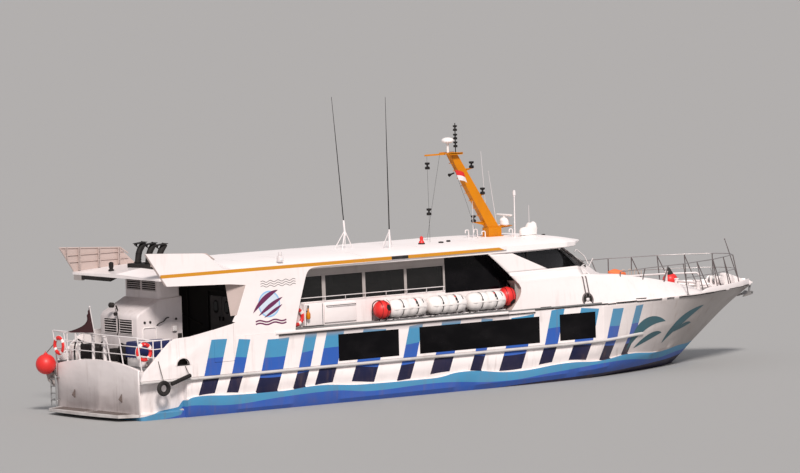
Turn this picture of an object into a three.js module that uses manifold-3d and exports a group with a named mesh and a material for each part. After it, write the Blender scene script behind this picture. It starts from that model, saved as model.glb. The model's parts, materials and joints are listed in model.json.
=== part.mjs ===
// Passenger ferry, about 31 m long, built as separate sub-parts at full size.
// Millimetres; +X forward, +Y to port, +Z up; the origin is amidships on the centreline at the waterline.
import * as THREE from 'three';
import { mergeVertices } from 'three/addons/utils/BufferGeometryUtils.js';
import Module from 'manifold-3d';

const wasm = await Module();
wasm.setup();

// Driving dimensions
const transomX = -15550;
const bowX = 15580;
const halfBeam = 3080;
const plate = 60; // thickness of the moulded sides and bulkheads
const gap = 0.3; // seat clearance between touching pieces
const rubZ = 1500; // lower rub rail, where the hull meets the topsides
const gunwaleZ = 2880; // edge of the side decks
const saloonFloorZ = 700;
const aftDeckZ = 1950;
const deckThick = 90;
const bulkheadX = -9850; // aft face of the saloon bulkhead
const houseStartX = -11330; // aft end of the quarter panel
const wellEndX = 5900; // forward end of the lower saloon
const fasciaLowZ = 5220;
const fasciaTopZ = 5400;
const sillZ = 4060; // top of the forehouse, foot of the wheelhouse band
const wheelhouseFloorZ = 3300;
const saloonWallY = 2350; // upper saloon side walls, inboard of the side decks

const white = { color: 0xf1e6e4, roughness: 0.45, metalness: 0 };
const grey = { color: 0xb9bcbd, roughness: 0.6, metalness: 0 };
const steel = { color: 0xd9dadb, roughness: 0.35, metalness: 0.7 };
const glass = { color: 0x0d0f12, roughness: 0.1, metalness: 0 };
const rubber = { color: 0x17181a, roughness: 0.85, metalness: 0 };
const orange = { color: 0xe8921a, roughness: 0.5, metalness: 0 };
const red = { color: 0xd8382a, roughness: 0.5, metalness: 0 };
const navy = { color: 0x232a52, roughness: 0.9, metalness: 0 };
const blue = { color: 0x2f6db5, roughness: 0.45, metalness: 0 };
const bronze = { color: 0xa5813f, roughness: 0.35, metalness: 1 };

const ferry = new THREE.Group();

// Solids

function toSolid(geometry) {
  const bare = new THREE.BufferGeometry();
  bare.setAttribute('position', geometry.getAttribute('position').clone());
  if (geometry.index) bare.setIndex(geometry.index.clone());
  const merged = mergeVertices(bare, 0.01);
  const vertProperties = new Float32Array(merged.attributes.position.array);
  const triVerts = new Uint32Array(merged.index.array);
  return new wasm.Manifold(new wasm.Mesh({ numProp: 3, vertProperties, triVerts }));
}

function join(solids) {
  return solids.reduce((whole, next) => whole.add(next));
}

function cut(solid, tools) {
  return tools.reduce((rest, tool) => rest.subtract(tool), solid);
}

// Both sides of the boat: the starboard solid and its mirror image
function bothSides(solid) {
  return solid.add(solid.mirror([0, 1, 0]));
}

function addPart(name, solid, finish, pivot = [0, 0, 0]) {
  const mesh = solid.translate(pivot.map((value) => -value)).getMesh();
  const geometry = new THREE.BufferGeometry();
  geometry.setAttribute('position', new THREE.BufferAttribute(new Float32Array(mesh.vertProperties), 3));
  geometry.setIndex(new THREE.BufferAttribute(new Uint32Array(mesh.triVerts), 1));
  geometry.computeVertexNormals();
  const part = new THREE.Mesh(geometry, new THREE.MeshStandardMaterial(finish));
  part.name = name;
  part.position.fromArray(pivot);
  ferry.add(part);
}

function block([x0, x1], [y0, y1], [z0, z1]) {
  const box = new THREE.BoxGeometry(x1 - x0, y1 - y0, z1 - z0);
  return toSolid(box.translate((x0 + x1) / 2, (y0 + y1) / 2, (z0 + z1) / 2));
}

// Joins like rings of points into a closed body; flat is the axis left out when the ends are filled
function loft(rings, flat) {
  const count = rings[0].length;
  const keep = [0, 1, 2].filter((axis) => axis !== flat);
  const index = [];
  for (let r = 0; r + 1 < rings.length; r++) {
    for (let i = 0; i < count; i++) {
      const a = r * count + i;
      const b = r * count + ((i + 1) % count);
      index.push(a, b, b + count, a, b + count, a + count);
    }
  }
  [0, rings.length - 1].forEach((r, end) => {
    const outline = rings[r].map((p) => new THREE.Vector2(p[keep[0]], p[keep[1]]));
    for (const face of THREE.ShapeUtils.triangulateShape(outline, [])) {
      const order = THREE.ShapeUtils.isClockWise(outline) ? [...face].reverse() : face;
      const ids = order.map((i) => r * count + i);
      index.push(...(end === 0 ? ids : [...ids].reverse()));
    }
  });
  const geometry = new THREE.BufferGeometry();
  geometry.setAttribute('position', new THREE.Float32BufferAttribute(rings.flat(2), 3));
  geometry.setIndex(turnOut(rings.flat(), index));
  return toSolid(geometry);
}

// Sides and ends are wound to agree; the whole index is reversed where the volume comes out negative
function turnOut(points, index) {
  const at = (i) => new THREE.Vector3(...points[i]);
  const sided = agree(index);
  let volume = 0;
  for (let i = 0; i < sided.length; i += 3) {
    volume += at(sided[i]).dot(at(sided[i + 1]).cross(at(sided[i + 2])));
  }
  return volume > 0 ? sided : sided.reverse();
}

// Walks the faces over shared edges and flips each one that runs against its neighbour
function agree(index) {
  const faces = [];
  for (let i = 0; i < index.length; i += 3) faces.push(index.slice(i, i + 3));
  const edges = new Map();
  faces.forEach((face, f) => {
    for (let k = 0; k < 3; k++) {
      const key = [face[k], face[(k + 1) % 3]].sort((a, b) => a - b).join();
      edges.set(key, [...(edges.get(key) ?? []), f]);
    }
  });
  const runs = (face, a, b) => [0, 1, 2].some((k) => face[k] === a && face[(k + 1) % 3] === b);
  const seen = new Set([0]);
  const queue = [0];
  while (queue.length) {
    const face = faces[queue.pop()];
    for (let k = 0; k < 3; k++) {
      const a = face[k];
      const b = face[(k + 1) % 3];
      for (const other of edges.get([a, b].sort((p, q) => p - q).join())) {
        if (seen.has(other)) continue;
        seen.add(other);
        if (runs(faces[other], a, b)) faces[other].reverse();
        queue.push(other);
      }
    }
  }
  return faces.flat();
}

// An outline of [x, z] points carried across the boat from y0 to y1
function sidePrism(outline, y0, y1) {
  return loft([y0, y1].map((y) => outline.map(([x, z]) => [x, y, z])), 1);
}

// An outline of [y, z] points carried along the boat from x0 to x1
function crossPrism(outline, x0, x1) {
  return loft([x0, x1].map((x) => outline.map(([y, z]) => [x, y, z])), 0);
}

// An outline of [x, y] points carried upward from z0 to z1
function planPrism(outline, z0, z1) {
  return loft([z0, z1].map((z) => outline.map(([x, y]) => [x, y, z])), 2);
}

// A round bar between two points
function rod(from, to, radius, sides = 8, endRadius = radius) {
  const start = new THREE.Vector3(...from);
  const run = new THREE.Vector3(...to).sub(start);
  const bar = new THREE.CylinderGeometry(endRadius, radius, run.length(), sides);
  bar.translate(0, run.length() / 2, 0);
  bar.applyQuaternion(new THREE.Quaternion().setFromUnitVectors(new THREE.Vector3(0, 1, 0), run.normalize()));
  bar.translate(start.x, start.y, start.z);
  return toSolid(bar);
}

function rods(pairs, radius, sides = 8) {
  return join(pairs.map(([from, to]) => rod(from, to, radius, sides)));
}

function ring(centre, radius, thick, turn = [0, 0, 0], round = 20, sides = 8) {
  const torus = new THREE.TorusGeometry(radius, thick, sides, round);
  torus.applyMatrix4(new THREE.Matrix4().makeRotationFromEuler(new THREE.Euler(...turn)));
  return toSolid(torus.translate(...centre));
}

function ball(centre, radius, wide = 16, high = 10) {
  return toSolid(new THREE.SphereGeometry(radius, wide, high).translate(...centre));
}

// A turned piece: profile of [radius, along] pairs, on the axis at both ends, carried round +Z at the origin
function turned(profile, sides = 20) {
  const lathe = new THREE.LatheGeometry(profile.map(([r, h]) => new THREE.Vector2(r, h)), sides);
  return toSolid(lathe.rotateX(Math.PI / 2));
}

// A body that is the same on both sides, from its starboard half sections of [y, z] at stations x
function mirroredLoft(sections) {
  return bothSides(loft(sections.map(({ x, half }) => half.map(([y, z]) => [x, y === 0 ? 0.5 : y, z])), 0));
}

// Hull: station x, keel z, chine y and z, knee y and z, sheer y
const hullStations = [
  { x: transomX, keel: -800, chineY: 2800, chineZ: -200, kneeY: 3050, kneeZ: rubZ, sheerY: 3050 },
  { x: -9000, keel: -1050, chineY: 2840, chineZ: -180, kneeY: halfBeam, kneeZ: rubZ, sheerY: halfBeam },
  { x: 0, keel: -1250, chineY: 2840, chineZ: -120, kneeY: halfBeam, kneeZ: rubZ, sheerY: halfBeam },
  { x: 5950, keel: -1250, chineY: 2600, chineZ: 50, kneeY: 3010, kneeZ: 1520, sheerY: halfBeam },
  { x: 8100, keel: -1150, chineY: 2130, chineZ: 250, kneeY: 2740, kneeZ: 1620, sheerY: 2990 },
  { x: 10000, keel: -900, chineY: 1560, chineZ: 480, kneeY: 2280, kneeZ: 1720, sheerY: 2740 },
  { x: 11500, keel: -60, chineY: 960, chineZ: 760, kneeY: 1740, kneeZ: 1830, sheerY: 2370 },
  { x: 13000, keel: 1060, chineY: 430, chineZ: 1500, kneeY: 1060, kneeZ: 2150, sheerY: 1760 },
  { x: 14500, keel: 2130, chineY: 190, chineZ: 2300, kneeY: 480, kneeZ: 2560, sheerY: 930 },
  { x: bowX, keel: 2760, chineY: 60, chineZ: 2780, kneeY: 90, kneeZ: 2820, sheerY: 120 },
];

function hullBody(out = 0) {
  return mirroredLoft(hullStations.map((s) => ({
    x: s.x,
    half: [[0, s.keel], [-s.chineY - out, s.chineZ], [-s.kneeY - out, s.kneeZ], [-s.sheerY - out, gunwaleZ],
      [0, gunwaleZ]],
  })));
}

// Half-breadth of the deck edge at a station, from the table
function sheerAt(x) {
  const next = hullStations.findIndex((s) => s.x >= x);
  const b = hullStations[Math.max(next, 1)];
  const a = hullStations[Math.max(next, 1) - 1];
  return a.sheerY + ((b.sheerY - a.sheerY) * (x - a.x)) / (b.x - a.x);
}

const transomInX = transomX + 150;
const topsideIn = 2975; // inner face of the topside plating
const engineRoom = { x: [-13500, -10200], y: 1900, z: -350 };
// Half section of the lower saloon
const wellHalf = [
  [0, saloonFloorZ], [-2600, saloonFloorZ], [-2900, 1450], [-topsideIn, rubZ], [-topsideIn, 3200], [0, 3200],
];
// Shaft line: it leaves the hull at the boss and ends in the strut's bearing, ahead of the propeller
const shaftLine = { y: 1150, bossX: -10300, bossZ: -700, endX: -13330, endZ: -1054 };
const shaftTilt = Math.atan2(shaftLine.bossZ - shaftLine.endZ, shaftLine.bossX - shaftLine.endX);
const hubLength = 330;
const rudderPost = { x: -14700, topZ: -600 };

function hull() {
  const quarterStrip = block([transomX - 50, wellEndX], [-3300, -topsideIn - gap], [rubZ, 3200]);
  const windowStrip = block([bulkheadX, wellEndX], [-3300, -topsideIn + 50], [rubZ, 3200]);
  const bulwarkStrip = block([transomInX, bulkheadX], [-3300, -topsideIn + 50], [aftDeckZ - deckThick, 3200]);
  const parts = cut(hullBody(), [
    block([transomInX, bulkheadX], [-topsideIn, topsideIn], [aftDeckZ - deckThick, 3200]),
    block([transomX - 50, transomInX], [-3300, 3300], [2130, 3200]),
    mirroredLoft([bulkheadX, wellEndX].map((x) => ({ x, half: wellHalf }))),
    block(engineRoom.x, [-engineRoom.y, engineRoom.y], [engineRoom.z, 3200]),
    bothSides(quarterStrip),
    bothSides(windowStrip),
    bothSides(bulwarkStrip),
    bothSides(crossPrism([[-1000, 2140], [-3300, 1790], [-3300, 3300], [-1000, 3300]],
      transomX - 50, transomInX)),
  ]);
  const postY = -shaftLine.y;
  const bearing = rod([rudderPost.x, postY, -480], [rudderPost.x, postY, rudderPost.topZ], 75, 12);
  return join([parts, bothSides(bearing), bothSides(sprayRail())]);
}

function shaftAt(distance, y) {
  const { endX, endZ } = shaftLine;
  return [endX + distance * Math.cos(shaftTilt), y, endZ + distance * Math.sin(shaftTilt)];
}

// Bossing where the shaft leaves the hull, the shaft's tube and the strut at its outer end
function shaftGear() {
  const y = -shaftLine.y;
  const boss = rod(shaftAt(4200, y), shaftAt(2150, y), 120, 10);
  const tube = rod(shaftAt(2900, y), shaftAt(0, y), 60, 10);
  const strut = sidePrism([[-13330, -1040], [-13080, -1020], [-12900, -500], [-13250, -500]], y - 25, y + 25);
  return join([boss, tube, strut]).subtract(hullBody().translate([0, 0, -gap]));
}

// Spray rail along the chine, from the step near the stern to the bow
function sprayRail() {
  const rings = hullStations.filter((s) => s.x > -10000 && s.x < 12000).map((s) => ({
    x: s.x, y: s.chineY, z: s.chineZ,
  }));
  rings[0] = { x: -13400, y: 2810, z: -195 };
  return loft(rings.map(({ x, y, z }) => [
    [x, -y + 120, z + 30], [x, -y - 190, z + 330], [x, -y - 60, z + 560], [x, -y + 60, z + 560],
  ]), 0);
}

// Topside plating with the saloon windows, the stern wing and the boarding gate's opening
const wingTop = [
  [-15660, 1500], [-15530, 1800], [-15180, 2100], [-14630, 2610], [-14300, 2880], [-14080, 2980],
  [-13400, 3010], [-12490, 3160], [houseStartX, 3380],
];
const mainWindows = [{ x0: -6660, x1: -3840 }, { x0: -2870, x1: 2850 }, { x0: 3820, x1: 5560 }];
const mainWindowZ = [1590, 2610];
const gate = { x0: -12340, x1: -11440, sill: 1960, clear: 10 };
const fairlead = { x: -13765, foot: 1975, half: 275, high: 255, rim: 80 };

// A half-round outline standing on its flat side
function arch(x, foot, half, high) {
  return Array.from({ length: 13 }, (_, i) => {
    const turn = (i * Math.PI) / 12;
    return [x - half * Math.cos(turn), foot + high * Math.sin(turn)];
  });
}

function wingTopAt(x) {
  const i = wingTop.findIndex(([px]) => px >= x);
  const [[x0, z0], [x1, z1]] = [wingTop[i - 1], wingTop[i]];
  return z0 + ((z1 - z0) * (x - x0)) / (x1 - x0);
}

function topside() {
  const outline = [[-15660, rubZ + gap], ...wingTop.slice(1), [houseStartX, gunwaleZ],
    [wellEndX - gap, gunwaleZ], [wellEndX - gap, rubZ + gap]];
  const skin = sidePrism(outline, -halfBeam, -topsideIn - 5);
  const windows = mainWindows.map(({ x0, x1 }) => block([x0, x1], [-3200, -2900], mainWindowZ));
  const opening = block([gate.x0, gate.x1], [-3200, -2900], [gate.sill, 3600]);
  const { x, foot, half, high, rim } = fairlead;
  const lip = sidePrism(arch(x, foot, half + rim, high + rim), -halfBeam - 22, -halfBeam + 10);
  const hole = sidePrism(arch(x, foot, half, high), -3300, -2900);
  const hinges = [2150, 2800].map((z) =>
    block([gate.x1 - gate.clear + gap, gate.x1 + 10], [-3045, -3020], [z, z + 120]));
  return join([cut(skin.add(lip), [...windows, opening, hole]), ...hinges]);
}

function boardingGate() {
  const { x0, x1, sill, clear } = gate;
  return sidePrism([[x0 + clear, sill + clear], [x1 - clear, sill + clear],
    [x1 - clear, wingTopAt(x1 - clear)], [x0 + clear, wingTopAt(x0 + clear)]], -halfBeam + 5, -3020);
}

// Black panes set flush in the topsides and joined by one strip behind the pillars
function mainGlass() {
  const [low, high] = mainWindowZ;
  const strip = block([-6720, 5620], [-topsideIn + 1, -topsideIn + 15], [low - 40, high + 40]);
  const panes = mainWindows.map(({ x0, x1 }) =>
    block([x0 + gap, x1 - gap], [-halfBeam + 12, -topsideIn + 10], [low + gap, high - gap]));
  return join([strip, ...panes]);
}

// The D-shaped lower rub rail
function rubRail() {
  const stations = [
    { x: -15690, z: 1430, y: halfBeam, out: 90 },
    { x: 3000, z: 1430, y: halfBeam, out: 90 },
    { x: 5950, z: 1440, y: 3015, out: 100 },
    { x: 8100, z: 1545, y: 2740, out: 30 },
  ];
  const rail = loft(stations.map(({ x, z, y, out }) => [
    [x, -y + 20, z - 70], [x, -y - out * 0.7, z - 50], [x, -y - out, z], [x, -y - out * 0.7, z + 50],
    [x, -y + 20, z + 65],
  ]), 0);
  return cut(rail, [hullBody(gap), block([-16000, 5950], [-halfBeam - gap, 0], [rubZ - 1, 1800])]);
}

// The rubber strip round the deck edge, one piece from quarter to quarter by way of the bow
function gunwaleStrip() {
  const xs = [-9400, 0, 5950, 8100, 10000, 11500, 13000, 14500, 15250, bowX];
  const edge = xs.map((x) => [x, sheerAt(x)]);
  const outer = [...edge.map(([x, y]) => [x, -y - 50]), ...edge.map(([x, y]) => [x, y + 50]).reverse()];
  outer.splice(xs.length, 0, [bowX + 20, -60], [bowX + 20, 60]);
  const inner = [...edge.map(([x, y]) => [x, -y + 70]), ...edge.map(([x, y]) => [x, y - 70]).reverse()];
  inner[0][0] -= 50;
  inner[inner.length - 1][0] -= 50;
  const strip = planPrism(outer, gunwaleZ - 90, gunwaleZ - 20);
  return cut(strip, [planPrism(inner, gunwaleZ - 120, gunwaleZ + 20), hullBody(gap),
    block([bowX - 1000, bowX + gap], [-112, 112], [gunwaleZ - 120, gunwaleZ]),
    block([-16000, 5950], [-halfBeam - gap, halfBeam + gap], [gunwaleZ - 120, gunwaleZ])]);
}

// Decks
const hatch = { x: [-12050, -11350], y: [900, 1650] };
const casing = { x: [-14560, -12500], y: 1230, top: 3950 };

function aftDeck() {
  const slab = block([transomInX + gap, bulkheadX - gap], [-topsideIn + gap, topsideIn - gap],
    [aftDeckZ - deckThick + gap, aftDeckZ]);
  const opening = block(hatch.x, hatch.y, [aftDeckZ - 200, aftDeckZ + 50]);
  const bollards = [-1, 1].flatMap((side) => [-15050, -14750].map((x) =>
    rod([x, side * 2350, aftDeckZ - 10], [x, side * 2350, aftDeckZ + 420], 95, 12)));
  return join([slab.subtract(opening), ...bollards]);
}

function engineHatch() {
  const [x0, x1] = hatch.x;
  const [y0, y1] = hatch.y;
  const lid = block([x0 - 60, x1 + 60], [y0 - 60, y1 + 60], [aftDeckZ + gap, aftDeckZ + 30]);
  const rim = block([x0 + 15, x1 - 15], [y0 + 15, y1 - 15], [aftDeckZ - 60, aftDeckZ + 10]);
  return lid.add(rim);
}

function upperDeck() {
  const edge = topsideIn + 100;
  const aft = block([bulkheadX + plate + gap, wellEndX], [-edge, edge], [gunwaleZ + gap, gunwaleZ + 60]);
  const beam = block([bulkheadX + plate + gap, wellEndX - gap], [-topsideIn + 20, topsideIn - 20],
    [gunwaleZ - 80, gunwaleZ + 30]);
  const panelFoot = block([bulkheadX, -8585], [-3300, -2985], [gunwaleZ - 100, gunwaleZ + 100]);
  return aft.add(beam).subtract(bothSides(panelFoot));
}

// Upper saloon
const wallSlope = 40; // the walls lean inward by this much at the head
const upperSillZ = 3860;
const upperHeadZ = 4810;
const upperPanes = [
  { x0: -7900, x1: -6820 }, { x0: -6720, x1: -4960 }, { x0: -4860, x1: -3000 }, { x0: -2900, x1: -1110 },
  { x0: -1010, x1: 1550 },
];
const upperDeckTop = gunwaleZ + 60;
const wallTopZ = 5150 - gap;
const wallX = [-8700, 1890];
const wallLean = (z) => (wallSlope * (z - upperDeckTop - gap)) / (wallTopZ - upperDeckTop - gap);

function upperWall() {
  const wall = loft([[upperDeckTop + gap, 0], [wallTopZ, wallSlope]].map(([z, lean]) => [
    [wallX[0], -saloonWallY + lean, z], [wallX[1], -saloonWallY + lean, z],
    [wallX[1], -saloonWallY + 50 + lean, z], [wallX[0], -saloonWallY + 50 + lean, z],
  ]), 2);
  const openings = upperPanes.map(({ x0, x1 }) => block([x0, x1], [-2500, -2100], [upperSillZ, upperHeadZ]));
  const locker = block([-7800, -6900], [-2560, -saloonWallY + 10], [upperDeckTop + gap, 3820]);
  return cut(wall, openings).add(locker);
}

function upperGlass() {
  return loft([upperSillZ - 50, upperHeadZ + 50].map((z) => {
    const face = -saloonWallY + 50 + gap + wallLean(z);
    return [[wallX[0] + 700, face, z], [wallX[1] - 250, face, z], [wallX[1] - 250, face + 12, z],
      [wallX[0] + 700, face + 12, z]];
  }), 2);
}

// Aft bulkhead with its pair of doors on the centreline
const door = { halfWidth: 760, sill: aftDeckZ + 150, head: 4130, thick: 45, clear: 8 };

function aftBulkhead() {
  const low = saloonFloorZ + gap;
  const half = [
    [0, low], [-2600 + 1, low], [-2900 + 1, 1450], [-topsideIn + gap, rubZ + 1], [-topsideIn + gap, 3380],
    [-2912, 5150 - gap], [0, 5150 - gap],
  ];
  const wall = mirroredLoft([bulkheadX + gap, bulkheadX + plate].map((x) => ({ x, half })));
  const doorway = block([bulkheadX - 50, bulkheadX + 200], [-door.halfWidth, door.halfWidth],
    [door.sill, door.head]);
  const hinges = [2350, 3850].map((z) => block(
    [bulkheadX, bulkheadX + 15], [-door.halfWidth - 5, -door.halfWidth + door.clear - gap], [z, z + 100]));
  return join([wall.subtract(doorway), ...hinges.map(bothSides)]);
}

function aftDoor() {
  const { halfWidth, sill, head, thick, clear } = door;
  const leaf = block(
    [bulkheadX, bulkheadX + thick], [-halfWidth + clear, -clear], [sill + clear, head - clear]);
  const pane = rod([bulkheadX - 60, -370, 3720], [bulkheadX + 100, -370, 3720], 150, 14);
  return leaf.subtract(pane);
}

// Moulded side: fascia, quarter panel and aft canopy wing in one plate
function sideLean(z) {
  return halfBeam - 30 - (z - gunwaleZ) * 0.03;
}

// Forward edge of the side deck's opening, from its head down to the deck
const openingForward = [
  [-410, 5310], [250, 5215], [590, 5160], [730, 5060], [1100, 4750], [1470, 4420], [1840, 4080], [2020, 3880],
  [2090, 3700], [1970, 3420], [1500, gunwaleZ + 10],
];
const sideOutline = [
  [houseStartX, gunwaleZ + gap], [houseStartX, 3380], [-11430, 3400], [-11310, 3620], [-11490, 4840],
  [-14330, 4940], [-15220, 6220], [-12400, 6050], [-12150, 5850], [-11850, fasciaTopZ], [1450, fasciaTopZ],
  [1450, 5280], [-7450, fasciaLowZ], [-7750, 5150], [-7940, 4980], [-8310, 4020], [-8570, 3140],
  [-8600, gunwaleZ + gap],
];

const canopyRibs = [{ x: -14350, foot: 5320 }, { x: -13450, foot: 5375 }, { x: -12550, foot: 5425 }];

function sidePanel() {
  const slab = loft([gunwaleZ - 50, 6400].map((z) => [
    [-15400, -sideLean(z), z], [1600, -sideLean(z), z],
    [1600, -sideLean(z) + plate, z], [-15400, -sideLean(z) + plate, z],
  ]), 2);
  const raised = aftCanopy().translate([0, 0, gap]);
  const ribs = canopyRibs.flatMap(({ x, foot }) => [
    block([x - 20, x + 20], [-2936, -roofHalf + gap], [foot, 6000]),
    block([x - 20, x + 20], [-roofHalf + gap, -2806], [5220, 6000]).subtract(raised),
  ]);
  return join([slab.intersect(sidePrism(sideOutline, -3300, -2000)), ...ribs]);
}

// Roof: x, half-width at the edge, underside z, edge top z, crown z
const roofHalf = 2914; // inner face of the fascia
const roofStations = [
  { x: -14620, y: roofHalf, under: 5150, edge: 5250, crown: 5290 },
  { x: -13200, y: roofHalf, under: 5150, edge: 5340, crown: 5480 },
  { x: -11330, y: roofHalf, under: 5150, edge: 5400, crown: 5560 },
  { x: 1450, y: roofHalf, under: 5150, edge: 5400, crown: 5580 },
  { x: 1500, y: roofHalf, under: 5150, edge: 5400, crown: 5580 },
  { x: 4600, y: 2620, under: 5150, edge: 5340, crown: 5550 },
  { x: 5300, y: 2250, under: 5150, edge: 5300, crown: 5470 },
  { x: 5900, y: 1500, under: 5150, edge: 5260, crown: 5380 },
  { x: 6450, y: 850, under: 5130, edge: 5210, crown: 5290 },
  { x: 6900, y: 300, under: 5110, edge: 5160, crown: 5220 },
  { x: 7130, y: 60, under: 5100, edge: 5140, crown: 5180 },
];

const shoulder = 0.78; // share of the half-width where the roof's top turns down to its edge
const camber = 60;
const footZ = 5400; // roof fittings run down to here and are then cut to the roof's top

function roofBody(stations) {
  return mirroredLoft(stations.map((s) => ({
    x: s.x,
    half: [[0, s.under], [-s.y, s.under], [-s.y, s.edge], [-s.y * shoulder, s.crown - camber], [0, s.crown]],
  })));
}

function roof() {
  return roofBody(roofStations.slice(2));
}

// A fitting cut off at the top of the roof
function onRoof(solid) {
  return cut(solid, [roof(), aftCanopy()].map((top) => top.translate([0, 0, gap])));
}

function aftCanopy() {
  const flange = { ...roofStations[2], x: roofStations[2].x - gap };
  return roofBody([...roofStations.slice(0, 2), flange]);
}

// Forehouse: x, foot half-width inside the deck edge, top half-width, z of the top's edge and middle
const houseStations = [
  { x: 1300, foot: 3040, topY: 2995, top: sillZ, middle: sillZ + 40 },
  { x: 3600, foot: 3040, topY: 2900, top: sillZ, middle: sillZ + 40 },
  { x: 5400, foot: 3030, topY: 2720, top: 4050, middle: 4060 },
  { x: 6400, foot: 2990, topY: 2620, top: 3970, middle: 3970 },
  { x: 7200, foot: 2940, topY: 2530, top: 3930, middle: 3880 },
  { x: 7650, foot: 2925, topY: 2470, top: 3840, middle: 3760 },
  { x: 8300, foot: 2885, topY: 2350, top: 3735, middle: 3660 },
  { x: 8950, foot: 2810, topY: 2230, top: 3630, middle: 3610 },
  { x: 9650, foot: 2690, topY: 2080, top: 3495, middle: 3510 },
  { x: 10900, foot: 2385, topY: 1750, top: 3240, middle: 3270 },
  { x: 11450, foot: 2230, topY: 1560, top: 3115, middle: 3140 },
  { x: 11850, foot: 2080, topY: 1450, top: 2980, middle: 2990 },
];

function houseBody() {
  const low = gunwaleZ + gap;
  return mirroredLoft(houseStations.map((s) => ({
    x: s.x,
    half: [[0, low], [-s.foot, low], [-s.topY, s.top], [0, s.middle]],
  })));
}

function forehouse() {
  const deckEnd = block([1000, wellEndX + 10], [-3300, 3300], [gunwaleZ - 10, upperDeckTop + gap]);
  const cabin = planPrism([
    [1880, -2180], [5300, -2180], [6400, -1250], [6700, -600], [6700, 600], [6400, 1250], [5300, 2180],
    [1880, 2180],
  ], wheelhouseFloorZ, 4400);
  const sideDeck = sidePrism([
    [0, 2800], [0, 4400], [1490, 4400], ...openingForward.slice(6, 10), [1470, 2800],
  ], -3300, -2350);
  const entrance = block([1200, 1905], [-2355, 2355], [2800, 4400]);
  return cut(houseBody(), [deckEnd, cabin, bothSides(sideDeck), entrance]);
}

// Wheelhouse band: plan outlines at its foot and head, starboard half from aft to the centreline
const bandFoot = [[-500, 2985], [2000, 2932], [5650, 2450], [6900, 1150], [7300, 0]];
const bandHead = [[-500, 2965], [2000, 2800], [4350, 2430], [5350, 1150], [5750, 0]];
const bandFootZ = sillZ + 45;
const bandHeadZ = 5150 - gap;
const bandLowZ = 3700; // the band's front runs down to the sloping forehouse
const bandThick = 70;

const bandInward = [[0, 1], [0, 1], [0.4, 1], [0.8, 0.8], [1, 0]]; // how far each corner moves in, per mm

function bandPlan(outline, inset) {
  const half = outline.map(([x, y], i) => [x - inset * bandInward[i][0], y - inset * bandInward[i][1]]);
  const starboard = half.map(([x, y]) => [x, -y]);
  const port = half.slice(0, -1).reverse();
  return [...starboard, ...port];
}

// The band's body moved inward, and run a little past its foot and head so that cuts go right through
function bandBody(inset, back = 0) {
  const rings = [[bandFootZ, bandFoot], [bandHeadZ, bandHead]].map(([z, outline]) =>
    bandPlan(outline, inset).map(([x, y]) => [x < 0 ? x - back : x, y, z]));
  const past = (t) => rings[0].map((p, i) => p.map((v, k) => v + (rings[1][i][k] - v) * t));
  return loft([past(-0.45), past(1.1)], 2);
}

const sideWindow = [[1800, 5115], [3600, 4385], [5170, 4350], [5270, 4400], [4400, 5115]];
const frontPane = { low: 4340, high: 5090, post: 120 };

// The pane between the side window and the windscreen's middle pane, as a body to cut with
function cornerPane() {
  const { low, high, post } = frontPane;
  return loft([low, high].map((z) => {
    const t = (z - bandFootZ) / (bandHeadZ - bandFootZ);
    const at = (i) => new THREE.Vector2(...bandFoot[i]).lerp(new THREE.Vector2(...bandHead[i]), t);
    const [aft, fore] = [at(2), at(3)];
    const run = fore.clone().sub(aft).normalize();
    const out = new THREE.Vector2(-run.y, run.x);
    const ends = [aft.addScaledVector(run, post), fore.addScaledVector(run, -post / 2)];
    return [[0, -300], [1, -300], [1, 400], [0, 400]].map(([end, reach]) =>
      [ends[end].x + out.x * reach, -ends[end].y - out.y * reach, z]);
  }), 2);
}

function wheelhouse() {
  const reach = block([-600, 8200], [-3300, 3300], [bandLowZ, bandHeadZ]);
  const shell = cut(bandBody(0).intersect(reach), [
    bandBody(bandThick, 100), houseBody().translate([0, 0, gap]),
  ]);
  const sideDeck = sidePrism([...openingForward.slice(0, 10), [-700, 3420], [-700, 5310]], -3300, -2350);
  const sidePane = sidePrism(sideWindow, -3300, -1500);
  const middlePane = block([4800, 8200], [-1090, 1090], [frontPane.low, frontPane.high]);
  return cut(shell, [bothSides(sideDeck), bothSides(sidePane), bothSides(cornerPane()), middlePane]);
}

function wheelhouseGlass() {
  const band = bandBody(bandThick + 0.6, 100).subtract(bandBody(bandThick + 14, 200));
  const keep = block([1600, 8000], [-3000, 3000], [4300, 5145]);
  return band.intersect(keep);
}

function helm() {
  const desk = block([5100, 5900], [-1500, 1500], [wheelhouseFloorZ + gap, 4150]);
  const top = sidePrism([[5000, 4140], [5000, 4250], [5900, 4330], [5900, 4140]], -1550, 1550);
  const seatBase = block([3300, 4300], [-600, 600], [wheelhouseFloorZ + gap, wheelhouseFloorZ + 60]);
  const seats = [-380, 380].flatMap((y) => [
    rod([3850, y, wheelhouseFloorZ + 50], [3850, y, 3850], 60, 8),
    block([3600, 4100], [y - 250, y + 250], [3840, 3940]),
    block([3550, 3650], [y - 250, y + 250], [3840, 4480]),
  ]);
  const plinth = block([3600, 5200], [-200, 200], [wheelhouseFloorZ + gap, wheelhouseFloorZ + 40]);
  return join([desk, top, seatBase, plinth, ...seats]);
}

// Rows of passenger seats on one plinth
function seatRows(x0, rows, pitch, halfWidth, aisle, floorZ) {
  const plinth = block([x0 - 150, x0 + (rows - 1) * pitch + 520], [-halfWidth, halfWidth],
    [floorZ + gap, floorZ + 50]);
  const seats = [];
  for (let row = 0; row < rows; row++) {
    const x = x0 + row * pitch;
    const side = [
      [0, 40], [-80, 1080], [0, 1080], [100, 480], [460, 500], [460, 400], [200, 380], [200, 40],
    ].map(([dx, dz]) => [x + dx, floorZ + dz]);
    seats.push(sidePrism(side, -halfWidth, -aisle), sidePrism(side, aisle, halfWidth));
  }
  return join([plinth, ...seats]);
}

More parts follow.
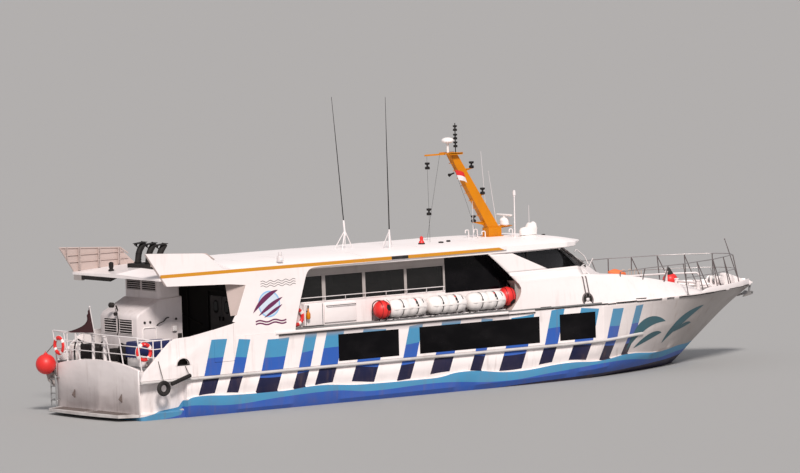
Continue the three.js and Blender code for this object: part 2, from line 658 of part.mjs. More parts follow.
// Machinery: two engine blocks on one pair of beds
function engines() {
  const floor = engineRoom.z;
  const bed = block([-12900, -10500], [-1500, 1500], [floor + gap, floor + 120]);
  const blocks = [-shaftLine.y, shaftLine.y].map((y) =>
    block([-12700, -10700], [y - 480, y + 480], [floor + 110, floor + 1350]));
  return join([bed, ...blocks]);
}

function stack() {
  const base = onRoof(block([-13450, -12650], [-950, 950], [footZ, 5600]));
  const pipes = [-700, 0, 700].flatMap((y) => [
    rod([-13130, y, 5590], [-13050, y, 6060], 120, 12),
    rod([-13060, y, 6030], [-12830, y, 6330], 150, 12, 110),
    block([-13260, -12760], [y - 170, y + 170], [6290, 6320]),
  ]);
  return join([base, ...pipes]);
}

// Air trunk over the engine room: a rounded lower casing and a box under the canopy
const louvrePanels = [
  { x: -14560, zs: [3060, 3180, 3300, 3420, 3540] }, { x: -13470, zs: [4640, 4760, 4880, 5000] },
];

function ventCasing() {
  const low = aftDeckZ + gap;
  const lower = sidePrism([[-14560, low], [-14560, 3660], [-14480, 3860], [-14300, casing.top],
    [-13470, 4340], [-12500, 4400], [-12500, low]], -casing.y, casing.y);
  const upper = block([-13470, -12500], [-1160, 1160], [4300, 5150 - gap]);
  const louvres = louvrePanels.flatMap(({ x, zs }) =>
    zs.map((z) => bothSides(block([x - 60, x + 30], [-870, -90], [z, z + 50]))));
  return cut(lower.add(upper), louvres);
}

// Liferafts: three canisters on a cradle bar, with a ball fender at each end
const raftCentres = [-3200, -1330, 540];
const raftFenders = [{ x: -4330, z: 3310, r: 330, peg: -4330 }, { x: 1500, z: 3410, r: 310, peg: 1400 }];

function liferafts() {
  const z = 3320;
  const y = -2708;
  const bar = block([-4450, 1460], [-2780, -2600], [upperDeckTop + gap, upperDeckTop + 50]);
  const cradles = raftCentres.flatMap((x) => [-430, 430].map((dx) =>
    block([x + dx - 40, x + dx + 40], [-2830, -2550], [upperDeckTop + 20, 3060])));
  const canisters = raftCentres.map((x) => canister(x, y, z));
  const fenders = raftFenders.flatMap((end) => [
    ball([end.x, -2720, end.z], end.r, 14, 10),
    block([end.peg - 50, end.peg + 50], [-2780, -2660], [upperDeckTop + 20, 3150]),
  ]);
  return join([bar, ...cradles, ...canisters, ...fenders]);
}

function canister(x, y, z) {
  const profile = [[0, -870], [200, -860], [300, -800], [325, -700], [325, -40], [343, -30], [343, 30],
    [325, 40], [330, 700], [300, 800], [200, 860], [0, 870]];
  return turned(profile, 18).rotate([0, 90, 0]).translate([x, y, z]);
}

// Stern: platform with its ladder, rails with the two lifebuoys that hang on them
function sternPlatform() {
  return planPrism([[transomX - gap, -2700], [-16250, -2350], [-16420, 0], [-16250, 2350],
    [transomX - gap, 2700]], 130, 250);
}

const railX = transomX + 75;
const railRadius = 24;
const railTop = 3110;
const railBars = [2440, 2770, railTop];
const railAt = (z) => railX - ((z - 2100) * 160) / (railTop - 2100); // the stern rail leans aft

const sternPost = (y) => [[railX, y, 1800], [railAt(railTop), y, railTop]];

// The rail over the transom and its runs forward to the wings, with two lifebuoys
function transomRail() {
  const posts = [-2850, -2120, -1630, -900, 0, 900, 1630, 2120, 2850].map(sternPost);
  const transomTop = bothSides(crossPrism([
    [0, 1500], [0, 2130 + gap], [-1066, 2130 + gap], [-3300, 1790 + gap], [-3300, 1500],
  ], -15700, transomInX));
  const bars = railBars.map((z) => [[railAt(z), -2850, z], [railAt(z), 2850, z]]);
  const sides = [-1, 1].flatMap((side) => [
    ...railBars.flatMap((z) => [
      [[railAt(z), side * 2850, z], [-14970, side * 2895, z * 0.95]],
      [[-14970, side * 2895, z * 0.95], [-14200, side * 2910, z * 0.955]],
    ]),
    ...[-14970, -14600, -14200].map((x) =>
      [[x, side * 2900, aftDeckZ + gap], [x, side * 2900, railTop * 0.95]]),
  ]);
  const sideBuoy = join([
    ring([-15290, -2770, 2560], 290, 75, [Math.PI / 2, 0, 0]),
    rod([-15290, -2770, 2850], [-15290, -2870, 2850], 20, 6),
    rod([-15290, -2870, 2700], [-15290, -2870, 3050], 20, 6),
  ]);
  const aftBuoy = join([
    ring([railAt(2560) - 95, 2440, 2560], 290, 75, [0, Math.PI / 2, 0]),
    rod([railAt(2560) - 95, 2440, 2770], [railAt(2770), 2440, 2770], 20, 6),
  ]);
  const rails = rods([...posts, ...bars, ...sides], railRadius, 6).subtract(transomTop);
  return join([rails, sideBuoy, aftBuoy]);
}

function sternLadder() {
  const x = -15720;
  const rails = [2620, 2960].map((y) => [[x, y, 250 + gap], [x, y, 1400]]);
  const rungs = [480, 740, 1000, 1260].map((z) => [[x, 2620, z], [x, 2960, z]]);
  const stays = [500, 1250].flatMap((z) => [2620, 2960].map((y) => [[x, y, z], [transomX - gap, y, z]]));
  return rods([...rails, ...rungs, ...stays], 26, 8);
}

// Quarter fenders
function offTopside(rope) {
  return rope.subtract(block([-16000, -12000], [-halfBeam - gap, 0], [rubZ, 3400]));
}

function tyreFender() {
  const rope = offTopside(rod([-14800, -3270, 1480], [-14880, -3082, 2200], 14, 6));
  return ring([-14800, -3280, 1200], 210, 85, [Math.PI / 2, 0, 0], 20, 10).add(rope);
}

function rollFender() {
  const roll = rod([-14460, -3270, 1330], [-13560, -3260, 1600], 80, 12);
  const rope = offTopside(rod([-13600, -3260, 1580], [-13680, -3082, 1940], 14, 6));
  return roll.add(rope);
}

function ballFender() {
  const post = rod(...sternPost(2850), railRadius + gap, 6);
  const rope = rod([-15960, 2900, 2200], [railAt(2620) - 10, 2850, 2620], 16, 6).subtract(post);
  return ball([-15960, 2900, 1850], 390, 18, 12).add(rope);
}

// Mast: the lanterns' places, with the x where each bracket meets the mast
const lanterns = [
  { x: 2060, z: 8420, root: 1400 }, { x: 2560, z: 7370, root: 2000 }, { x: 2090, z: 6320, root: 2800 },
];

function mast() {
  const beam = loft([
    [[2700, 5900, 145], [3230, 5900, 145]], [[930, 8900, 120], [1290, 8900, 120]],
  ].map(([[x0, z0, y0], [x1, z1, y1]]) => [[x0, -y0, z0], [x1, -y1, z1], [x1, y1, z1], [x0, y0, z0]]), 2);
  const base = onRoof(block([2660, 3270], [-210, 210], [footZ, 5930]));
  const head = block([740, 1460], [-300, 300], [8890, 8950]);
  const yard = block([-150, 800], [-40, 40], [8860, 8930]);
  const brackets = lanterns.flatMap(({ x, z, root }) => [
    block([Math.min(x - 60, root), Math.max(x + 60, root)], [-35, 35], [z - 190, z - 130]),
    rod([x, 0, z - 140], [x, 0, z + 120], 65, 10),
  ]);
  const radarArm = sidePrism([
    [3000, 5800], [3250, 5860], [3850, 5900], [3850, 5960], [3050, 5960],
  ], -150, 150);
  const radarPost = turned([[0, 0], [110, 0], [165, 60], [165, 250], [110, 320], [0, 320]], 16)
    .translate([3580, 0, 5950]);
  const pole = rod([1320, 0, 8940], [1320, 0, 10070], 26, 6);
  const lamp = rod([1320, 0, 9800], [1320, 0, 10010], 65, 10);
  return join([beam, base, head, yard, ...brackets, radarArm, radarPost, pole, lamp]);
}

function radarScanner() {
  const bar = block([3520, 3640], [-480, 480], [6320, 6410]);
  return bar.add(rod([3580, 0, 6270 + gap], [3580, 0, 6330], 60, 12));
}

function radome() {
  return turned([[0, 0], [60, 0], [60, 330], [230, 380], [260, 460], [200, 560], [0, 610]], 16)
    .translate([950, 0, 8950 + gap]);
}

function aftAerial() {
  const top = [-4040, 0, 6250];
  const legs = [[-4350, -250], [-4350, 250], [-3700, 0]].map(([x, y]) =>
    rod([x, y, footZ + 100], top, 22, 6));
  return join([...legs.map(onRoof), rod(top, [-4480, 0, 11390], 22, 6, 10)]);
}

function sideAerial() {
  return onRoof(rod([-3020, -1500, footZ], [-3030, -1500, 11350], 26, 6, 10));
}

function lightPole() {
  const pole = onRoof(rod([3320, -1000, footZ], [3340, -1000, 7120], 32, 8));
  return pole.add(rod([3340, -1000, 7110], [3340, -1000, 7390], 60, 8));
}

function searchlight() {
  const cover = sidePrism([
    [3440, footZ], [3460, 5870], [3640, 5930], [3740, 5900], [3840, 6080], [3960, 6060], [4060, 6130],
    [4180, 6080], [4210, 5880], [4160, footZ],
  ], -1380, -1020);
  return onRoof(cover);
}

// Bow: rails, windlass, anchor, jackstaff
// Bow rail posts, from the forehouse forward: places of foot and head as [x, half-breadth]
const railPosts = [
  { foot: [7300, 2420], footZ: 3200, head: [7180, 2600], headZ: 4010 },
  { foot: [8460, 2200], footZ: 3200, head: [8420, 2580], headZ: 4070 },
  { foot: [9700, 2000], footZ: 3200, head: [9640, 2480], headZ: 4090 },
  { foot: [10540, 2560], footZ: gunwaleZ + 5, head: [10440, 2420], headZ: 4100 },
  { foot: [11500, 2310], footZ: gunwaleZ + 5, head: [11360, 2110], headZ: 4110 },
  { foot: [12580, 1850], footZ: gunwaleZ + 5, head: [12410, 1790], headZ: 4120 },
  { foot: [13540, 1380], footZ: gunwaleZ + 5, head: [13360, 1250], headZ: 4130 },
  { foot: [14480, 840], footZ: gunwaleZ + 5, head: [14300, 660], headZ: 4130 },
];
const lowerRailFrom = 3; // the first post that also carries the lower rail

function bowRail() {
  const at = (post, side, t) => [
    post.foot[0] + (post.head[0] - post.foot[0]) * t,
    side * (post.foot[1] + (post.head[1] - post.foot[1]) * t),
    post.footZ + (post.headZ - post.footZ) * t,
  ];
  const bars = (a, b, side, i) => (i < lowerRailFrom ? [1] : [0.55, 1]).map((t) =>
    rod(at(a, side, t), at(b, side, t), 17, 6));
  const parts = [];
  for (const side of [-1, 1]) {
    railPosts.forEach((post, i) => {
      parts.push(rod(at(post, side, 0), at(post, side, 1.01), 24, 8));
      if (railPosts[i + 1]) parts.push(...bars(post, railPosts[i + 1], side, i));
    });
  }
  const last = railPosts[railPosts.length - 1];
  const nose = { foot: [14690, 160], footZ: last.footZ, head: [14560, 160], headZ: last.headZ };
  parts.push(...[-1, 1].flatMap((side) => bars(last, nose, side, railPosts.length)));
  parts.push(...[0.55, 1].map((t) => rod(at(nose, -1, t), at(nose, 1, t), 17, 6)));
  return cut(join(parts), [houseBody().translate([0, 0, gap])]);
}

function windlass() {
  const bed = block([13450, 14190], [-330, 330], [gunwaleZ + gap, gunwaleZ + 80]);
  const drum = rod([13930, -420, 3140], [13930, 420, 3140], 150, 14);
  const cheeks = block([13740, 14120], [-180, 180], [gunwaleZ + 50, 3300]);
  const posts = [-1, 1].map((side) =>
    rod([12500, side * 700, gunwaleZ + gap], [12500, side * 700, 3260], 80, 10));
  const tie = block([12400, 13500], [-60, 60], [gunwaleZ + gap, gunwaleZ + 50]);
  const bar = rod([12500, -760, 3140], [12500, 760, 3140], 50, 8);
  const stem = rod([12500, 0, gunwaleZ + 20], [12500, 0, 3140], 60, 8);
  return join([bed, drum, cheeks, tie, bar, stem, ...posts]);
}

// Anchor stowed under the bow, with its roller and the sloping cover over the chain
function anchor() {
  const cheeks = block([14230, 15700], [-110, 110], [gunwaleZ + gap, gunwaleZ + 70]);
  const cover = sidePrism([
    [14230, gunwaleZ + 60], [14210, 3330], [14330, 3390], [14720, 3270], [15420, 2990],
    [15420, gunwaleZ + 60],
  ], -170, 170);
  const shank = sidePrism([[15540, 2500], [15620, 2480], [15720, 2900], [15632, 2900]], -40, 40);
  const crown = sidePrism([
    [15130, 2370], [15620, 2460], [15650, 2600], [15570, 2600], [15480, 2510], [15130, 2430],
  ], -260, 260);
  return join([cheeks, cover, shank, crown]);
}

const foreHatch = { x: [8700, 9350], y: 330 };

function foredeckHatch() {
  const [x0, x1] = foreHatch.x;
  const lid = sidePrism([[x0, 3560], [x1, 3500], [x1, 3640], [x0, 3715]], -foreHatch.y, foreHatch.y);
  return lid.subtract(houseBody().translate([0, 0, gap + 0.2]));
}

function jackstaff() {
  return rod([15115, 0, gunwaleZ + 40], [14430, 0, 4720], 24, 8).subtract(anchor().translate([0, 0, gap]));
}

function ensign() {
  const foot = railAt(railTop);
  const bar = rod([foot, -200, railTop], [foot, 200, railTop], railRadius + gap, 6);
  const staff = rod([foot, 0, railTop], [-15820, 0, 4150], 20, 8).subtract(bar);
  const flag = sidePrism([[-15775, 4060], [-15640, 3180], [-15480, 3180], [-15640, 3900]], -20, 20);
  return staff.add(flag);
}

// Running gear
function propeller(side) {
  const hub = rod([0, 0, 0], [hubLength, 0, 0], 85, 12);
  const nose = rod([-90, 0, 0], [5, 0, 0], 30, 12, 85);
  const blades = [0, 1, 2, 3].map((k) => {
    const blade = loft([[60, 130], [250, 210], [400, 120]].map(([r, w]) => [
      [165 - w * 0.7, -w * 0.5 - 10, r], [165 + w * 0.7, w * 0.5 - 10, r],
      [165 + w * 0.7, w * 0.5 + 10, r], [165 - w * 0.7, -w * 0.5 + 10, r],
    ]), 2);
    return blade.rotate([90 * k, 0, 0]);
  });
  const screw = join([hub, nose, ...blades]).rotate([0, (-shaftTilt * 180) / Math.PI, 0]);
  return side > 0 ? screw : screw.mirror([0, 1, 0]);
}

function rudder() {
  const blade = sidePrism([[-330, -60], [170, -60], [110, -790], [-270, -790]], -35, 35);
  return blade.add(rod([0, 0, -200], [0, 0, -0.5], 45, 10));
}

function build() {
  addPart('hull', hull(), blue);
  const sides = [['stbd', (solid) => solid], ['port', (solid) => solid.mirror([0, 1, 0])]];
  for (const [side, turn] of sides) {
    addPart(`topside_${side}`, turn(topside()), white);
    addPart(`rub_rail_${side}`, turn(rubRail()), grey);
    addPart(`main_glass_${side}`, turn(mainGlass()), glass);
    addPart(`boarding_gate_${side}`, turn(boardingGate()), white);
    addPart(`side_panel_${side}`, turn(sidePanel()), white);
    addPart(`upper_wall_${side}`, turn(upperWall()), white);
    addPart(`upper_glass_${side}`, turn(upperGlass()), glass);
    addPart(`aft_door_${side}`, turn(aftDoor()), grey);
    addPart(`liferafts_${side}`, turn(liferafts()), white);
    addPart(`shaft_gear_${side}`, turn(shaftGear()), bronze);
  }
  addPart('gunwale_strip', gunwaleStrip(), rubber);
  addPart('aft_deck', aftDeck(), grey);
  addPart('engine_hatch', engineHatch(), grey);
  addPart('upper_deck', upperDeck(), grey);
  addPart('aft_bulkhead', aftBulkhead(), white);
  addPart('roof', roof(), white);
  addPart('aft_canopy', aftCanopy(), white);
  addPart('forehouse', forehouse(), white);
  addPart('foredeck_hatch', foredeckHatch(), white);
  addPart('wheelhouse', wheelhouse(), white);
  addPart('wheelhouse_glass', wheelhouseGlass(), glass);
  addPart('helm', helm(), grey);
  addPart('seats_lower', seatRows(-8900, 15, 930, 2500, 350, saloonFloorZ), navy);
  addPart('seats_upper', seatRows(-8300, 10, 930, 2150, 300, upperDeckTop), navy);
  addPart('engines', engines(), grey);
  addPart('exhaust_stacks', stack(), rubber);
  addPart('vent_casing', ventCasing(), white);
  addPart('stern_platform', sternPlatform(), grey);
  addPart('transom_rail', transomRail(), steel);
  addPart('stern_ladder', sternLadder(), steel);
  addPart('tyre_fender', tyreFender(), rubber);
  addPart('roll_fender', rollFender(), rubber);
  addPart('ball_fender', ballFender(), red);
  addPart('mast', mast(), orange);
  addPart('radar_scanner', radarScanner(), white);
  addPart('radome', radome(), white);
  addPart('aft_aerial', aftAerial(), steel);
  addPart('side_aerial', sideAerial(), rubber);
  addPart('light_pole', lightPole(), white);
  addPart('searchlight', searchlight(), white);
  addPart('bow_rail', bowRail(), steel);
  addPart('windlass', windlass(), white);
  addPart('anchor', anchor(), grey);
  addPart('jackstaff', jackstaff(), steel);
  addPart('ensign', ensign(), red);
  for (const [side, sign] of [['stbd', -1], ['port', 1]]) {
    const screwAt = shaftAt(-hubLength - 0.5, sign * shaftLine.y);
    addPart(`propeller_${side}`, propeller(sign).translate(screwAt), bronze, screwAt);
    const rudderAt = [rudderPost.x, sign * shaftLine.y, rudderPost.topZ];
    addPart(`rudder_${side}`, rudder().translate(rudderAt), blue, rudderAt);
  }
}

build();

export default ferry;
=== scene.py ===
import json
import math
import random

import bmesh
import bpy
from mathutils import Matrix, Vector

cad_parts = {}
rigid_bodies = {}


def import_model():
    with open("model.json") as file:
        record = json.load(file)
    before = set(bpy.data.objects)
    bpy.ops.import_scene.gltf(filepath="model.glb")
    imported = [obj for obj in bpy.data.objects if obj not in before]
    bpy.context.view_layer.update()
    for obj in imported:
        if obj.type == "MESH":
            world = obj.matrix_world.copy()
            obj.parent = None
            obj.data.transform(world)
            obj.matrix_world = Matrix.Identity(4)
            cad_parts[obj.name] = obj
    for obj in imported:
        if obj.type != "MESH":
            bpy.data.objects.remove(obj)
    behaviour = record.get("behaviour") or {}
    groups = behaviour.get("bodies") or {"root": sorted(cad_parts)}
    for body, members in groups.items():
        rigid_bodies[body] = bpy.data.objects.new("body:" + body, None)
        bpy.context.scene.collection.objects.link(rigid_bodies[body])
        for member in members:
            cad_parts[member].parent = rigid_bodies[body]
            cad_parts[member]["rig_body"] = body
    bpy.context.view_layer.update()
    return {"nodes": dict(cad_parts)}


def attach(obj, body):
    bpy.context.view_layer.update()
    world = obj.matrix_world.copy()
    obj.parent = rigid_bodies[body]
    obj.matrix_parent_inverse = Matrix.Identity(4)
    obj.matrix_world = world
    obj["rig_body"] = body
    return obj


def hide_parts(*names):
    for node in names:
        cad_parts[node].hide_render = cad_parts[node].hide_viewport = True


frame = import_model()
print("frame loaded:", len(frame["nodes"]), "nodes")

random.seed(11)

# Metres; +X forward, +Y to port, +Z up; the water is at z = 0.
cameraView = {
    "azimuth": -35.77, "elevation": 4.11, "roll": 1.63, "distance": 290.0,
    "aim": (-1.44, 0.0, 5.85), "lens": 339.3, "sensor": 36.0,
}


def makeCamera(view):
    a, e, r = (math.radians(view[key]) for key in ("azimuth", "elevation", "roll"))
    back = Vector((math.sin(a) * math.cos(e), -math.cos(a) * math.cos(e), math.sin(e)))
    side = Vector((math.cos(a), math.sin(a), 0.0))
    above = back.cross(side)
    right = side * math.cos(r) - above * math.sin(r)
    up = side * math.sin(r) + above * math.cos(r)
    data = bpy.data.cameras.new("camera")
    data.lens, data.sensor_width = view["lens"], view["sensor"]
    data.clip_start, data.clip_end = 1.0, 6000.0
    camera = bpy.data.objects.new("camera", data)
    bpy.context.scene.collection.objects.link(camera)
    turn = Matrix((right, up, back)).transposed().to_4x4()
    camera.matrix_world = Matrix.Translation(Vector(view["aim"]) + back * view["distance"]) @ turn
    bpy.context.scene.camera = camera


makeCamera(cameraView)

studio = {
    "skyStrength": 0.44, "sky": (0.96, 0.95, 1.0), "sunStrength": 3.7, "sunSize": 12.0,
    "sunFrom": (-0.42, -0.8, 0.8), "sun": (1.0, 0.94, 0.9), "floor": (0.36, 0.36, 0.355), "floorSize": 2600.0,
}


def makeStudio(values):
    world = bpy.data.worlds.new("studio")
    world.use_nodes = True
    background = world.node_tree.nodes["Background"]
    background.inputs["Color"].default_value = (*values["sky"], 1)
    background.inputs["Strength"].default_value = values["skyStrength"]
    bpy.context.scene.world = world
    lamp = bpy.data.lights.new("softSun", "SUN")
    lamp.energy, lamp.angle = values["sunStrength"], math.radians(values["sunSize"])
    lamp.color = values["sun"]
    sun = bpy.data.objects.new("softSun", lamp)
    sun.rotation_euler = Vector(values["sunFrom"]).to_track_quat("Z", "Y").to_euler()
    bpy.context.scene.collection.objects.link(sun)
    half = values["floorSize"] / 2
    mesh = bpy.data.meshes.new("floor")
    corners = [(-half, -half, 0), (half, -half, 0), (half, half, 0), (-half, half, 0)]
    mesh.from_pydata(corners, [], [(0, 1, 2, 3)])
    floor = bpy.data.objects.new("floor", mesh)
    bpy.context.scene.collection.objects.link(floor)
    material = bpy.data.materials.new("paleFloor")
    material.use_nodes = True
    surface = material.node_tree.nodes["Principled BSDF"]
    surface.inputs["Base Color"].default_value = (*values["floor"], 1)
    surface.inputs["Roughness"].default_value = 0.75
    mesh.materials.append(material)
    bpy.context.scene.view_settings.view_transform = "Standard"


makeStudio(studio)
print("camera and studio made")

# Shader helpers

def addNode(tree, kind, inputs=None, **settings):
    node = tree.nodes.new("ShaderNode" + kind)
    for name, value in settings.items():
        setattr(node, name, value)
    for key, value in (inputs or {}).items():
        if isinstance(value, bpy.types.NodeSocket):
            tree.links.new(value, node.inputs[key])
        else:
            node.inputs[key].default_value = value
    return node


def calc(tree, operation, *values, clamp=False):
    node = addNode(tree, "Math", dict(enumerate(values)), operation=operation, use_clamp=clamp)
    return node.outputs[0]


def product(tree, first, *others):
    for value in others:
        first = calc(tree, "MULTIPLY", first, value)
    return first


def above(tree, value, limit):
    return calc(tree, "GREATER_THAN", value, limit)


def below(tree, value, limit):
    return calc(tree, "LESS_THAN", value, limit)


def objectPlace(tree):
    apart = addNode(tree, "SeparateXYZ", {0: addNode(tree, "TexCoord").outputs["Object"]})
    return [apart.outputs[name] for name in "XYZ"]


def mixColor(tree, factor, first, second):
    node = addNode(tree, "Mix", {"Factor": factor}, data_type="RGBA")
    for socket, value in ((node.inputs[6], first), (node.inputs[7], second)):
        if isinstance(value, bpy.types.NodeSocket):
            tree.links.new(value, socket)
        else:
            socket.default_value = (*value, 1) if len(value) == 3 else value
    return node.outputs[2]


def ramp(tree, factor, low, high):
    node = addNode(tree, "MapRange", {"Value": factor, "From Min": low, "From Max": high})
    return node.outputs["Result"]


def stretchedNoise(tree, coords, scale, size=1.0, detail=3.0, rough=0.55):
    placed = addNode(tree, "Mapping", {"Vector": coords, "Scale": scale})
    node = addNode(tree, "TexNoise", {"Vector": placed.outputs[0], "Scale": size, "Detail": detail,
                                      "Roughness": rough})
    return node.outputs["Fac"]


def makeGroup(name, inputs, outputs):
    tree = bpy.data.node_groups.new(name, "ShaderNodeTree")
    for label, kind, value in inputs:
        socket = tree.interface.new_socket(label, in_out="INPUT", socket_type="NodeSocket" + kind)
        socket.default_value = value
    for label, kind in outputs:
        tree.interface.new_socket(label, in_out="OUTPUT", socket_type="NodeSocket" + kind)
    return tree, tree.nodes.new("NodeGroupInput"), tree.nodes.new("NodeGroupOutput")


def placeGroup(tree, group, inputs):
    node = tree.nodes.new("ShaderNodeGroup")
    node.node_tree = group
    for key, value in inputs.items():
        if isinstance(value, bpy.types.NodeSocket):
            tree.links.new(value, node.inputs[key])
        else:
            isColor = isinstance(value, tuple) and len(value) == 3
            node.inputs[key].default_value = (*value, 1) if isColor else value
    return node


# Salt, soot and rust that run down and gather low on every painted surface
def buildWeather():
    tree, start, end = makeGroup(
        "weather",
        [("Color", "Color", (0.8, 0.8, 0.8, 1)), ("Dirt Color", "Color", (0.2, 0.15, 0.1, 1)),
         ("Streaks", "Float", 0.2), ("Patches", "Float", 0.2), ("Low", "Float", 0.0), ("High", "Float", 1.0),
         ("Grime", "Float", 0.0), ("Roughness", "Float", 0.4)],
        [("Color", "Color"), ("Roughness", "Float"), ("Height", "Float")],
    )
    coords = addNode(tree, "TexCoord").outputs["Object"]
    height = addNode(tree, "SeparateXYZ", {0: coords}).outputs["Z"]
    runs = ramp(tree, stretchedNoise(tree, coords, (5.0, 5.0, 0.45), 1.0, 4.0), 0.52, 0.78)
    broken = stretchedNoise(tree, coords, (0.9, 0.9, 0.9), 1.0, 3.0)
    runs = calc(tree, "MULTIPLY", runs, ramp(tree, broken, 0.42, 0.62))
    patches = ramp(tree, stretchedNoise(tree, coords, (0.55, 0.55, 0.8), 1.0, 6.0, 0.65), 0.5, 0.8)
    low = ramp(tree, height, start.outputs["High"], start.outputs["Low"])
    low = calc(tree, "MULTIPLY", low, ramp(tree, stretchedNoise(tree, coords, (2.5, 2.5, 1.2), 1.0, 5.0),
                                           0.25, 0.7))
    total = calc(tree, "MULTIPLY", runs, start.outputs["Streaks"])
    total = calc(tree, "ADD", total, calc(tree, "MULTIPLY", patches, start.outputs["Patches"]))
    total = calc(tree, "ADD", total, calc(tree, "MULTIPLY", low, start.outputs["Grime"]), clamp=True)
    fine = stretchedNoise(tree, coords, (1, 1, 1), 34.0, 2.0)
    tree.links.new(mixColor(tree, total, start.outputs["Color"], start.outputs["Dirt Color"]),
                   end.inputs["Color"])
    rough = calc(tree, "ADD", start.outputs["Roughness"], calc(tree, "MULTIPLY", total, 0.35), clamp=True)
    tree.links.new(calc(tree, "ADD", rough, calc(tree, "MULTIPLY", fine, 0.08)), end.inputs["Roughness"])
    tree.links.new(fine, end.inputs["Height"])
    return tree


weather = buildWeather()

# Paint bands along the waterline, as x and top height
bands = {"teal": [(-15.6, 0.12), (-14.6, 0.3), (-13.7, 0.42), (-13.6, 0.66), (-13.0, 0.76), (-11.5, 0.69),
                  (-9.3, 0.67), (-7.7, 0.75), (-5.6, 0.63), (-2.3, 0.61), (-0.8, 0.76), (1.7, 0.57),
                  (4.4, 0.71), (5.7, 0.66), (7.6, 0.8), (9.5, 0.7), (11.2, 0.82), (13.5, 0.78)],
         "blue": [(-15.6, -0.1), (-13.7, 0.14), (-13.6, 0.44), (-11.5, 0.33), (-9.4, 0.44), (-7.1, 0.5),
                  (-5.0, 0.35), (-2.2, 0.42), (1.2, 0.25), (3.6, 0.4), (7.2, 0.58), (9.5, 0.44), (11.2, 0.56),
                  (13.5, 0.5)], "navy": [(-15.6, -0.4), (-6.0, -0.25), (-1.5, -0.1), (2.5, 0.07), (7.4, 0.19),
                                         (11.4, 0.33), (13.5, 0.4)], "reach": (-16.0, 16.0),
         "height": (-1.0, 3.0)}
# Slanted stripes on the topsides: start and width along the boat, at the height of the rub rail
stripes = {"lean": 0.28, "pivot": 1.5, "foot": 0.72, "head": 2.74, "tealFrom": 2.06, "blueFrom": 1.3,
           "outside": 1.0, "rippleTurn": 1.15, "rippleHeight": 0.09, "reach": (-14.0, 9.0),
           "bars": [(-12.9, 0.75), (-11.6, 0.5), (-10.3, 1.05), (-8.6, 0.55), (-7.55, 0.8), (-5.9, 1.15),
                    (-3.7, 0.6), (-2.2, 0.95), (-0.3, 0.55), (1.1, 1.1), (3.0, 0.65), (4.5, 0.9), (6.1, 0.5),
                    (7.25, 0.35)]}
paintColors = {"white": (0.86, 0.79, 0.78), "teal": (0.06, 0.265, 0.46), "blue": (0.026, 0.1, 0.41),
               "navy": (0.004, 0.007, 0.04)}
# Painted shadow: the grey band that the side deck's lip casts on the topside under it
lipShade = {"aft": -9.4, "fore": 1.4, "low": 2.56, "high": 2.8, "outside": 3.0, "color": (0.3, 0.26, 0.27)}


# Half-open steps along a line: 1 inside each (start, width), 0 between
def barMask(tree, value, bars, reach):
    low, high = reach
    node = addNode(tree, "ValToRGB", {"Fac": ramp(tree, value, low, high)})
    elements = node.color_ramp.elements
    node.color_ramp.interpolation = "CONSTANT"
    elements[0].position, elements[0].color = 0.0, (0, 0, 0, 1)
    elements[1].position, elements[1].color = 1.0, (0, 0, 0, 1)
    for start, width in bars:
        for place, shade in ((start, 1), (start + width, 0)):
            element = elements.new((place - low) / (high - low))
            element.color = (shade, shade, shade, 1)
    return node.outputs["Color"]


def bandTop(tree, x, points, reach, height):
    node = addNode(tree, "FloatCurve", {"Value": ramp(tree, x, *reach)})
    curve = node.mapping.curves[0]
    while len(curve.points) < len(points):
        curve.points.new(0.5, 0.5)
    for point, (place, top) in zip(curve.points, points):
        point.location = ((place - reach[0]) / (reach[1] - reach[0]),
                          (top - height[0]) / (height[1] - height[0]))
        point.handle_type = "AUTO_CLAMPED"
    node.mapping.update()
    scaled = addNode(tree, "MapRange", {"Value": node.outputs[0], "To Min": height[0], "To Max": height[1]})
    return scaled.outputs["Result"]


# Painted shade that greys the flare towards the stem
paintedBowShade = {"aft": 5.0, "fore": 11.0, "strength": 0.72, "below": 2.84, "color": (0.17, 0.15, 0.135)}


# The hull's colours by place: white, striped topsides and waterline bands, with painted shade on the bow's
# flare and a painted shadow under the side deck's lip
def buildLivery():
    tree, _, end = makeGroup("livery", [], [("Color", "Color")])
    x, y, z = objectPlace(tree)
    outside = calc(tree, "ABSOLUTE", y)
    s = stripes
    lean = calc(tree, "MULTIPLY", calc(tree, "SUBTRACT", z, s["pivot"]), s["lean"])
    ripple = calc(tree, "SINE", calc(tree, "MULTIPLY", x, s["rippleTurn"]))
    waved = calc(tree, "ADD", z, calc(tree, "MULTIPLY", ripple, s["rippleHeight"]))
    bars = product(tree, barMask(tree, calc(tree, "SUBTRACT", x, lean), s["bars"], s["reach"]),
                   above(tree, waved, s["foot"]), below(tree, waved, s["head"]),
                   above(tree, outside, s["outside"]))
    tone = mixColor(tree, above(tree, waved, s["blueFrom"]), paintColors["navy"], paintColors["blue"])
    tone = mixColor(tree, above(tree, waved, s["tealFrom"]), tone, paintColors["teal"])
    color = mixColor(tree, bars, paintColors["white"], tone)
    # painted shade on the bow's flare, mixed in before the waterline bands
    s = paintedBowShade
    bowShade = product(tree, ramp(tree, x, s["aft"], s["fore"]), s["strength"], below(tree, z, s["below"]))
    color = mixColor(tree, bowShade, color, s["color"])
    for name in ("teal", "blue", "navy"):
        top = bandTop(tree, x, bands[name], bands["reach"], bands["height"])
        color = mixColor(tree, below(tree, z, top), color, paintColors[name])
    # painted shadow under the lip of the side deck
    s = lipShade
    lipShadow = product(tree, ramp(tree, z, s["low"], s["high"]), above(tree, x, s["aft"]),
                   below(tree, x, s["fore"]), above(tree, outside, s["outside"]))
    tree.links.new(mixColor(tree, lipShadow, color, s["color"]), end.inputs["Color"])
    return tree


livery = buildLivery()

# The orange line along the fascia, with its ends and height
fasciaLine = {"low": 5.255, "high": 5.385, "aft": -14.6, "fore": 1.4, "outside": 2.9,
              "color": (0.6, 0.25, 0.006), "taper": 2.5, "black": (-4.0, -3.22),
              "blackColor": (0.012, 0.01, 0.01)}


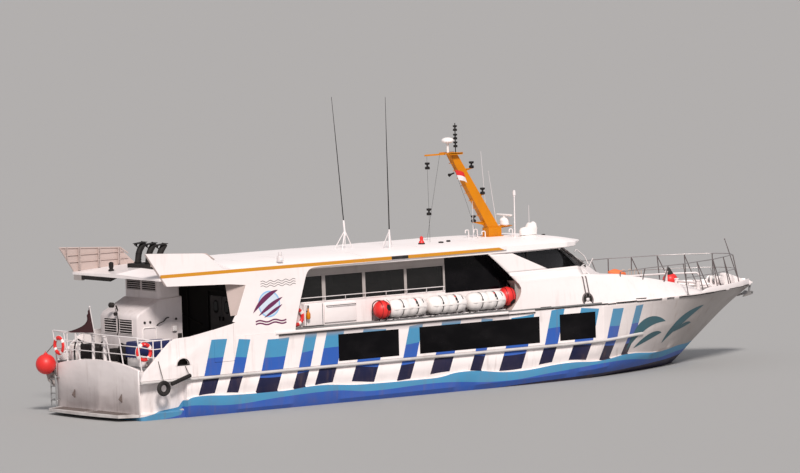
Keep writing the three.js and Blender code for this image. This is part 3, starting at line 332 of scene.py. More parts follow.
def buildSideStripe():
    tree, start, end = makeGroup("side_stripe", [("Color", "Color", (0.8, 0.8, 0.8, 1))],
                                 [("Color", "Color")])
    x, y, z = objectPlace(tree)
    s = fasciaLine
    slant = calc(tree, "MULTIPLY", calc(tree, "SUBTRACT", z, s["low"]), s["taper"])
    inside = product(tree, above(tree, z, s["low"]), below(tree, z, s["high"]), above(tree, x, s["aft"]),
                     below(tree, calc(tree, "ADD", x, slant), s["fore"]),
                     above(tree, calc(tree, "ABSOLUTE", y), s["outside"]))
    dark = product(tree, above(tree, x, s["black"][0]), below(tree, x, s["black"][1]))
    line = mixColor(tree, dark, s["color"], s["blackColor"])
    tree.links.new(mixColor(tree, inside, start.outputs["Color"], line), end.inputs["Color"])
    return tree


sideStripe = buildSideStripe()

# Every finish starts from these values and names only what differs
finishBase = {"livery": False, "stripe": False, "color": (0.86, 0.79, 0.78), "dirt": (0.3, 0.22, 0.18),
              "rough": 0.45, "streaks": 0.0, "patches": 0.3, "low": 0.0, "high": 1, "grime": 0.0,
              "swell": 0.0, "coat": 0.0, "grain": 0.0, "metal": 0.0, "shine": 0.5}
finishes = {
    "hullPaint": {"livery": True, "rough": 0.42, "dirt": (0.2, 0.12, 0.08), "streaks": 0.34, "patches": 0.1,
        "high": 1.5, "grime": 0.18, "swell": 0.05, "coat": 0.04, "shine": 0.3},
    "whitePaint": {"rough": 0.35, "streaks": 0.2, "patches": 0.1, "low": 2.5, "high": 4.0, "grime": 0.06,
        "swell": 0.035, "coat": 0.2},
    "sidePaint": {"stripe": True, "rough": 0.35, "streaks": 0.2, "patches": 0.1, "low": 2.5, "high": 3.4,
        "grime": 0.08, "swell": 0.035, "coat": 0.2},
    # Painted shade: the plating darkened on the wing's inner faces, the opening's slanted jamb and the side
    # deck's end wall
    "innerShadePaint": {"color": (0.48, 0.385, 0.355), "rough": 0.5, "dirt": (0.25, 0.17, 0.14), "streaks": 0.35,
        "low": 2.9, "high": 3.6, "grime": 0.2, "swell": 0.01},
    # Painted shade: white paint darkened for pillars, headers, inner walls and faces that lie in shadow
    "shadePaint": {"color": (0.38, 0.34, 0.325), "rough": 0.5, "dirt": (0.12, 0.1, 0.09), "streaks": 0.25,
        "low": 1.9, "high": 3.4, "grime": 0.2, "swell": 0.02},
    "innerPaint": {"color": (0.018, 0.016, 0.015), "rough": 0.7, "dirt": (0.02, 0.018, 0.016), "streaks": 0.2,
        "low": 1.9, "high": 3.0, "grime": 0.2, "shine": 0.2},
    "deckPaint": {"color": (0.2, 0.2, 0.2), "rough": 0.8, "dirt": (0.07, 0.06, 0.05), "patches": 0.5,
        "grain": 0.6},
    "railGrey": {"color": (0.6, 0.57, 0.56), "rough": 0.5, "dirt": (0.14, 0.1, 0.08), "streaks": 0.2,
        "patches": 0.5, "low": 1.3, "high": 1.6, "grime": 0.3},
    "railWhite": {"color": (0.74, 0.69, 0.69), "rough": 0.4, "dirt": (0.18, 0.1, 0.06), "streaks": 0.15,
        "coat": 0.1},
    "railBare": {"color": (0.42, 0.39, 0.39), "rough": 0.3, "dirt": (0.16, 0.1, 0.07), "streaks": 0.1,
        "patches": 0.35, "metal": 0.85},
    "mastOrange": {"color": (0.6, 0.2, 0.001), "dirt": (0.25, 0.08, 0.02), "streaks": 0.2, "patches": 0.15,
        "low": 5.6, "high": 6.2, "grime": 0.2, "coat": 0.2, "shine": 0.15},
    "stackBlack": {"color": (0.008, 0.007, 0.007), "rough": 0.6, "dirt": (0.06, 0.05, 0.045), "streaks": 0.3,
        "patches": 0.4, "low": 5.4, "high": 5.9, "grime": 0.3, "shine": 0.25},
    "rubberBlack": {"color": (0.012, 0.01, 0.01), "rough": 0.75, "dirt": (0.12, 0.11, 0.1), "streaks": 0.1,
        "patches": 0.35, "grain": 0.3, "shine": 0.3},
    "whitePlastic": {"color": (0.84, 0.79, 0.77), "rough": 0.28, "dirt": (0.3, 0.2, 0.14), "streaks": 0.25,
        "patches": 0.15, "coat": 0.2},
    "buoyRed": {"color": (0.7, 0.022, 0.02), "rough": 0.42, "dirt": (0.2, 0.03, 0.02), "streaks": 0.2,
        "coat": 0.1},
    "navySeat": {"color": (0.02, 0.03, 0.11), "dirt": (0.06, 0.06, 0.08), "patches": 0.2, "grain": 0.3},
    "darkPanel": {"color": (0.02, 0.02, 0.022), "rough": 0.5, "dirt": (0.06, 0.06, 0.06), "patches": 0.2,
        "grain": 0.2},
    "castBronze": {"color": (0.45, 0.28, 0.09), "rough": 0.3, "dirt": (0.12, 0.16, 0.09), "patches": 0.5,
        "metal": 1.0},
    "galvanised": {"color": (0.33, 0.33, 0.33), "rough": 0.5, "dirt": (0.2, 0.1, 0.05), "streaks": 0.1,
        "patches": 0.5, "metal": 0.7},
    "doorPaint": {"color": (0.075, 0.064, 0.062), "rough": 0.5, "dirt": (0.02, 0.018, 0.016), "streaks": 0.2,
        "grain": 0.1},
    "lensGlass": {"color": (0.75, 0.78, 0.8), "rough": 0.1, "dirt": (0.4, 0.4, 0.4), "patches": 0.1,
        "coat": 0.3},
    "railDark": {"color": (0.11, 0.09, 0.09), "rough": 0.4, "dirt": (0.05, 0.03, 0.02), "streaks": 0.1,
        "patches": 0.4, "grain": 0.2},
    "ropeTan": {"color": (0.5, 0.4, 0.34), "rough": 0.9, "dirt": (0.2, 0.13, 0.1), "patches": 0.5,
        "grain": 0.6},
    "jacketOrange": {"color": (0.8, 0.17, 0.05), "rough": 0.7, "dirt": (0.3, 0.1, 0.05), "grain": 0.4},
    "seatBlue": {"color": (0.03, 0.03, 0.3), "rough": 0.5, "dirt": (0.02, 0.02, 0.1), "patches": 0.2,
        "grain": 0.2},
    "partition": {"color": (0.5, 0.44, 0.42), "rough": 0.7, "dirt": (0.2, 0.17, 0.15), "streaks": 0.1,
        "grain": 0.1},
    # Painted shade: white darkened where the canopy shades the air trunk
    "casingShadePaint": {"color": (0.64, 0.58, 0.575), "rough": 0.4, "dirt": (0.22, 0.15, 0.12), "streaks": 0.3,
        "patches": 0.2, "low": 2.0, "high": 2.8, "grime": 0.15, "grain": 0.1},
    "motifTeal": {"color": (0.035, 0.105, 0.13), "dirt": (0.12, 0.1, 0.09), "streaks": 0.2, "patches": 0.2,
        "grain": 0.1},
    "motifBlue": {"color": (0.28, 0.5, 0.75), "dirt": (0.3, 0.3, 0.3), "streaks": 0.1, "patches": 0.1,
        "grain": 0.1},
    "motifPale": {"color": (0.6, 0.68, 0.78), "dirt": (0.3, 0.3, 0.3), "streaks": 0.1, "patches": 0.1,
        "grain": 0.1},
    "motifPlum": {"color": (0.13, 0.015, 0.075), "dirt": (0.2, 0.1, 0.15), "streaks": 0.1, "patches": 0.1,
        "grain": 0.1},
    "motifGrey": {"color": (0.16, 0.14, 0.14), "dirt": (0.2, 0.18, 0.17), "streaks": 0.1, "patches": 0.1,
        "grain": 0.1},
    # Painted light: the same white made lighter on the roof's top
    "roofLitPaint": {"color": (0.93, 0.87, 0.86), "rough": 0.42, "patches": 0.12, "swell": 0.015, "coat": 0.02,
        "grain": 0.05},
    "tarpBlue": {"color": (0.006, 0.012, 0.09), "rough": 0.6, "dirt": (0.05, 0.06, 0.1), "grain": 0.2},
    "flagDark": {"color": (0.045, 0.01, 0.013), "rough": 0.8, "dirt": (0.02, 0.01, 0.01), "patches": 0.4,
        "grain": 0.1},
    "flagRed": {"color": (0.6, 0.02, 0.02), "rough": 0.8, "dirt": (0.3, 0.02, 0.02), "patches": 0.2,
        "grain": 0.1},
    "ropeGrey": {"color": (0.09, 0.075, 0.065), "rough": 0.9, "dirt": (0.03, 0.03, 0.03), "patches": 0.5,
        "grain": 0.6},
    "deckDark": {"color": (0.13, 0.1, 0.09), "rough": 0.85, "dirt": (0.05, 0.04, 0.035), "patches": 0.6,
        "grain": 0.8},
    "engineGreen": {"color": (0.14, 0.2, 0.17), "dirt": (0.04, 0.035, 0.03), "streaks": 0.1, "patches": 0.4,
        "coat": 0.2},
}


def makeFinish(name, values):
    material = bpy.data.materials.new(name)
    material.use_nodes = True
    tree = material.node_tree
    surface = tree.nodes["Principled BSDF"]
    coords = addNode(tree, "TexCoord").outputs["Object"]
    base = values["color"]
    if values["livery"]:
        base = placeGroup(tree, livery, {}).outputs["Color"]
    elif values["stripe"]:
        base = placeGroup(tree, sideStripe, {"Color": base}).outputs["Color"]
    worn = placeGroup(tree, weather,
                      {"Color": base, "Dirt Color": values["dirt"], "Streaks": values["streaks"],
                       "Patches": values["patches"], "Low": values["low"], "High": values["high"],
                       "Grime": values["grime"], "Roughness": values["rough"]})
    tree.links.new(worn.outputs["Color"], surface.inputs["Base Color"])
    tree.links.new(worn.outputs["Roughness"], surface.inputs["Roughness"])
    surface.inputs["Metallic"].default_value = values["metal"]
    surface.inputs["Specular IOR Level"].default_value = values["shine"]
    surface.inputs["Coat Weight"].default_value = values["coat"]
    surface.inputs["Coat Roughness"].default_value = 0.25
    height = calc(tree, "MULTIPLY", worn.outputs["Height"], 0.001 + 0.004 * values["grain"])
    if values["swell"]:
        swell = stretchedNoise(tree, coords, (1.1, 1.1, 1.6), 1.0, 2.0, 0.4)
        height = calc(tree, "ADD", height, calc(tree, "MULTIPLY", swell, values["swell"]))
    bump = addNode(tree, "Bump", {"Height": height, "Strength": 0.6, "Distance": 1.0})
    tree.links.new(bump.outputs["Normal"], surface.inputs["Normal"])
    return material


finish = {name: makeFinish(name, {**finishBase, **values}) for name, values in finishes.items()}


# Black window glass: glossy, with faint panes and painted reflections of the sea as lighter cloudy patches in
# its colour
def makeDarkGlass(name, color, reflectionTint, transmission=0.0):
    material = bpy.data.materials.new(name)
    material.use_nodes = True
    tree = material.node_tree
    surface = tree.nodes["Principled BSDF"]
    coords = addNode(tree, "TexCoord").outputs["Object"]
    reflectionPatches = ramp(tree, stretchedNoise(tree, coords, (0.8, 0.8, 1.4), 1.0, 3.0), 0.45, 0.8)
    tree.links.new(mixColor(tree, reflectionPatches, color, reflectionTint), surface.inputs["Base Color"])
    smear = stretchedNoise(tree, coords, (2.0, 2.0, 5.0), 1.0, 4.0)
    uneven = calc(tree, "MULTIPLY", smear, 0.04 if transmission else 0.12)
    tree.links.new(calc(tree, "ADD", uneven, 0.02), surface.inputs["Roughness"])
    surface.inputs["Transmission Weight"].default_value = transmission
    surface.inputs["IOR"].default_value = 1.45
    surface.inputs["Specular IOR Level"].default_value = 0.1 if transmission else 0.16
    return material


finish["blackGlass"] = makeDarkGlass("blackGlass", (0.0015, 0.0012, 0.002), (0.008, 0.007, 0.008))
finish["clearGlass"] = makeDarkGlass("clearGlass", (0.1, 0.095, 0.095), (0.06, 0.055, 0.055), 0.95)
finish["bridgeGlass"] = makeDarkGlass("bridgeGlass", (0.06, 0.06, 0.065), (0.035, 0.035, 0.04), 0.9)
print("finishes made:", len(finish))

# Mesh helpers

# A piece under construction: points, faces and the finish number of each face
def newShape():
    return {"points": [], "faces": [], "tones": [], "tone": 0}


def addFaces(shape, points, faces):
    base = len(shape["points"])
    shape["points"].extend(tuple(p) for p in points)
    shape["faces"].extend(tuple(base + i for i in face) for face in faces)
    shape["tones"].extend([shape["tone"]] * len(faces))


def tone(shape, number):
    shape["tone"] = number
    return shape


# Closed rings of like count joined into a solid, with its ends filled or the last ring joined to the first
def addLoft(shape, rings, closedAlong=False):
    count = len(rings[0])
    faces = []
    for r in range(len(rings) if closedAlong else len(rings) - 1):
        nextRing = (r + 1) % len(rings)
        for i in range(count):
            j = (i + 1) % count
            faces.append((r * count + i, r * count + j, nextRing * count + j, nextRing * count + i))
    if not closedAlong:
        faces.append(tuple(reversed(range(count))))
        faces.append(tuple((len(rings) - 1) * count + i for i in range(count)))
    addFaces(shape, [p for ring in rings for p in ring], faces)


# Rows of points joined into a skin that faces one way on each side of the boat
def addGrid(shape, rows, side=-1):
    count = len(rows[0])
    faces = [(r * count + i, r * count + i + 1, (r + 1) * count + i + 1, (r + 1) * count + i)
             for r in range(len(rows) - 1) for i in range(count - 1)]
    addFaces(shape, [p for row in rows for p in row],
             faces if side < 0 else [tuple(reversed(f)) for f in faces])


def turnPoints(count):
    return [(math.cos(2 * math.pi * k / count), math.sin(2 * math.pi * k / count)) for k in range(count)]


def spread(low, high, count):
    return [low + (high - low) * k / (count - 1) for k in range(count)]


def addPrism(shape, outline, axis, low, high):
    def place(p, level):
        whole = list(p)
        whole.insert(axis, level)
        return whole
    addLoft(shape, [[place(p, level) for p in outline] for level in (low, high)])


def addBox(shape, low, high):
    (x0, y0, z0), (x1, y1, z1) = low, high
    addPrism(shape, [(x0, y0), (x1, y0), (x1, y1), (x0, y1)], 2, z0, z1)


# A box given by its ranges, with breadths that count outward on either side of the boat
def addSideBox(shape, side, xs, ys, zs, radius=0.0, steps=3):
    y0, y1 = sorted((side * ys[0], side * ys[1]))
    low, high = (xs[0], y0, zs[0]), (xs[1], y1, zs[1])
    if radius:
        addSoftBox(shape, low, high, radius, steps)
    else:
        addBox(shape, low, high)


# A box with its corners cut round along all twelve edges
def addSoftBox(shape, low, high, radius=0.02, steps=3):
    low, high = Vector(low), Vector(high)
    radius = min(radius, min(high - low) * 0.49)
    rings = []
    angles = [math.pi / 2 * k / steps for k in range(steps + 1)]
    levels = [(low.z + radius - radius * math.cos(a), radius - radius * math.sin(a)) for a in angles]
    levels += [(high.z - radius + radius * math.cos(a), radius - radius * math.sin(a))
               for a in reversed(angles)]
    for level, inset in levels:
        ring = []
        for cx, cy, turn in ((high.x, high.y, 0), (low.x, high.y, 1), (low.x, low.y, 2), (high.x, low.y, 3)):
            sx = 1 if cx == high.x else -1
            sy = 1 if cy == high.y else -1
            reach = radius - inset
            for a in angles:
                angle = a + turn * math.pi / 2
                ring.append((cx - sx * radius + reach * math.cos(angle),
                             cy - sy * radius + reach * math.sin(angle), level))
        rings.append(ring)
    addLoft(shape, rings)


def frameAlong(path, closed=False):
    frames = []
    side = None
    count = len(path)
    for i, point in enumerate(path):
        ahead = path[(i + 1) % count] if closed or i + 1 < count else point
        behind = path[i - 1] if closed or i > 0 else point
        run = (ahead - behind).normalized()
        if side is None:
            side = run.cross(Vector((0, 0, 1)))
            if side.length < 0.05:
                side = run.cross(Vector((0, 1, 0)))
        side = (side - run * side.dot(run)).normalized()
        frames.append((point, side, run.cross(side).normalized()))
    return frames


# A round bar along a path; radius is one number or one for each point
def addTube(shape, path, radius, sides=10, closed=False):
    path = [Vector(p) for p in path]
    radii = radius if isinstance(radius, (list, tuple)) else [radius] * len(path)
    rings = []
    for (point, side, up), r in zip(frameAlong(path, closed), radii):
        rings.append([point + side * (r * c) + up * (r * s) for c, s in turnPoints(sides)])
    addLoft(shape, rings, closed)


def rounded(points, radius, steps=4, closed=False):
    points = [Vector(p) for p in points]
    count = len(points)
    path = [] if closed else [points[0]]
    for i in (range(count) if closed else range(1, count - 1)):
        before, here, after = points[i - 1], points[i], points[(i + 1) % count]
        reach = min(radius, (before - here).length * 0.45, (after - here).length * 0.45)
        a, b = here + (before - here).normalized() * reach, here + (after - here).normalized() * reach
        for k in range(steps + 1):
            t = k / steps
            path.append(a * (1 - t) ** 2 + here * (2 * t * (1 - t)) + b * t ** 2)
    return path if closed else path + [points[-1]]


# A turned piece: (radius, along) pairs round an axis from origin in direction
def addLathe(shape, profile, origin, direction=(0, 0, 1), sides=24):
    direction = Vector(direction).normalized()
    side = direction.orthogonal().normalized()
    if abs(direction.z) < 0.9:
        side = direction.cross(Vector((0, 0, 1))).normalized()
    up = direction.cross(side)
    rings = []
    for r, along in profile:
        r = max(r, 0.0005)
        centre = Vector(origin) + direction * along
        rings.append([centre + side * (r * c) + up * (r * s) for c, s in turnPoints(sides)])
    addLoft(shape, rings)


def addBall(shape, centre, radius, sides=28, squash=(1, 1, 1)):
    rows = sides // 2
    x, y, z = centre
    wide, deep, high = (radius * value for value in squash)
    rings = []
    for i in range(rows + 1):
        a = math.pi * i / rows
        r = max(math.sin(a), 0.004)
        rings.append([(x + wide * r * c, y + deep * r * s, z - high * math.cos(a))
                      for c, s in turnPoints(sides)])
    addLoft(shape, rings)


def addRing(shape, centre, radius, thick, normal, sides=36, tubeSides=12, squash=1.0):
    normal = Vector(normal).normalized()
    a = normal.orthogonal().normalized()
    b = normal.cross(a)
    centre = Vector(centre)
    rings = []
    for cosine, sine in turnPoints(sides):
        out = a * cosine + b * sine
        rings.append([centre + out * (radius + thick * c) + normal * (thick * squash * s)
                      for c, s in turnPoints(tubeSides)])
    addLoft(shape, rings, True)


def mirrored(points):
    return [(p[0], -p[1], p[2]) for p in points]


# Makes the mesh object of a shape: outward faces, rounded edges, smooth shading under the angle
def makePiece(name, shape, finishNames, body="boat", replaces=None, bevel=0.0, smooth=38,
              segments=2):
    mesh = bpy.data.meshes.new(name)
    mesh.from_pydata(shape["points"], [], shape["faces"])
    for finishName in finishNames:
        mesh.materials.append(finish[finishName])
    for polygon, number in zip(mesh.polygons, shape["tones"]):
        polygon.material_index = number
    work = bmesh.new()
    work.from_mesh(mesh)
    bmesh.ops.remove_doubles(work, verts=work.verts, dist=1e-6)
    bmesh.ops.recalc_face_normals(work, faces=work.faces)
    work.to_mesh(mesh)
    work.free()
    return placePiece(name, mesh, body, replaces, bevel, smooth, segments)


def placePiece(name, mesh, body, replaces, bevel, smooth, segments=2):
    mesh.shade_smooth()
    mesh.set_sharp_from_angle(angle=math.radians(smooth))
    item = bpy.data.objects.new(name, mesh)
    bpy.context.scene.collection.objects.link(item)
    if bevel:
        rim = item.modifiers.new("edges", "BEVEL")
        rim.width, rim.segments, rim.limit_method = bevel, segments, "ANGLE"
        rim.angle_limit = math.radians(smooth)
    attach(item, body)
    if replaces:
        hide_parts(replaces)
    return item


# A CAD node's mesh with its points merged, changed by the given step and in one finish
def copyNode(node, finishName, change):
    mesh = frame["nodes"][node].data.copy()
    work = bmesh.new()
    work.from_mesh(mesh)
    bmesh.ops.remove_doubles(work, verts=work.verts, dist=2e-5)
    change(work)
    work.to_mesh(mesh)
    work.free()
    mesh.materials.clear()
    mesh.materials.append(finish[finishName])
    for polygon in mesh.polygons:
        polygon.material_index = 0
    return mesh


def joinFlatFaces(work):
    bmesh.ops.dissolve_limit(work, angle_limit=math.radians(0.6), verts=work.verts, edges=work.edges)
    bmesh.ops.recalc_face_normals(work, faces=work.faces)


# Finish, slot and edge radius of the CAD nodes that keep their own shape
dressing = {
    "aft_deck": ("deckPaint", "deck_grey", 0.006), "engine_hatch": ("deckPaint", "deck_grey", 0.008),
    "upper_deck": ("deckPaint", "deck_grey", 0.006), "aft_bulkhead": ("innerPaint", "inner_paint", 0.004),
    "aft_canopy": ("whitePaint", "white_paint", 0.01), "foredeck_hatch": ("whitePaint", "white_paint", 0.012),
    "wheelhouse_glass": ("bridgeGlass", "clear_glass", 0.0), "helm": ("darkPanel", "dark_panel", 0.01),
    "seats_lower": ("navySeat", "seat_shell", 0.01), "seats_upper": ("navySeat", "seat_shell", 0.01),
    "engines": ("engineGreen", "machinery", 0.02),
}
sideDressing = {
    "topside": ("hullPaint", "white_paint", 0.008), "main_glass": ("blackGlass", "dark_glass", 0.003),
    "boarding_gate": ("hullPaint", "white_paint", 0.008), "aft_door": ("doorPaint", "inner_paint", 0.008),
    "shaft_gear": ("castBronze", "bronze", 0.01), "propeller": ("castBronze", "bronze", 0.008),
    "rudder": ("hullPaint", "hull_paint", 0.012),
}
bothSides = ((-1, "stbd"), (1, "port"))
for _, label in bothSides:
    dressing.update({f"{node}_{label}": values for node, values in sideDressing.items()})


def dressNodes():
    for node, (finishName, slot, bevel) in dressing.items():
        mesh = copyNode(node, finishName, joinFlatFaces)
        placePiece(node + "_skin", mesh, frame["nodes"][node]["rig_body"], node, bevel, 32)


# Hull

# Heights of the after deck's top and of the foredeck's
aftDeck, foreDeck = 1.95, 2.875

# Stations: place along the boat, keel, chine, knee and sheer of the starboard half
hullLines = {
    "x": [-15.55, -9.0, 0.0, 5.0, 8.1, 10.0, 11.5, 13.0, 14.5, 15.58],
    "keel": [-0.8, -1.05, -1.25, -1.25, -1.15, -0.9, -0.06, 1.06, 2.13, 2.76],
    "chineY": [2.8, 2.84, 2.84, 2.68, 2.13, 1.56, 0.96, 0.43, 0.19, 0.03],
    "chineZ": [-0.2, -0.18, -0.12, 0.0, 0.25, 0.48, 0.76, 1.5, 2.3, 2.775],
    "kneeY": [3.05, 3.08, 3.08, 3.08, 2.8, 2.31, 1.75, 1.06, 0.45, 0.05],
    "kneeZ": [1.49, 1.49, 1.49, 1.49, 1.62, 1.72, 1.83, 2.15, 2.56, 2.8],
    "sheerY": [3.08, 3.08, 3.08, 3.08, 3.0, 2.755, 2.37, 1.76, 0.93, 0.1],
}
hullForm = {"top": foreDeck, "cornerRadius": 0.26, "stepX": -13.58, "recess": 0.2, "recessTop": 1.4,
            "recessFoot": 0.24, "railReach": 0.12, "stations": 100, "transomTop": 1.8, "transomCrown": 0.34,
            "bowFrom": 5.86}


# Smooth curve through a table's points that never overshoots them
def curveAt(xs, ys, x):
    if x <= xs[0]:
        return ys[0]
    if x >= xs[-1]:
        return ys[-1]
    steps = [(ys[i + 1] - ys[i]) / (xs[i + 1] - xs[i]) for i in range(len(xs) - 1)]
    slopes = [steps[0]] + [
        0.0 if a * b <= 0 else 2 * a * b / (a + b) for a, b in zip(steps, steps[1:])
    ] + [steps[-1]]
    i = max(k for k in range(len(xs) - 1) if xs[k] <= x)
    width = xs[i + 1] - xs[i]
    t = (x - xs[i]) / width
    return (ys[i] * (1 + 2 * t) * (1 - t) ** 2 + slopes[i] * width * t * (1 - t) ** 2
            + ys[i + 1] * t * t * (3 - 2 * t) + slopes[i + 1] * width * t * t * (t - 1))


def hullAt(x):
    return {key: curveAt(hullLines["x"], values, x) for key, values in hullLines.items() if key != "x"}


def bandTopAt(name, x):
    return curveAt([p[0] for p in bands[name]], [p[1] for p in bands[name]], x)


def easedStep(value, low, high):
    t = min(max((value - low) / (high - low), 0.0), 1.0)
    return t * t * (3 - 2 * t)


# Half-breadth lost to the round corner where the side turns into the transom
def cornerLoss(x):
    r = hullForm["cornerRadius"]
    run = x - hullLines["x"][0]
    return 0.0 if run >= r else r - math.sqrt(max(r * r - (r - run) ** 2, 0.0))


# Half-breadth of the painted surface at a place and height
def sideAt(x, z):
    s = hullAt(x)
    if z >= s["kneeZ"]:
        t = min((z - s["kneeZ"]) / max(hullForm["top"] - s["kneeZ"], 0.01), 1.0)
        return s["kneeY"] + (s["sheerY"] - s["kneeY"]) * t
    t = (z - s["chineZ"]) / (s["kneeZ"] - s["chineZ"])
    return s["chineY"] + (s["kneeY"] - s["chineY"]) * t


def lowerSection(x):
    s = hullAt(x)
    rise = s["kneeZ"] - s["chineZ"]
    proud = hullForm["railReach"] * (1 - easedStep(x, 7.0, 11.0))
    top = max(min(bandTopAt("teal", x), s["kneeZ"] - 0.08 * rise),
              s["chineZ"] + 0.5 * rise * easedStep(x, 8.0, 12.0))
    low = min(s["chineZ"] + 0.33, s["chineZ"] + 0.3 * rise)
    mid = low + (top - low) * 0.82
    if x < hullForm["stepX"]:
        cut = hullForm["recess"]
        zs = [low, hullForm["recessFoot"], hullForm["recessFoot"] + 0.05, hullForm["recessTop"],
              hullForm["recessTop"] + 0.04]
        out = [0.0, 0.0, -cut, -cut, 0.0]
    else:
        zs = [low, mid, top, top + 0.02 * rise, top + 0.3 * (s["kneeZ"] - top)]
        out = [proud * 1.3, proud, proud * 0.8, 0.0, 0.0]
    loss = cornerLoss(x)
    points = [(0.0, s["keel"]), (s["chineY"] - loss, s["chineZ"])]
    points += [(sideAt(x, z) + o - loss, z) for z, o in zip(zs, out)]
    return points + [(s["kneeY"] - loss, s["kneeZ"])]


def bowSection(x):
    s = hullAt(x)
    zs = [s["kneeZ"] + (hullForm["top"] - s["kneeZ"]) * k / 10 for k in range(1, 11)]
    return lowerSection(x) + [(sideAt(x, z), z) for z in zs]


# Open strips of a section carried along the boat, with the mirror image
def addSkin(shape, stations, section):
    for side in (-1, 1):
        rows = [[(x, side * max(y, 0.0), z) for y, z in section(x)] for x in stations]
        count = len(rows[0])
        faces = [(r * count + i, (r + 1) * count + i, (r + 1) * count + i + 1, r * count + i + 1)
                 for r in range(len(rows) - 1) for i in range(count - 1)]
        addFaces(shape, [p for row in rows for p in row], faces)


def transomTopAt(y):
    return hullForm["transomTop"] + hullForm["transomCrown"] * (1 - (abs(y) / 3.05) ** 2)


# The painted skin: bottom and sides, the round-cornered transom and the flared bow
def buildHullSkin():
    shape = newShape()
    aft, step, r = hullLines["x"][0], hullForm["stepX"], hullForm["cornerRadius"]
    corner = [(r * (1 - math.cos(a)), r * math.sin(a)) for a in (math.pi / 2 * k / 8 for k in range(9))]
    end = [aft + run for run, _ in corner]
    stations = end + spread(end[-1] + 0.05, step - 0.012, 12) + [step + 0.012]
    addSkin(shape, stations + spread(step + 0.2, hullForm["bowFrom"], hullForm["stations"]), lowerSection)
    addSkin(shape, spread(hullForm["bowFrom"], hullLines["x"][-1], 70), bowSection)
    # transom: upright strips up to the crowned top, over it and down to the deck
    half = max(y for y, z in lowerSection(aft))
    across = [(half * t, transomTopAt(half * t), t) for t in spread(-1.0, 1.0, 41)]
    addGrid(shape, [[(aft, y, -0.8 + 0.6 * abs(t)) for y, top, t in across],
                    [(aft, y, top) for y, top, t in across], [(aft + 0.15, y, top) for y, top, t in across],
                    [(aft + 0.15, y, 1.9) for y, top, t in across]])
    # the round corners between transom and sides, from the knee to the crowned top
    top = transomTopAt(half) - 0.02
    for side in (-1, 1):
        points = [(aft + run, side * (half + out), z) for z in (1.4, top) for run, out in corner]
        faces = [(i, i + 1, 9 + i + 1, 9 + i) for i in range(8)] + [(9 + i, 9 + i + 1, 18) for i in range(8)]
        addFaces(shape, points + [(aft + 0.3, side * half, top)], faces)
    item = makePiece("hull_skin", shape, ["hullPaint"], replaces="hull", smooth=28)
    thick = item.modifiers.new("plate", "SOLIDIFY")
    thick.thickness, thick.offset = 0.012, -1.0


# How far the CAD hull's outer faces are drawn in under the skin, from the quarter to the stem
drawn = {"quarter": 0.33, "side": 0.07, "bow": 0.13, "bottom": 0.08, "transom": 0.05, "stem": 0.12}


# Everything inside the skin: the CAD hull's own shape with its outer faces drawn in
def drawIn(work):
    for vert in work.verts:
        x, y, z = vert.co
        s = hullAt(min(max(x, hullLines["x"][0]), 15.5))
        saloonWall = x < 5.95 and abs(y) < 2.98 and z > 0.65
        if abs(y) > s["chineY"] - 0.02 and not saloonWall:
            inward = drawn["quarter"] if x < -13.4 else drawn["side"]
            vert.co.y = y - math.copysign(inward if x < 6.5 else min(drawn["bow"], abs(y)), y)
        if z < 0.0:
            vert.co.z += drawn["bottom"]
        if x < -15.5:
            vert.co.x += drawn["transom"]
            if z > 1.7:
                vert.co.z = min(z, transomTopAt(y) - 0.02)
        if x > 14.0:
            vert.co.x -= drawn["stem"]


buildHullSkin()
# the hull's inner faces in painted shade
placePiece("hull_inside", copyNode("hull", "shadePaint", drawIn), "boat", None, 0.0, 25)
print("hull made")

rubRail = {"x": [-15.7, 3.0, 5.9, 8.1], "z": [1.43, 1.43, 1.455, 1.575], "breadth": 3.08, "reach": 0.085,
           "half": 0.062}


# Half-round rail along the knee, from the stern wing to the bow
def buildRubRails():
    for side, label in bothSides:
        shape = newShape()
        rings = []
        stations = [-15.69, -15.66, *spread(-15.6, 8.0, 70), 8.06, 8.09]
        for k, x in enumerate(stations):
            z = curveAt(rubRail["x"], rubRail["z"], x)
            base = rubRail["breadth"] if x < 5.0 else sideAt(x, hullAt(x)["kneeZ"] - 0.02)
            thinning = 1 - 0.75 * easedStep(x, 6.8, 8.1)
            out = rubRail["reach"] * thinning * (0.5 if k in (0, len(stations) - 1) else 1)
            ring = [(x, side * (base - 0.05), z - rubRail["half"])]
            ring += [(x, side * (base + out * math.cos(a)), z + 0.06 * math.sin(a))
                     for a in (math.radians(v) for v in range(-80, 81, 20))]
            ring.append((x, side * (base - 0.05), z + rubRail["half"]))
            rings.append(ring)
        addLoft(shape, rings)
        makePiece(f"rub_rail_{label}_bar", shape, ["railGrey"], replaces=f"rub_rail_{label}",
                  smooth=40)


buildRubRails()


# Runs along the deck's edge, each from its aft end to its fore end; the rubber is torn forward of one place
deckEdge = {"lip": (-9.55, 1.35), "rubber": (-9.4, 15.35), "shortest": 0.15, "torn": 1.4,
            "waterway": (5.8, 15.45), "toeRail": (11.0, 15.5), "toeHeight": 0.2}


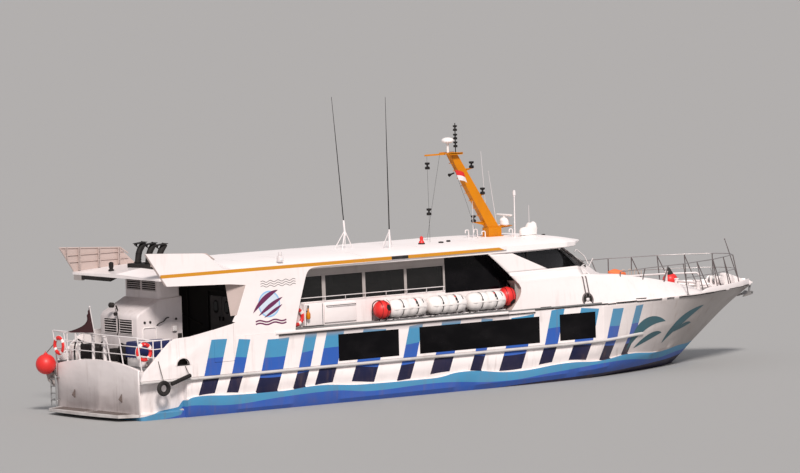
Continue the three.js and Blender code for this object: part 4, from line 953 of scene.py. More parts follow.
# Deck edge: white lip beside the side deck, torn black rubber from there round the bow
def buildDeckEdge():
    lip = newShape()
    rubber = newShape()
    for side in (-1, 1):
        rings = []
        for x in spread(*deckEdge["lip"], 24):
            rings.append([(x, side * y, z) for y, z in (
                (3.04, 2.78), (3.1, 2.8), (3.118, 2.83), (3.12, 2.88), (3.105, 2.915), (3.04, 2.92))])
        addLoft(lip, rings)
        x, end = deckEdge["rubber"]
        while x < end - deckEdge["shortest"]:
            torn = x > deckEdge["torn"]
            length = random.uniform(0.3, 1.7) if torn else 3.0
            until = min(x + length, end)
            thick = random.uniform(0.012, 0.026) if torn else 0.016
            low = 2.85 + random.uniform(-0.012, 0.01) if torn else 2.77
            rings = []
            for place in spread(x, until, max(3, int((until - x) / 0.25))):
                y = (hullAt(place)["sheerY"] if torn else 3.1) + 0.018
                sway = random.uniform(-0.006, 0.006) if torn else 0.0
                rings.append([(place, side * (y + a * 0.02), low + thick + sway + b * thick) for a, b in (
                    (-2.0, -1), (0.6, -1), (1, -0.4), (1, 0.4), (0.6, 1), (-2.0, 1))])
            addLoft(rubber, rings)
            x = until + (random.choice((0.015, 0.03, 0.09, 0.3)) if torn else 0.01)
    # the foredeck's waterway and, from the forehouse on, its white toe rail
    for side in (-1, 1):
        rings = []
        for x in spread(*deckEdge["waterway"], 50):
            y = hullAt(x)["sheerY"]
            rings.append([(x, side * max(y + dy, 0.0), z) for dy, z in (
                (-0.22, 2.882), (0.0, 2.882), (0.006, 2.868), (-0.22, 2.86))])
        addLoft(lip, rings)
        rings = []
        for x in spread(*deckEdge["toeRail"], 30):
            y = hullAt(x)["sheerY"]
            height = deckEdge["toeHeight"] * easedStep(x, 10.9, 11.9)
            rings.append([(x, side * max(y + dy, 0.0), foreDeck + dz * height) for dy, dz in (
                (-0.07, 0.0), (0.0, 0.0), (0.0, 0.85), (-0.02, 1.0), (-0.05, 1.0), (-0.07, 0.85))])
        addLoft(lip, rings)
    addSoftBox(lip, (15.35, -0.16, 2.8), (15.62, 0.16, 3.0), 0.06, 4)
    makePiece("deck_edge_lip", lip, ["whitePaint"], smooth=50)
    makePiece("deck_edge_rubber", rubber, ["rubberBlack"], replaces="gunwale_strip", smooth=40)


buildDeckEdge()
print("deck edges made")

# Superstructure sides

sidePlate = {"outer": 3.05, "lean": 0.03, "foot": 2.88, "thick": 0.06}
revealCorner = {"top": (-10.78, 4.76), "low": (-11.24, 3.66), "innerTop": (-11.49, 4.84),
                "innerLow": (-11.31, 3.62), "in": 0.32}
# Outline of the plate that carries fascia, quarter panel and canopy wing: x, z and corner radius
sideCorners = [(-11.33, 2.883, 0), (-11.33, 3.4, 0), (-11.43, 3.42, 0.02), (-11.31, 3.62, 0.03),
               (-11.24, 3.66, 0), (-10.78, 4.76, 0), (-11.49, 4.84, 0), (-14.33, 4.94, 0.03),
               (-15.215, 6.215, 0.02), (-12.5, 6.06, 0.2), (-12.0, 5.6, 0.35), (-11.75, 5.4, 0.15),
               (1.45, 5.4, 0), (1.45, 5.28, 0), (-7.35, 5.225, 0), (-7.92, 5.18, 0.34), (-8.31, 4.02, 0.5),
               (-8.57, 3.14, 0.1), (-8.6, 2.883, 0)]
# Frames inside the canopy wing as place, foot and head, and the line of its upper edge
wingFrames = ((-14.9, 5.72, 6.19), (-14.35, 5.3, 6.16), (-13.45, 5.36, 6.1), (-12.55, 5.42, 6.04))
wingRim = ((-14.36, 4.98), (-15.19, 6.19), (-12.45, 6.035), (-12.1, 5.8))


def plateY(z):
    return sidePlate["outer"] - (z - sidePlate["foot"]) * sidePlate["lean"]


# Outline points with each corner turned in a short arc
def softOutline(corners, steps=6):
    points = []
    count = len(corners)
    for i, (x, z, radius) in enumerate(corners):
        here = Vector((x, z))
        if radius == 0:
            points.append(tuple(here))
            continue
        before, after = Vector(corners[i - 1][:2]), Vector(corners[(i + 1) % count][:2])
        a = here + (before - here).normalized() * min(radius, (before - here).length * 0.45)
        b = here + (after - here).normalized() * min(radius, (after - here).length * 0.45)
        for k in range(steps + 1):
            t = k / steps
            points.append(tuple(a * (1 - t) ** 2 + here * (2 * t * (1 - t)) + b * t ** 2))
    return points


def buildSidePanel(side, label):
    shape = newShape()
    outline = softOutline(sideCorners)
    thick = sidePlate["thick"]
    count = len(outline)
    outer = [(x, side * plateY(z), z) for x, z in outline]
    inner = [(x, side * (plateY(z) - thick), z) for x, z in outline]
    addFaces(shape, outer + inner, [tuple(range(count))])
    # the inner face, in painted shade
    tone(shape, 1)
    addFaces(shape, inner, [tuple(reversed(range(count)))])
    tone(shape, 0)
    addFaces(shape, outer + inner,
             [(i, (i + 1) % count, count + (i + 1) % count, count + i) for i in range(count)])
    # the slanted jamb at the forward end of the quarter opening, in painted shade
    tone(shape, 2)
    top, low, deepTop, deepLow = (
        (x, side * (plateY(z) - deep), z) for (x, z), deep in (
            (revealCorner["top"], 0.004), (revealCorner["low"], 0.004),
            (revealCorner["innerTop"], revealCorner["in"]), (revealCorner["innerLow"], revealCorner["in"])))
    addFaces(shape, [top, low, deepLow, deepTop], [(0, 1, 2, 3)])
    addFaces(shape, [top, deepTop, (deepTop[0], side * plateY(deepTop[2]), deepTop[2])], [(0, 1, 2)])
    # stiffening frames and stringers on the inside of the wing, in painted shade like the inner face
    tone(shape, 1)
    inside = lambda z: side * (plateY(z) - thick + 0.004)
    for x, foot, head in wingFrames:
        depth = side * (0.11 if x > -14.6 else 0.05)
        for wide, start, end in ((0.025, 0.0, -depth), (0.05, -depth, -depth + side * 0.012)):
            addLoft(shape, [[(x - wide, inside(z) + start, z), (x + wide, inside(z) + start, z),
                             (x + wide, inside(z) + end, z), (x - wide, inside(z) + end, z)]
                            for z in (foot, head)])
    for z, aft, fore in ((5.62, -14.79, -12.1), (5.88, -14.97, -12.25)):
        y = plateY(z) - thick + 0.004
        addSideBox(shape, side, (aft, fore), (y, y - 0.045), (z - 0.012, z + 0.012))
    # a flange round the wing's upper edge
    rim = [(x, side * (plateY(z) - 0.07), z) for x, z in wingRim]
    for start, end in zip(rim, rim[1:]):
        addTube(shape, [start, end], 0.03, 6)
    makePiece(f"side_panel_{label}_plate", shape, ["sidePaint", "innerShadePaint", "innerShadePaint"],
              replaces=f"side_panel_{label}", bevel=0.008, smooth=30)


for side, label in bothSides:
    buildSidePanel(side, label)
print("side panels made")

# Upper saloon: walls with pillars, clear panes aft and black ones forward
saloon = {
    "wallY": 2.35, "lean": 0.04, "foot": 2.941, "head": 5.149, "sill": 3.86, "top": 4.81, "seal": 0.02,
    "from": -8.7, "to": 1.89, "blackFrom": -1.06,
    "panes": [(-8.1, -6.82), (-6.66, -4.94), (-4.8, -2.98), (-2.86, -1.14)],
}

# Forward edge of the side deck's opening on the outside, from its head down: x and z
deckEdgeLine = [(-0.41, 5.29), (0.25, 5.215), (0.59, 5.16), (0.73, 5.06), (1.1, 4.75), (1.47, 4.42),
                (1.84, 4.08), (2.02, 3.88), (2.09, 3.7), (1.97, 3.42), (1.5, 2.885)]


def wallAt(z, depth=0.0):
    return saloon["wallY"] - saloon["lean"] * (z - saloon["foot"]) / (saloon["head"] - saloon["foot"]) - depth


# A wall slab between two heights, leaning with the wall
def addWallSlab(shape, side, x0, x1, z0, z1, front=0.0, back=0.05):
    addLoft(shape, [[(x0, side * wallAt(z, front), z), (x1, side * wallAt(z, front), z),
                     (x1, side * wallAt(z, back), z), (x0, side * wallAt(z, back), z)] for z in (z0, z1)])


def buildUpperWall(side, label):
    shape = newShape()
    s = saloon
    addWallSlab(shape, side, s["from"], s["to"], s["foot"], s["sill"])
    # the head band and the pillars between the panes in painted shade
    tone(shape, 1)
    addWallSlab(shape, side, s["from"], s["to"], s["top"], s["head"])
    addWallSlab(shape, side, s["from"], s["panes"][0][0], s["sill"], s["top"])
    for (_, a), (b, _) in zip(s["panes"], s["panes"][1:] + [(s["blackFrom"] + 0.02, 0)]):
        addWallSlab(shape, side, a, b, s["sill"], s["top"], -0.006, 0.05)
    # rubber-edged pane frames
    tone(shape, 2)
    low, high, wide = s["sill"], s["top"], s["seal"]
    for a, b in s["panes"]:
        for x0, x1, z0, z1 in ((a, b, low, low + wide), (a, b, high - wide, high), (a, a + wide, low, high),
                               (b - wide, b, low, high)):
            addWallSlab(shape, side, x0, x1, z0, z1, 0.012, 0.04)
    # sill moulding and the two tracks over the panes
    for number, z0, z1, stand in ((0, s["sill"] - 0.03, s["sill"] + 0.005, 0.02),
                                  (1, s["top"] + 0.01, s["top"] + 0.05, 0.03),
                                  (1, s["top"] + 0.2, s["top"] + 0.215, 0.012)):
        tone(shape, number)
        addWallSlab(shape, side, s["from"], s["blackFrom"] - 0.02, z0, z1, -stand, 0.0)
    tone(shape, 0)
    # lockers, panel joints and fasteners along the wall
    addSideBox(shape, side, (-7.8, -6.92), (2.3, 2.55), (2.96, 3.82), 0.03)
    addSideBox(shape, side, (-6.78, -5.3), (2.3, 2.41), (3.02, 3.74), 0.02)
    tone(shape, 3)
    for x in (-7.74, -6.98):
        addSideBox(shape, side, (x - 0.01, x + 0.01), (2.55, 2.556), (3.0, 3.78))
    addSideBox(shape, side, (-7.8, -6.92), (2.5, 2.556), (2.945, 2.975))
    addTube(shape, rounded([(-6.7, side * 2.35, 3.66), (-6.7, side * 2.47, 3.66), (-5.35, side * 2.47, 3.66),
                            (-5.35, side * 2.35, 3.66)], 0.05), 0.014, 8)
    makePiece(f"upper_wall_{label}_wall", shape, ["whitePaint", "shadePaint", "rubberBlack", "darkPanel"],
              replaces=f"upper_wall_{label}", bevel=0.006, smooth=30)


def buildUpperGlass(side, label):
    s = saloon
    clear = newShape()
    for a, b in s["panes"]:
        addWallSlab(clear, side, a + 0.015, b - 0.015, s["sill"] + 0.015, s["top"] - 0.015, 0.022, 0.03)
    makePiece(f"upper_glass_{label}_panes", clear, ["clearGlass"], replaces=f"upper_glass_{label}")
    black = newShape()
    addWallSlab(black, side, s["blackFrom"], s["to"] - 0.02, s["sill"] - 0.1, s["head"] - 0.01, -0.012, 0.0)
    # the black return across the forward end of the side deck, and its sloping head
    for facing, lift in ((-1, 0.0), (1, 0.004)):
        addGrid(black, [[(x - 0.03 + lift, side * y, z - 0.02 - lift) for y in (wallAt(z), plateY(z) - 0.1)]
                        for x, z in deckEdgeLine[:6] + [(1.7, 4.2)]], facing)
    makePiece(f"black_panes_{label}", black, ["blackGlass"])


# Thin guard rail in front of the clear panes
def buildGuardRail(side, label):
    shape = newShape()
    y = side * 2.41
    addTube(shape, [(-8.2, y, 4.02), (-1.15, y, 4.02)], 0.016, 8)
    for x in (-8.1, -6.74, -5.8, -4.87, -3.9, -2.92, -2.0, -1.2):
        addTube(shape, rounded([(x, y, 4.02), (x, y, 3.88), (x, side * 2.33, 3.84)], 0.04), 0.011, 6)
    makePiece(f"guard_rail_{label}", shape, ["railWhite"])


for side, label in bothSides:
    buildUpperWall(side, label)
    buildUpperGlass(side, label)
    buildGuardRail(side, label)
print("upper saloon made")

# Roof, forehouse and wheelhouse

roofLines = {
    "x": [-11.33, 1.5, 4.6, 5.3, 5.9, 6.45, 6.9, 7.13], "y": [2.914, 2.914, 2.62, 2.25, 1.5, 0.85, 0.3, 0.06],
    "under": [5.15, 5.15, 5.15, 5.15, 5.15, 5.13, 5.11, 5.1],
    "edge": [5.4, 5.4, 5.34, 5.3, 5.26, 5.21, 5.16, 5.14],
    "crown": [5.575, 5.58, 5.55, 5.47, 5.38, 5.29, 5.22, 5.18],
}


def straightAt(xs, ys, x):
    i = max([k for k in range(len(xs) - 1) if xs[k] <= x] or [0])
    t = min(max((x - xs[i]) / (xs[i + 1] - xs[i]), 0.0), 1.0)
    return ys[i] + (ys[i + 1] - ys[i]) * t


def roofTopAt(x, y):
    half = straightAt(roofLines["x"], roofLines["y"], x)
    edge, crown = (curveAt(roofLines["x"], roofLines[key], x) for key in ("edge", "crown"))
    return crown - (crown - edge) * min(abs(y) / half, 1.0) ** 4.4


def buildRoof():
    shape = newShape()
    stations = spread(-11.33, 1.5, 12) + spread(1.9, 4.5, 10) + spread(4.6, 7.13, 34)
    shares = [0.0, 0.2, 0.4, 0.55, 0.68, 0.78, 0.86, 0.92, 0.97, 1.0]
    rings = []
    for x in stations:
        half = straightAt(roofLines["x"], roofLines["y"], x)
        under = curveAt(roofLines["x"], roofLines["under"], x)
        top = [(half * s, roofTopAt(x, half * s)) for s in shares]
        edge = top[-1][1]
        run = [(-y, z) for y, z in reversed(top)] + top[1:]
        run += [(half, edge - 0.04), (half, under + 0.02), (half * 0.985, under), (0.0, under),
                (-half * 0.985, under), (-half, under + 0.02), (-half, edge - 0.04)]
        rings.append([(x, y, z) for y, z in run])
    addLoft(shape, rings)
    makePiece("roof_shell", shape, ["roofLitPaint"], replaces="roof", smooth=40)


houseLines = {
    "x": [1.3, 3.6, 5.4, 6.4, 7.2, 7.65, 8.3, 8.95, 9.65, 10.9, 11.45, 11.85],
    "foot": [3.04, 3.04, 3.03, 2.99, 2.94, 2.925, 2.885, 2.81, 2.69, 2.385, 2.23, 2.08],
    "topY": [2.995, 2.9, 2.72, 2.62, 2.53, 2.47, 2.35, 2.23, 2.08, 1.75, 1.56, 1.45],
    "top": [4.06, 4.06, 4.05, 3.97, 3.93, 3.84, 3.735, 3.63, 3.495, 3.24, 3.115, 2.98],
    "middle": [4.1, 4.1, 4.06, 3.97, 3.88, 3.76, 3.66, 3.61, 3.51, 3.27, 3.14, 2.99],
}
house = {"foot": 2.885, "rise": 1.175, "rows": 9, "across": 9, "end": 11.85}
# Wheelhouse band: plan points at its foot and head, from aft to the centreline
band = {
    "footX": [-0.5, 2.0, 5.65, 6.9, 7.3], "footY": [2.985, 2.932, 2.45, 1.15, 0.0],
    "headX": [-0.5, 2.0, 4.35, 5.35, 5.75], "headY": [2.965, 2.8, 2.43, 1.15, 0.0],
    "low": 4.105, "high": 5.15, "thick": 0.06, "paneFoot": 4.34, "paneHead": 5.09,
}
sidePane = {"aft": [(3.6, 4.385), (1.8, 5.115)], "fore": [(5.2, 4.36), (4.4, 5.115)], "foot": 4.385,
            "head": 5.115}


def houseAt(key, x):
    return curveAt(houseLines["x"], houseLines[key], x)


def openingAt(z):
    line = sorted(deckEdgeLine[4:] if z < 4.7 else deckEdgeLine, key=lambda p: p[1])
    return straightAt([p[1] for p in line], [p[0] for p in line], z)


def houseSideAt(x, t):
    foot, top = houseAt("foot", x), houseAt("top", x)
    bulge = 0.02 * math.sin(math.pi * t)
    return foot + (houseAt("topY", x) - foot) * t + bulge, house["foot"] + (top - house["foot"]) * t


# Half-breadth of the space inside the wheelhouse band at its foot
def innerFootAt(x):
    return max(straightAt(band["footX"], band["footY"], x) - 0.12, 0.0)


def buildForehouse():
    shape = newShape()
    stations = [2.3, 2.6] + spread(3.0, 5.2, 9) + spread(5.4, house["end"], 50)
    for side in (-1, 1):
        rows = []
        for k in range(house["rows"]):
            t = k / (house["rows"] - 1)
            start = openingAt(house["foot"] + t * house["rise"])
            places = [start, start + 0.04, (start + 2.3) / 2 + 0.02] + stations
            rows.append([(x, side * houseSideAt(x, t)[0], houseSideAt(x, t)[1]) for x in places])
        addGrid(shape, rows, side)
        rows = []
        for k in range(house["across"]):
            row = []
            for x in [1.86] + stations:
                outer = houseAt("topY", x)
                inner = innerFootAt(x) if x < 7.3 else 0.0
                y = outer + (inner - outer) * k / (house["across"] - 1)
                z = houseAt("middle", x) + (houseAt("top", x) - houseAt("middle", x)) * y / outer
                row.append((x, side * y, z))
            rows.append(row)
        addGrid(shape, rows, side)
        # the blunt fore end, down to the deck
        x = house["end"]
        addFaces(shape, [(x, 0, houseAt("middle", x)), (x, side * houseAt("topY", x), houseAt("top", x)),
                         (x, side * houseAt("foot", x), 2.88), (x, 0, 2.88)],
                 [(0, 1, 2, 3) if side > 0 else (3, 2, 1, 0)])
        # inner wall below the windows and the end wall of the side deck, both in painted shade
        tone(shape, 1)
        inner = [(x, side * innerFootAt(x)) for x in [1.9] + stations if x < 7.3]
        addGrid(shape, [[(x, y, z) for x, y in inner] for z in (3.32, 4.06)], -side)
        tone(shape, 2)
        zs = [2.94 + 0.1 * k for k in range(12)]
        ends = [(openingAt(z) + 0.02, z) for z in zs]
        addGrid(shape, [[(x, side * 2.3, z) for x, z in ends],
                        [(x, side * (houseSideAt(max(x, 1.5), (z - house["foot"]) / house["rise"])[0] - 0.01),
                          z) for x, z in ends]], side)
        tone(shape, 0)
    makePiece("forehouse_shell", shape, ["whitePaint", "shadePaint", "innerShadePaint"], replaces="forehouse",
              bevel=0.03, smooth=27, segments=3)
    floor = newShape()
    addPrism(floor, [(1.9, -2.3), (5.4, -2.3), (6.9, -1.0), (6.9, 1.0), (5.4, 2.3), (1.9, 2.3)], 2, 3.26, 3.3)
    addPrism(floor, [(1.9, -2.3), (1.96, -2.3), (1.96, 2.3), (1.9, 2.3)], 2, 3.3, 5.1)
    makePiece("wheelhouse_floor", floor, ["darkPanel"], bevel=0.01)


# A place on the band: x and height on its side, or a share along the plan points and height on its front
def bandSideAt(x, z):
    t = (z - band["low"]) / (band["high"] - band["low"])
    foot, head = (curveAt(band[a][:3] + [band[a][2] + 1.5], band[b][:3] + [band[b][2] + drop], x)
                  for a, b, drop in (("footX", "footY", -0.198), ("headX", "headY", -0.236)))
    return foot + (head - foot) * t


def bandFrontAt(u, z):
    t = (z - band["low"]) / (band["high"] - band["low"])
    i = min(int(u), 3)
    s = u - i
    foot, head = ([band[key][i] + (band[key][i + 1] - band[key][i]) * s for key in keys]
                  for keys in (("footX", "footY"), ("headX", "headY")))
    return foot[0] + (head[0] - foot[0]) * t, foot[1] + (head[1] - foot[1]) * t


# The same as a point on either side, moved by off along the boat and by inward across it
def frontPoint(side, u, z, off=0.0, inward=0.0):
    x, y = bandFrontAt(u, z)
    return (x + off, side * (y - inward), z)


def slantAt(line, z):
    (x0, z0), (x1, z1) = line
    return x0 + (x1 - x0) * (z - z0) / (z1 - z0)


def buildWheelhouse():
    shape = newShape()
    corner = [(5.65, 4.105), (4.35, 5.15)]
    front = ((2.0, 4.0, 3.78, band["paneFoot"]), (2.0, 4.0, band["paneHead"], 5.149),
             (2.0, 2.07, band["paneFoot"], band["paneHead"]),
             (2.965, 3.05, band["paneFoot"], band["paneHead"]))
    toCorner = lambda z: slantAt(corner, z)

    def sideRows(side, low, high, left, right, steps, count):
        rows = []
        for z in (low + (high - low) * k / steps for k in range(steps + 1)):
            a, b = left(z), right(z)
            places = [a + (b - a) * i / count for i in range(count + 1)]
            rows.append([(x, side * bandSideAt(x, z), z) for x in places])
        addGrid(shape, rows, side)

    for side in (-1, 1):
        foot, head = sidePane["foot"], sidePane["head"]
        sideRows(side, 4.04, foot, openingAt, toCorner, 5, 22)
        sideRows(side, foot, head, openingAt, lambda z: slantAt(sidePane["aft"], z), 12, 10)
        sideRows(side, head, 5.149, openingAt, toCorner, 1, 22)
        tone(shape, 1)
        sideRows(side, foot, head, lambda z: slantAt(sidePane["fore"], z), toCorner, 8, 3)
        tone(shape, 0)
        rows = []
        for k in range(6):
            z = 3.95 + 0.36 * k / 5
            places = spread(openingAt(z), 5.35, 16)
            rows.append([(x, side * (houseSideAt(x, 0.905)[0] * (1 - k / 5)
                                     + (bandSideAt(x, 4.31) + 0.004) * k / 5), z) for x in places])
        addGrid(shape, rows, side)
        for u0, u1, z0, z1 in front:
            tone(shape, 1 if u1 < 2.1 else 0)
            cuts = sorted({u0, u1} | {float(u) for u in range(int(u0) + 1, int(u1) + 1) if u < u1})
            for a, b in zip(cuts, cuts[1:]):
                addGrid(shape, [[frontPoint(side, a + (b - a) * i / 6, z) for i in range(7)]
                                for z in (z0, (z0 + z1) / 2, z1)], side)
    item = makePiece("wheelhouse_shell", shape, ["whitePaint", "darkPanel"], replaces="wheelhouse", smooth=20)
    thick = item.modifiers.new("wall", "SOLIDIFY")
    thick.thickness, thick.offset = band["thick"], -1.0
    trim = newShape()
    for side in (-1, 1):
        # black seals round the panes and the dark posts behind the side pane
        outline = (*sidePane["aft"][:1], *sidePane["fore"], sidePane["aft"][1])
        addTube(trim, [(x, side * (bandSideAt(x, z) - 0.045), z) for x, z in outline], 0.022, 6, closed=True)
        for x in (2.42, 2.62):
            addTube(trim, [(x, side * 2.68, 4.8), (x, side * 2.68, 5.11)], 0.03, 8)
        rim = ((2.07, "paneFoot"), (2.965, "paneFoot"), (2.965, "paneHead"), (2.07, "paneHead"))
        addTube(trim, [frontPoint(side, u, band[key], -0.04, 0.03) for u, key in rim], 0.02, 6, closed=True)
    makePiece("wheelhouse_seals", trim, ["rubberBlack"])


# Bead round the wheelhouse foot, wipers, water pipe and window hardware
def buildWheelhouseFittings():
    bead = newShape()
    wipers = newShape()
    for side in (-1, 1):
        path = []
        for k in range(21):
            u = 2.0 + 2.0 * k / 20
            z = 3.9
            for _ in range(4):
                x, y = bandFrontAt(u, z)
                z = houseAt("middle", x) + (houseAt("top", x) - houseAt("middle", x)) * min(
                    y / houseAt("topY", x), 1)
            path.append((x + 0.005, side * y, z))
        addTube(bead, path, 0.03, 8)
        # two wipers a side on the front panes
        for u, low, high in ((2.55, 4.3, 4.8), (3.35, 4.32, 4.85)):
            x, y, _ = frontPoint(side, u, low)
            addTube(wipers, [(x + 0.05, y, low), (x + 0.09, y, low + 0.03),
                             frontPoint(side, u + 0.1, high, 0.045)], 0.012, 6)
            addTube(wipers, [frontPoint(side, u + 0.02, high - 0.3, 0.03),
                             frontPoint(side, u + 0.16, high + 0.12, 0.03)], 0.01, 6)
            addSoftBox(wipers, (x - 0.02, y - 0.06, low - 0.07), (x + 0.07, y + 0.06, low + 0.02), 0.02)
    # the white pipes that stand off the windscreen's foot
    tone(wipers, 1)
    for side in (-1, 1):
        addTube(wipers, rounded([(5.86, side * 1.42, 4.83), (6.05, side * 1.3, 4.92),
                                 (6.45, side * 1.3, 4.62), (6.62, side * 1.3, 4.3)], 0.08), 0.02, 8)
        addTube(wipers, rounded([(6.72, side * 1.2, 4.2), (6.95, side * 1.1, 4.42), (7.0, side * 1.1, 4.5)],
                                0.05), 0.018, 8)
    makePiece("wheelhouse_bead", bead, ["whitePaint"])
    makePiece("wipers", wipers, ["rubberBlack", "railWhite"])


# Mooring bars with their half-round fairlead on the side of the forehouse, and drain slots along its foot
mooring = {"x": 5.27, "low": 3.2, "high": 3.98, "apart": 0.17, "radius": 0.24, "foot": 2.95,
           "slots": (3.2, 7.95)}


def buildMooringPlaces():
    m = mooring
    centre = m["foot"] + 0.14
    for side, label in bothSides:
        shape = newShape()
        breadth = lambda x, z: houseSideAt(x, (z - house["foot"]) / 1.17)[0]
        onSide = lambda x, z, off: (x, side * (breadth(x, z) + off), z)
        for x in (m["x"] - m["apart"] / 2, m["x"] + m["apart"] / 2):
            bar = [(m["high"], -0.02, 0.0), (m["high"], 0.05, -0.02), (m["low"], 0.05, 0.02),
                   (m["low"], -0.02, 0.0)]
            path = [(x, side * (breadth(x, z) + off), z + dz) for z, off, dz in bar]
            addTube(shape, rounded(path, 0.03), 0.022, 10)
        arc = [(m["x"] + m["radius"] * math.cos(a), centre + m["radius"] * math.sin(a))
               for a in (math.pi * k / 16 for k in range(-3, 20))]
        addTube(shape, [onSide(x, z, 0.01) for x, z in arc], 0.035, 8)
        # a black disc filling the arch: painted shade for the fairlead's hollow
        tone(shape, 1)
        rim = [onSide(x, z, 0.006) for x, z in arc]
        addFaces(shape, [onSide(m["x"], centre, 0.006)] + rim, [(0, i, i + 1) for i in range(1, len(rim))])
        tone(shape, 2)
        y = breadth(m["x"], 3.1)
        addSideBox(shape, side, (m["x"] - 0.09, m["x"] + 0.05), (y, y + 0.07), (3.04, 3.16), 0.03)
        tone(shape, 1)
        for x in m["slots"]:
            y = breadth(x, 2.93)
            addSideBox(shape, side, (x - 0.26, x + 0.26), (y, y + 0.012), (2.925, 2.96), 0.01)
        makePiece(f"mooring_place_{label}", shape, ["railDark", "stackBlack", "railWhite"])


buildRoof()
buildForehouse()
buildWheelhouse()
buildWheelhouseFittings()
buildMooringPlaces()
print("roof, forehouse and wheelhouse made")

repeaterNodes = ("NodeGroupInput", "NodeGroupOutput", "GeometryNodeInputNamedAttribute",
                 "FunctionNodeAlignRotationToVector", "GeometryNodeMeshCube", "GeometryNodeInstanceOnPoints",
                 "GeometryNodeRealizeInstances", "GeometryNodeSetMaterial")


# Blocks of one size placed on points, each turned to the facing that its point carries
def makeRepeater(name):
    tree = bpy.data.node_groups.new(name, "GeometryNodeTree")
    for label, direction, sort in (("Geometry", "INPUT", "Geometry"), ("Size", "INPUT", "Vector"),
                                   ("Material", "INPUT", "Material"), ("Geometry", "OUTPUT", "Geometry")):
        tree.interface.new_socket(label, in_out=direction, socket_type="NodeSocket" + sort)
    start, end, facing, turn, block, place, real, paint = (tree.nodes.new(kind) for kind in repeaterNodes)
    facing.data_type = "FLOAT_VECTOR"
    facing.inputs["Name"].default_value = "facing"
    turn.axis = "Z"
    links = ((start, "Size", block, "Size"), (facing, "Attribute", turn, "Vector"),
             (start, "Geometry", place, "Points"), (block, "Mesh", place, "Instance"),
             (turn, "Rotation", place, "Rotation"), (place, "Instances", real, "Geometry"),
             (real, "Geometry", paint, "Geometry"), (start, "Material", paint, "Material"),
             (paint, "Geometry", end, "Geometry"))
    for source, output, target, entry in links:
        tree.links.new(source.outputs[output], target.inputs[entry])
    return tree


slatRepeater = makeRepeater("slats")


# points are (place, facing) pairs
def repeatSlats(name, points, size, finishName):
    mesh = bpy.data.meshes.new(name + "_points")
    mesh.from_pydata([place for place, _ in points], [], [])
    layer = mesh.attributes.new("facing", "FLOAT_VECTOR", "POINT")
    for item, (_, facing) in zip(layer.data, points):
        item.vector = facing
    seed = bpy.data.objects.new(name + "_points", mesh)
    bpy.context.scene.collection.objects.link(seed)
    nodes = seed.modifiers.new("repeat", "NODES")
    nodes.node_group = slatRepeater
    for item in slatRepeater.interface.items_tree:
        if item.in_out == "INPUT" and item.name in ("Size", "Material"):
            nodes[item.identifier] = size if item.name == "Size" else finish[finishName]
    made = bpy.data.meshes.new_from_object(seed.evaluated_get(bpy.context.evaluated_depsgraph_get()))
    bpy.data.objects.remove(seed)
    if not made.materials:
        made.materials.append(finish[finishName])
    placePiece(name, made, "boat", None, 0.0, 30)


# Stern

def addBuoy(shape, centre, normal, mark, radius=0.29, thick=0.073):
    base = len(shape["tones"])
    sides, around = 48, 12
    addRing(shape, centre, radius, thick, normal, sides, around, 0.8)
    for i in range(sides * around):
        if i // around % 12 < 3:
            shape["tones"][base + i] = mark
    normal = Vector(normal).normalized()
    a = normal.orthogonal().normalized()
    b = normal.cross(a)
    # the grab line, slack between the four marks
    line = []
    for i, (c, s) in enumerate(turnPoints(96)):
        reach = radius + thick + 0.006 + 0.016 * abs(math.sin(4 * math.pi * i / 96))
        line.append(Vector(centre) + (a * c + b * s) * reach)
    previous = shape["tone"]
    tone(shape, mark)
    addTube(shape, line, 0.008, 5, closed=True)
    tone(shape, previous)


sternRail = {"foot": -15.475, "lean": 0.158, "top": 3.11, "bars": (2.44, 2.77, 3.11), "kink": -14.97,
             "fore": -14.2, "posts": (-2.85, -1.63, -0.75, 1.28, 2.12, 2.85),
             "bitts": ((0.39, 0.06), (-0.4, 0.075))}


def railLean(z):
    return sternRail["foot"] - (z - 2.1) * sternRail["lean"]


def buildSternRail():
    shape = newShape()
    s = sternRail
    for z in s["bars"]:
        half = [(s["fore"], -2.91, z * 0.955), (s["kink"], -2.895, z * 0.95), (railLean(z), -2.85, z)]
        addTube(shape, rounded(half + mirrored(reversed(half)), 0.09, 5), 0.024 if z == s["top"] else 0.019,
                10)
    for y in s["posts"]:
        addTube(shape, [(s["foot"], y, transomTopAt(y)), (railLean(s["top"]), y, s["top"])], 0.026, 10)
        addLathe(shape, [(0.0, 0.0), (0.06, 0.0), (0.055, 0.02), (0.0, 0.022)],
                 (s["foot"], y, transomTopAt(y)), sides=16)
    for side in (-1, 1):
        for x in (s["kink"], -14.6, s["fore"]):
            addTube(shape, [(x, side * 2.9, 1.95), (x, side * 2.9, s["top"] * 0.95)], 0.023, 10)
    # the two thick white bitts that stand in the rail
    for y, r in s["bitts"]:
        addLathe(shape, [(0, 0), (r, 0), (r, 0.86), (r * 1.5, 0.88), (r * 1.5, 0.94), (0, 0.95)],
                 (s["foot"] + 0.02, y, transomTopAt(y)), sides=18)
    tone(shape, 1)
    for centre, normal in (((-15.29, -2.77, 2.56), (0, 1, 0)),
                           ((railLean(2.56) - 0.095, 2.44, 2.56), (1, 0, 0))):
        addBuoy(shape, centre, normal, 2)
    tone(shape, 0)
    for x, y, z in ((-15.29, -2.85, 2.86), (railLean(2.86), 2.44, 2.86)):
        addTube(shape, [(x, y, z), (x + (0.0 if y < 0 else -0.08), y + (0.08 if y < 0 else 0.0), z - 0.03)],
                0.016, 6)
    makePiece("stern_rail", shape, ["railWhite", "buoyRed", "whitePlastic"], replaces="transom_rail",
              smooth=45)


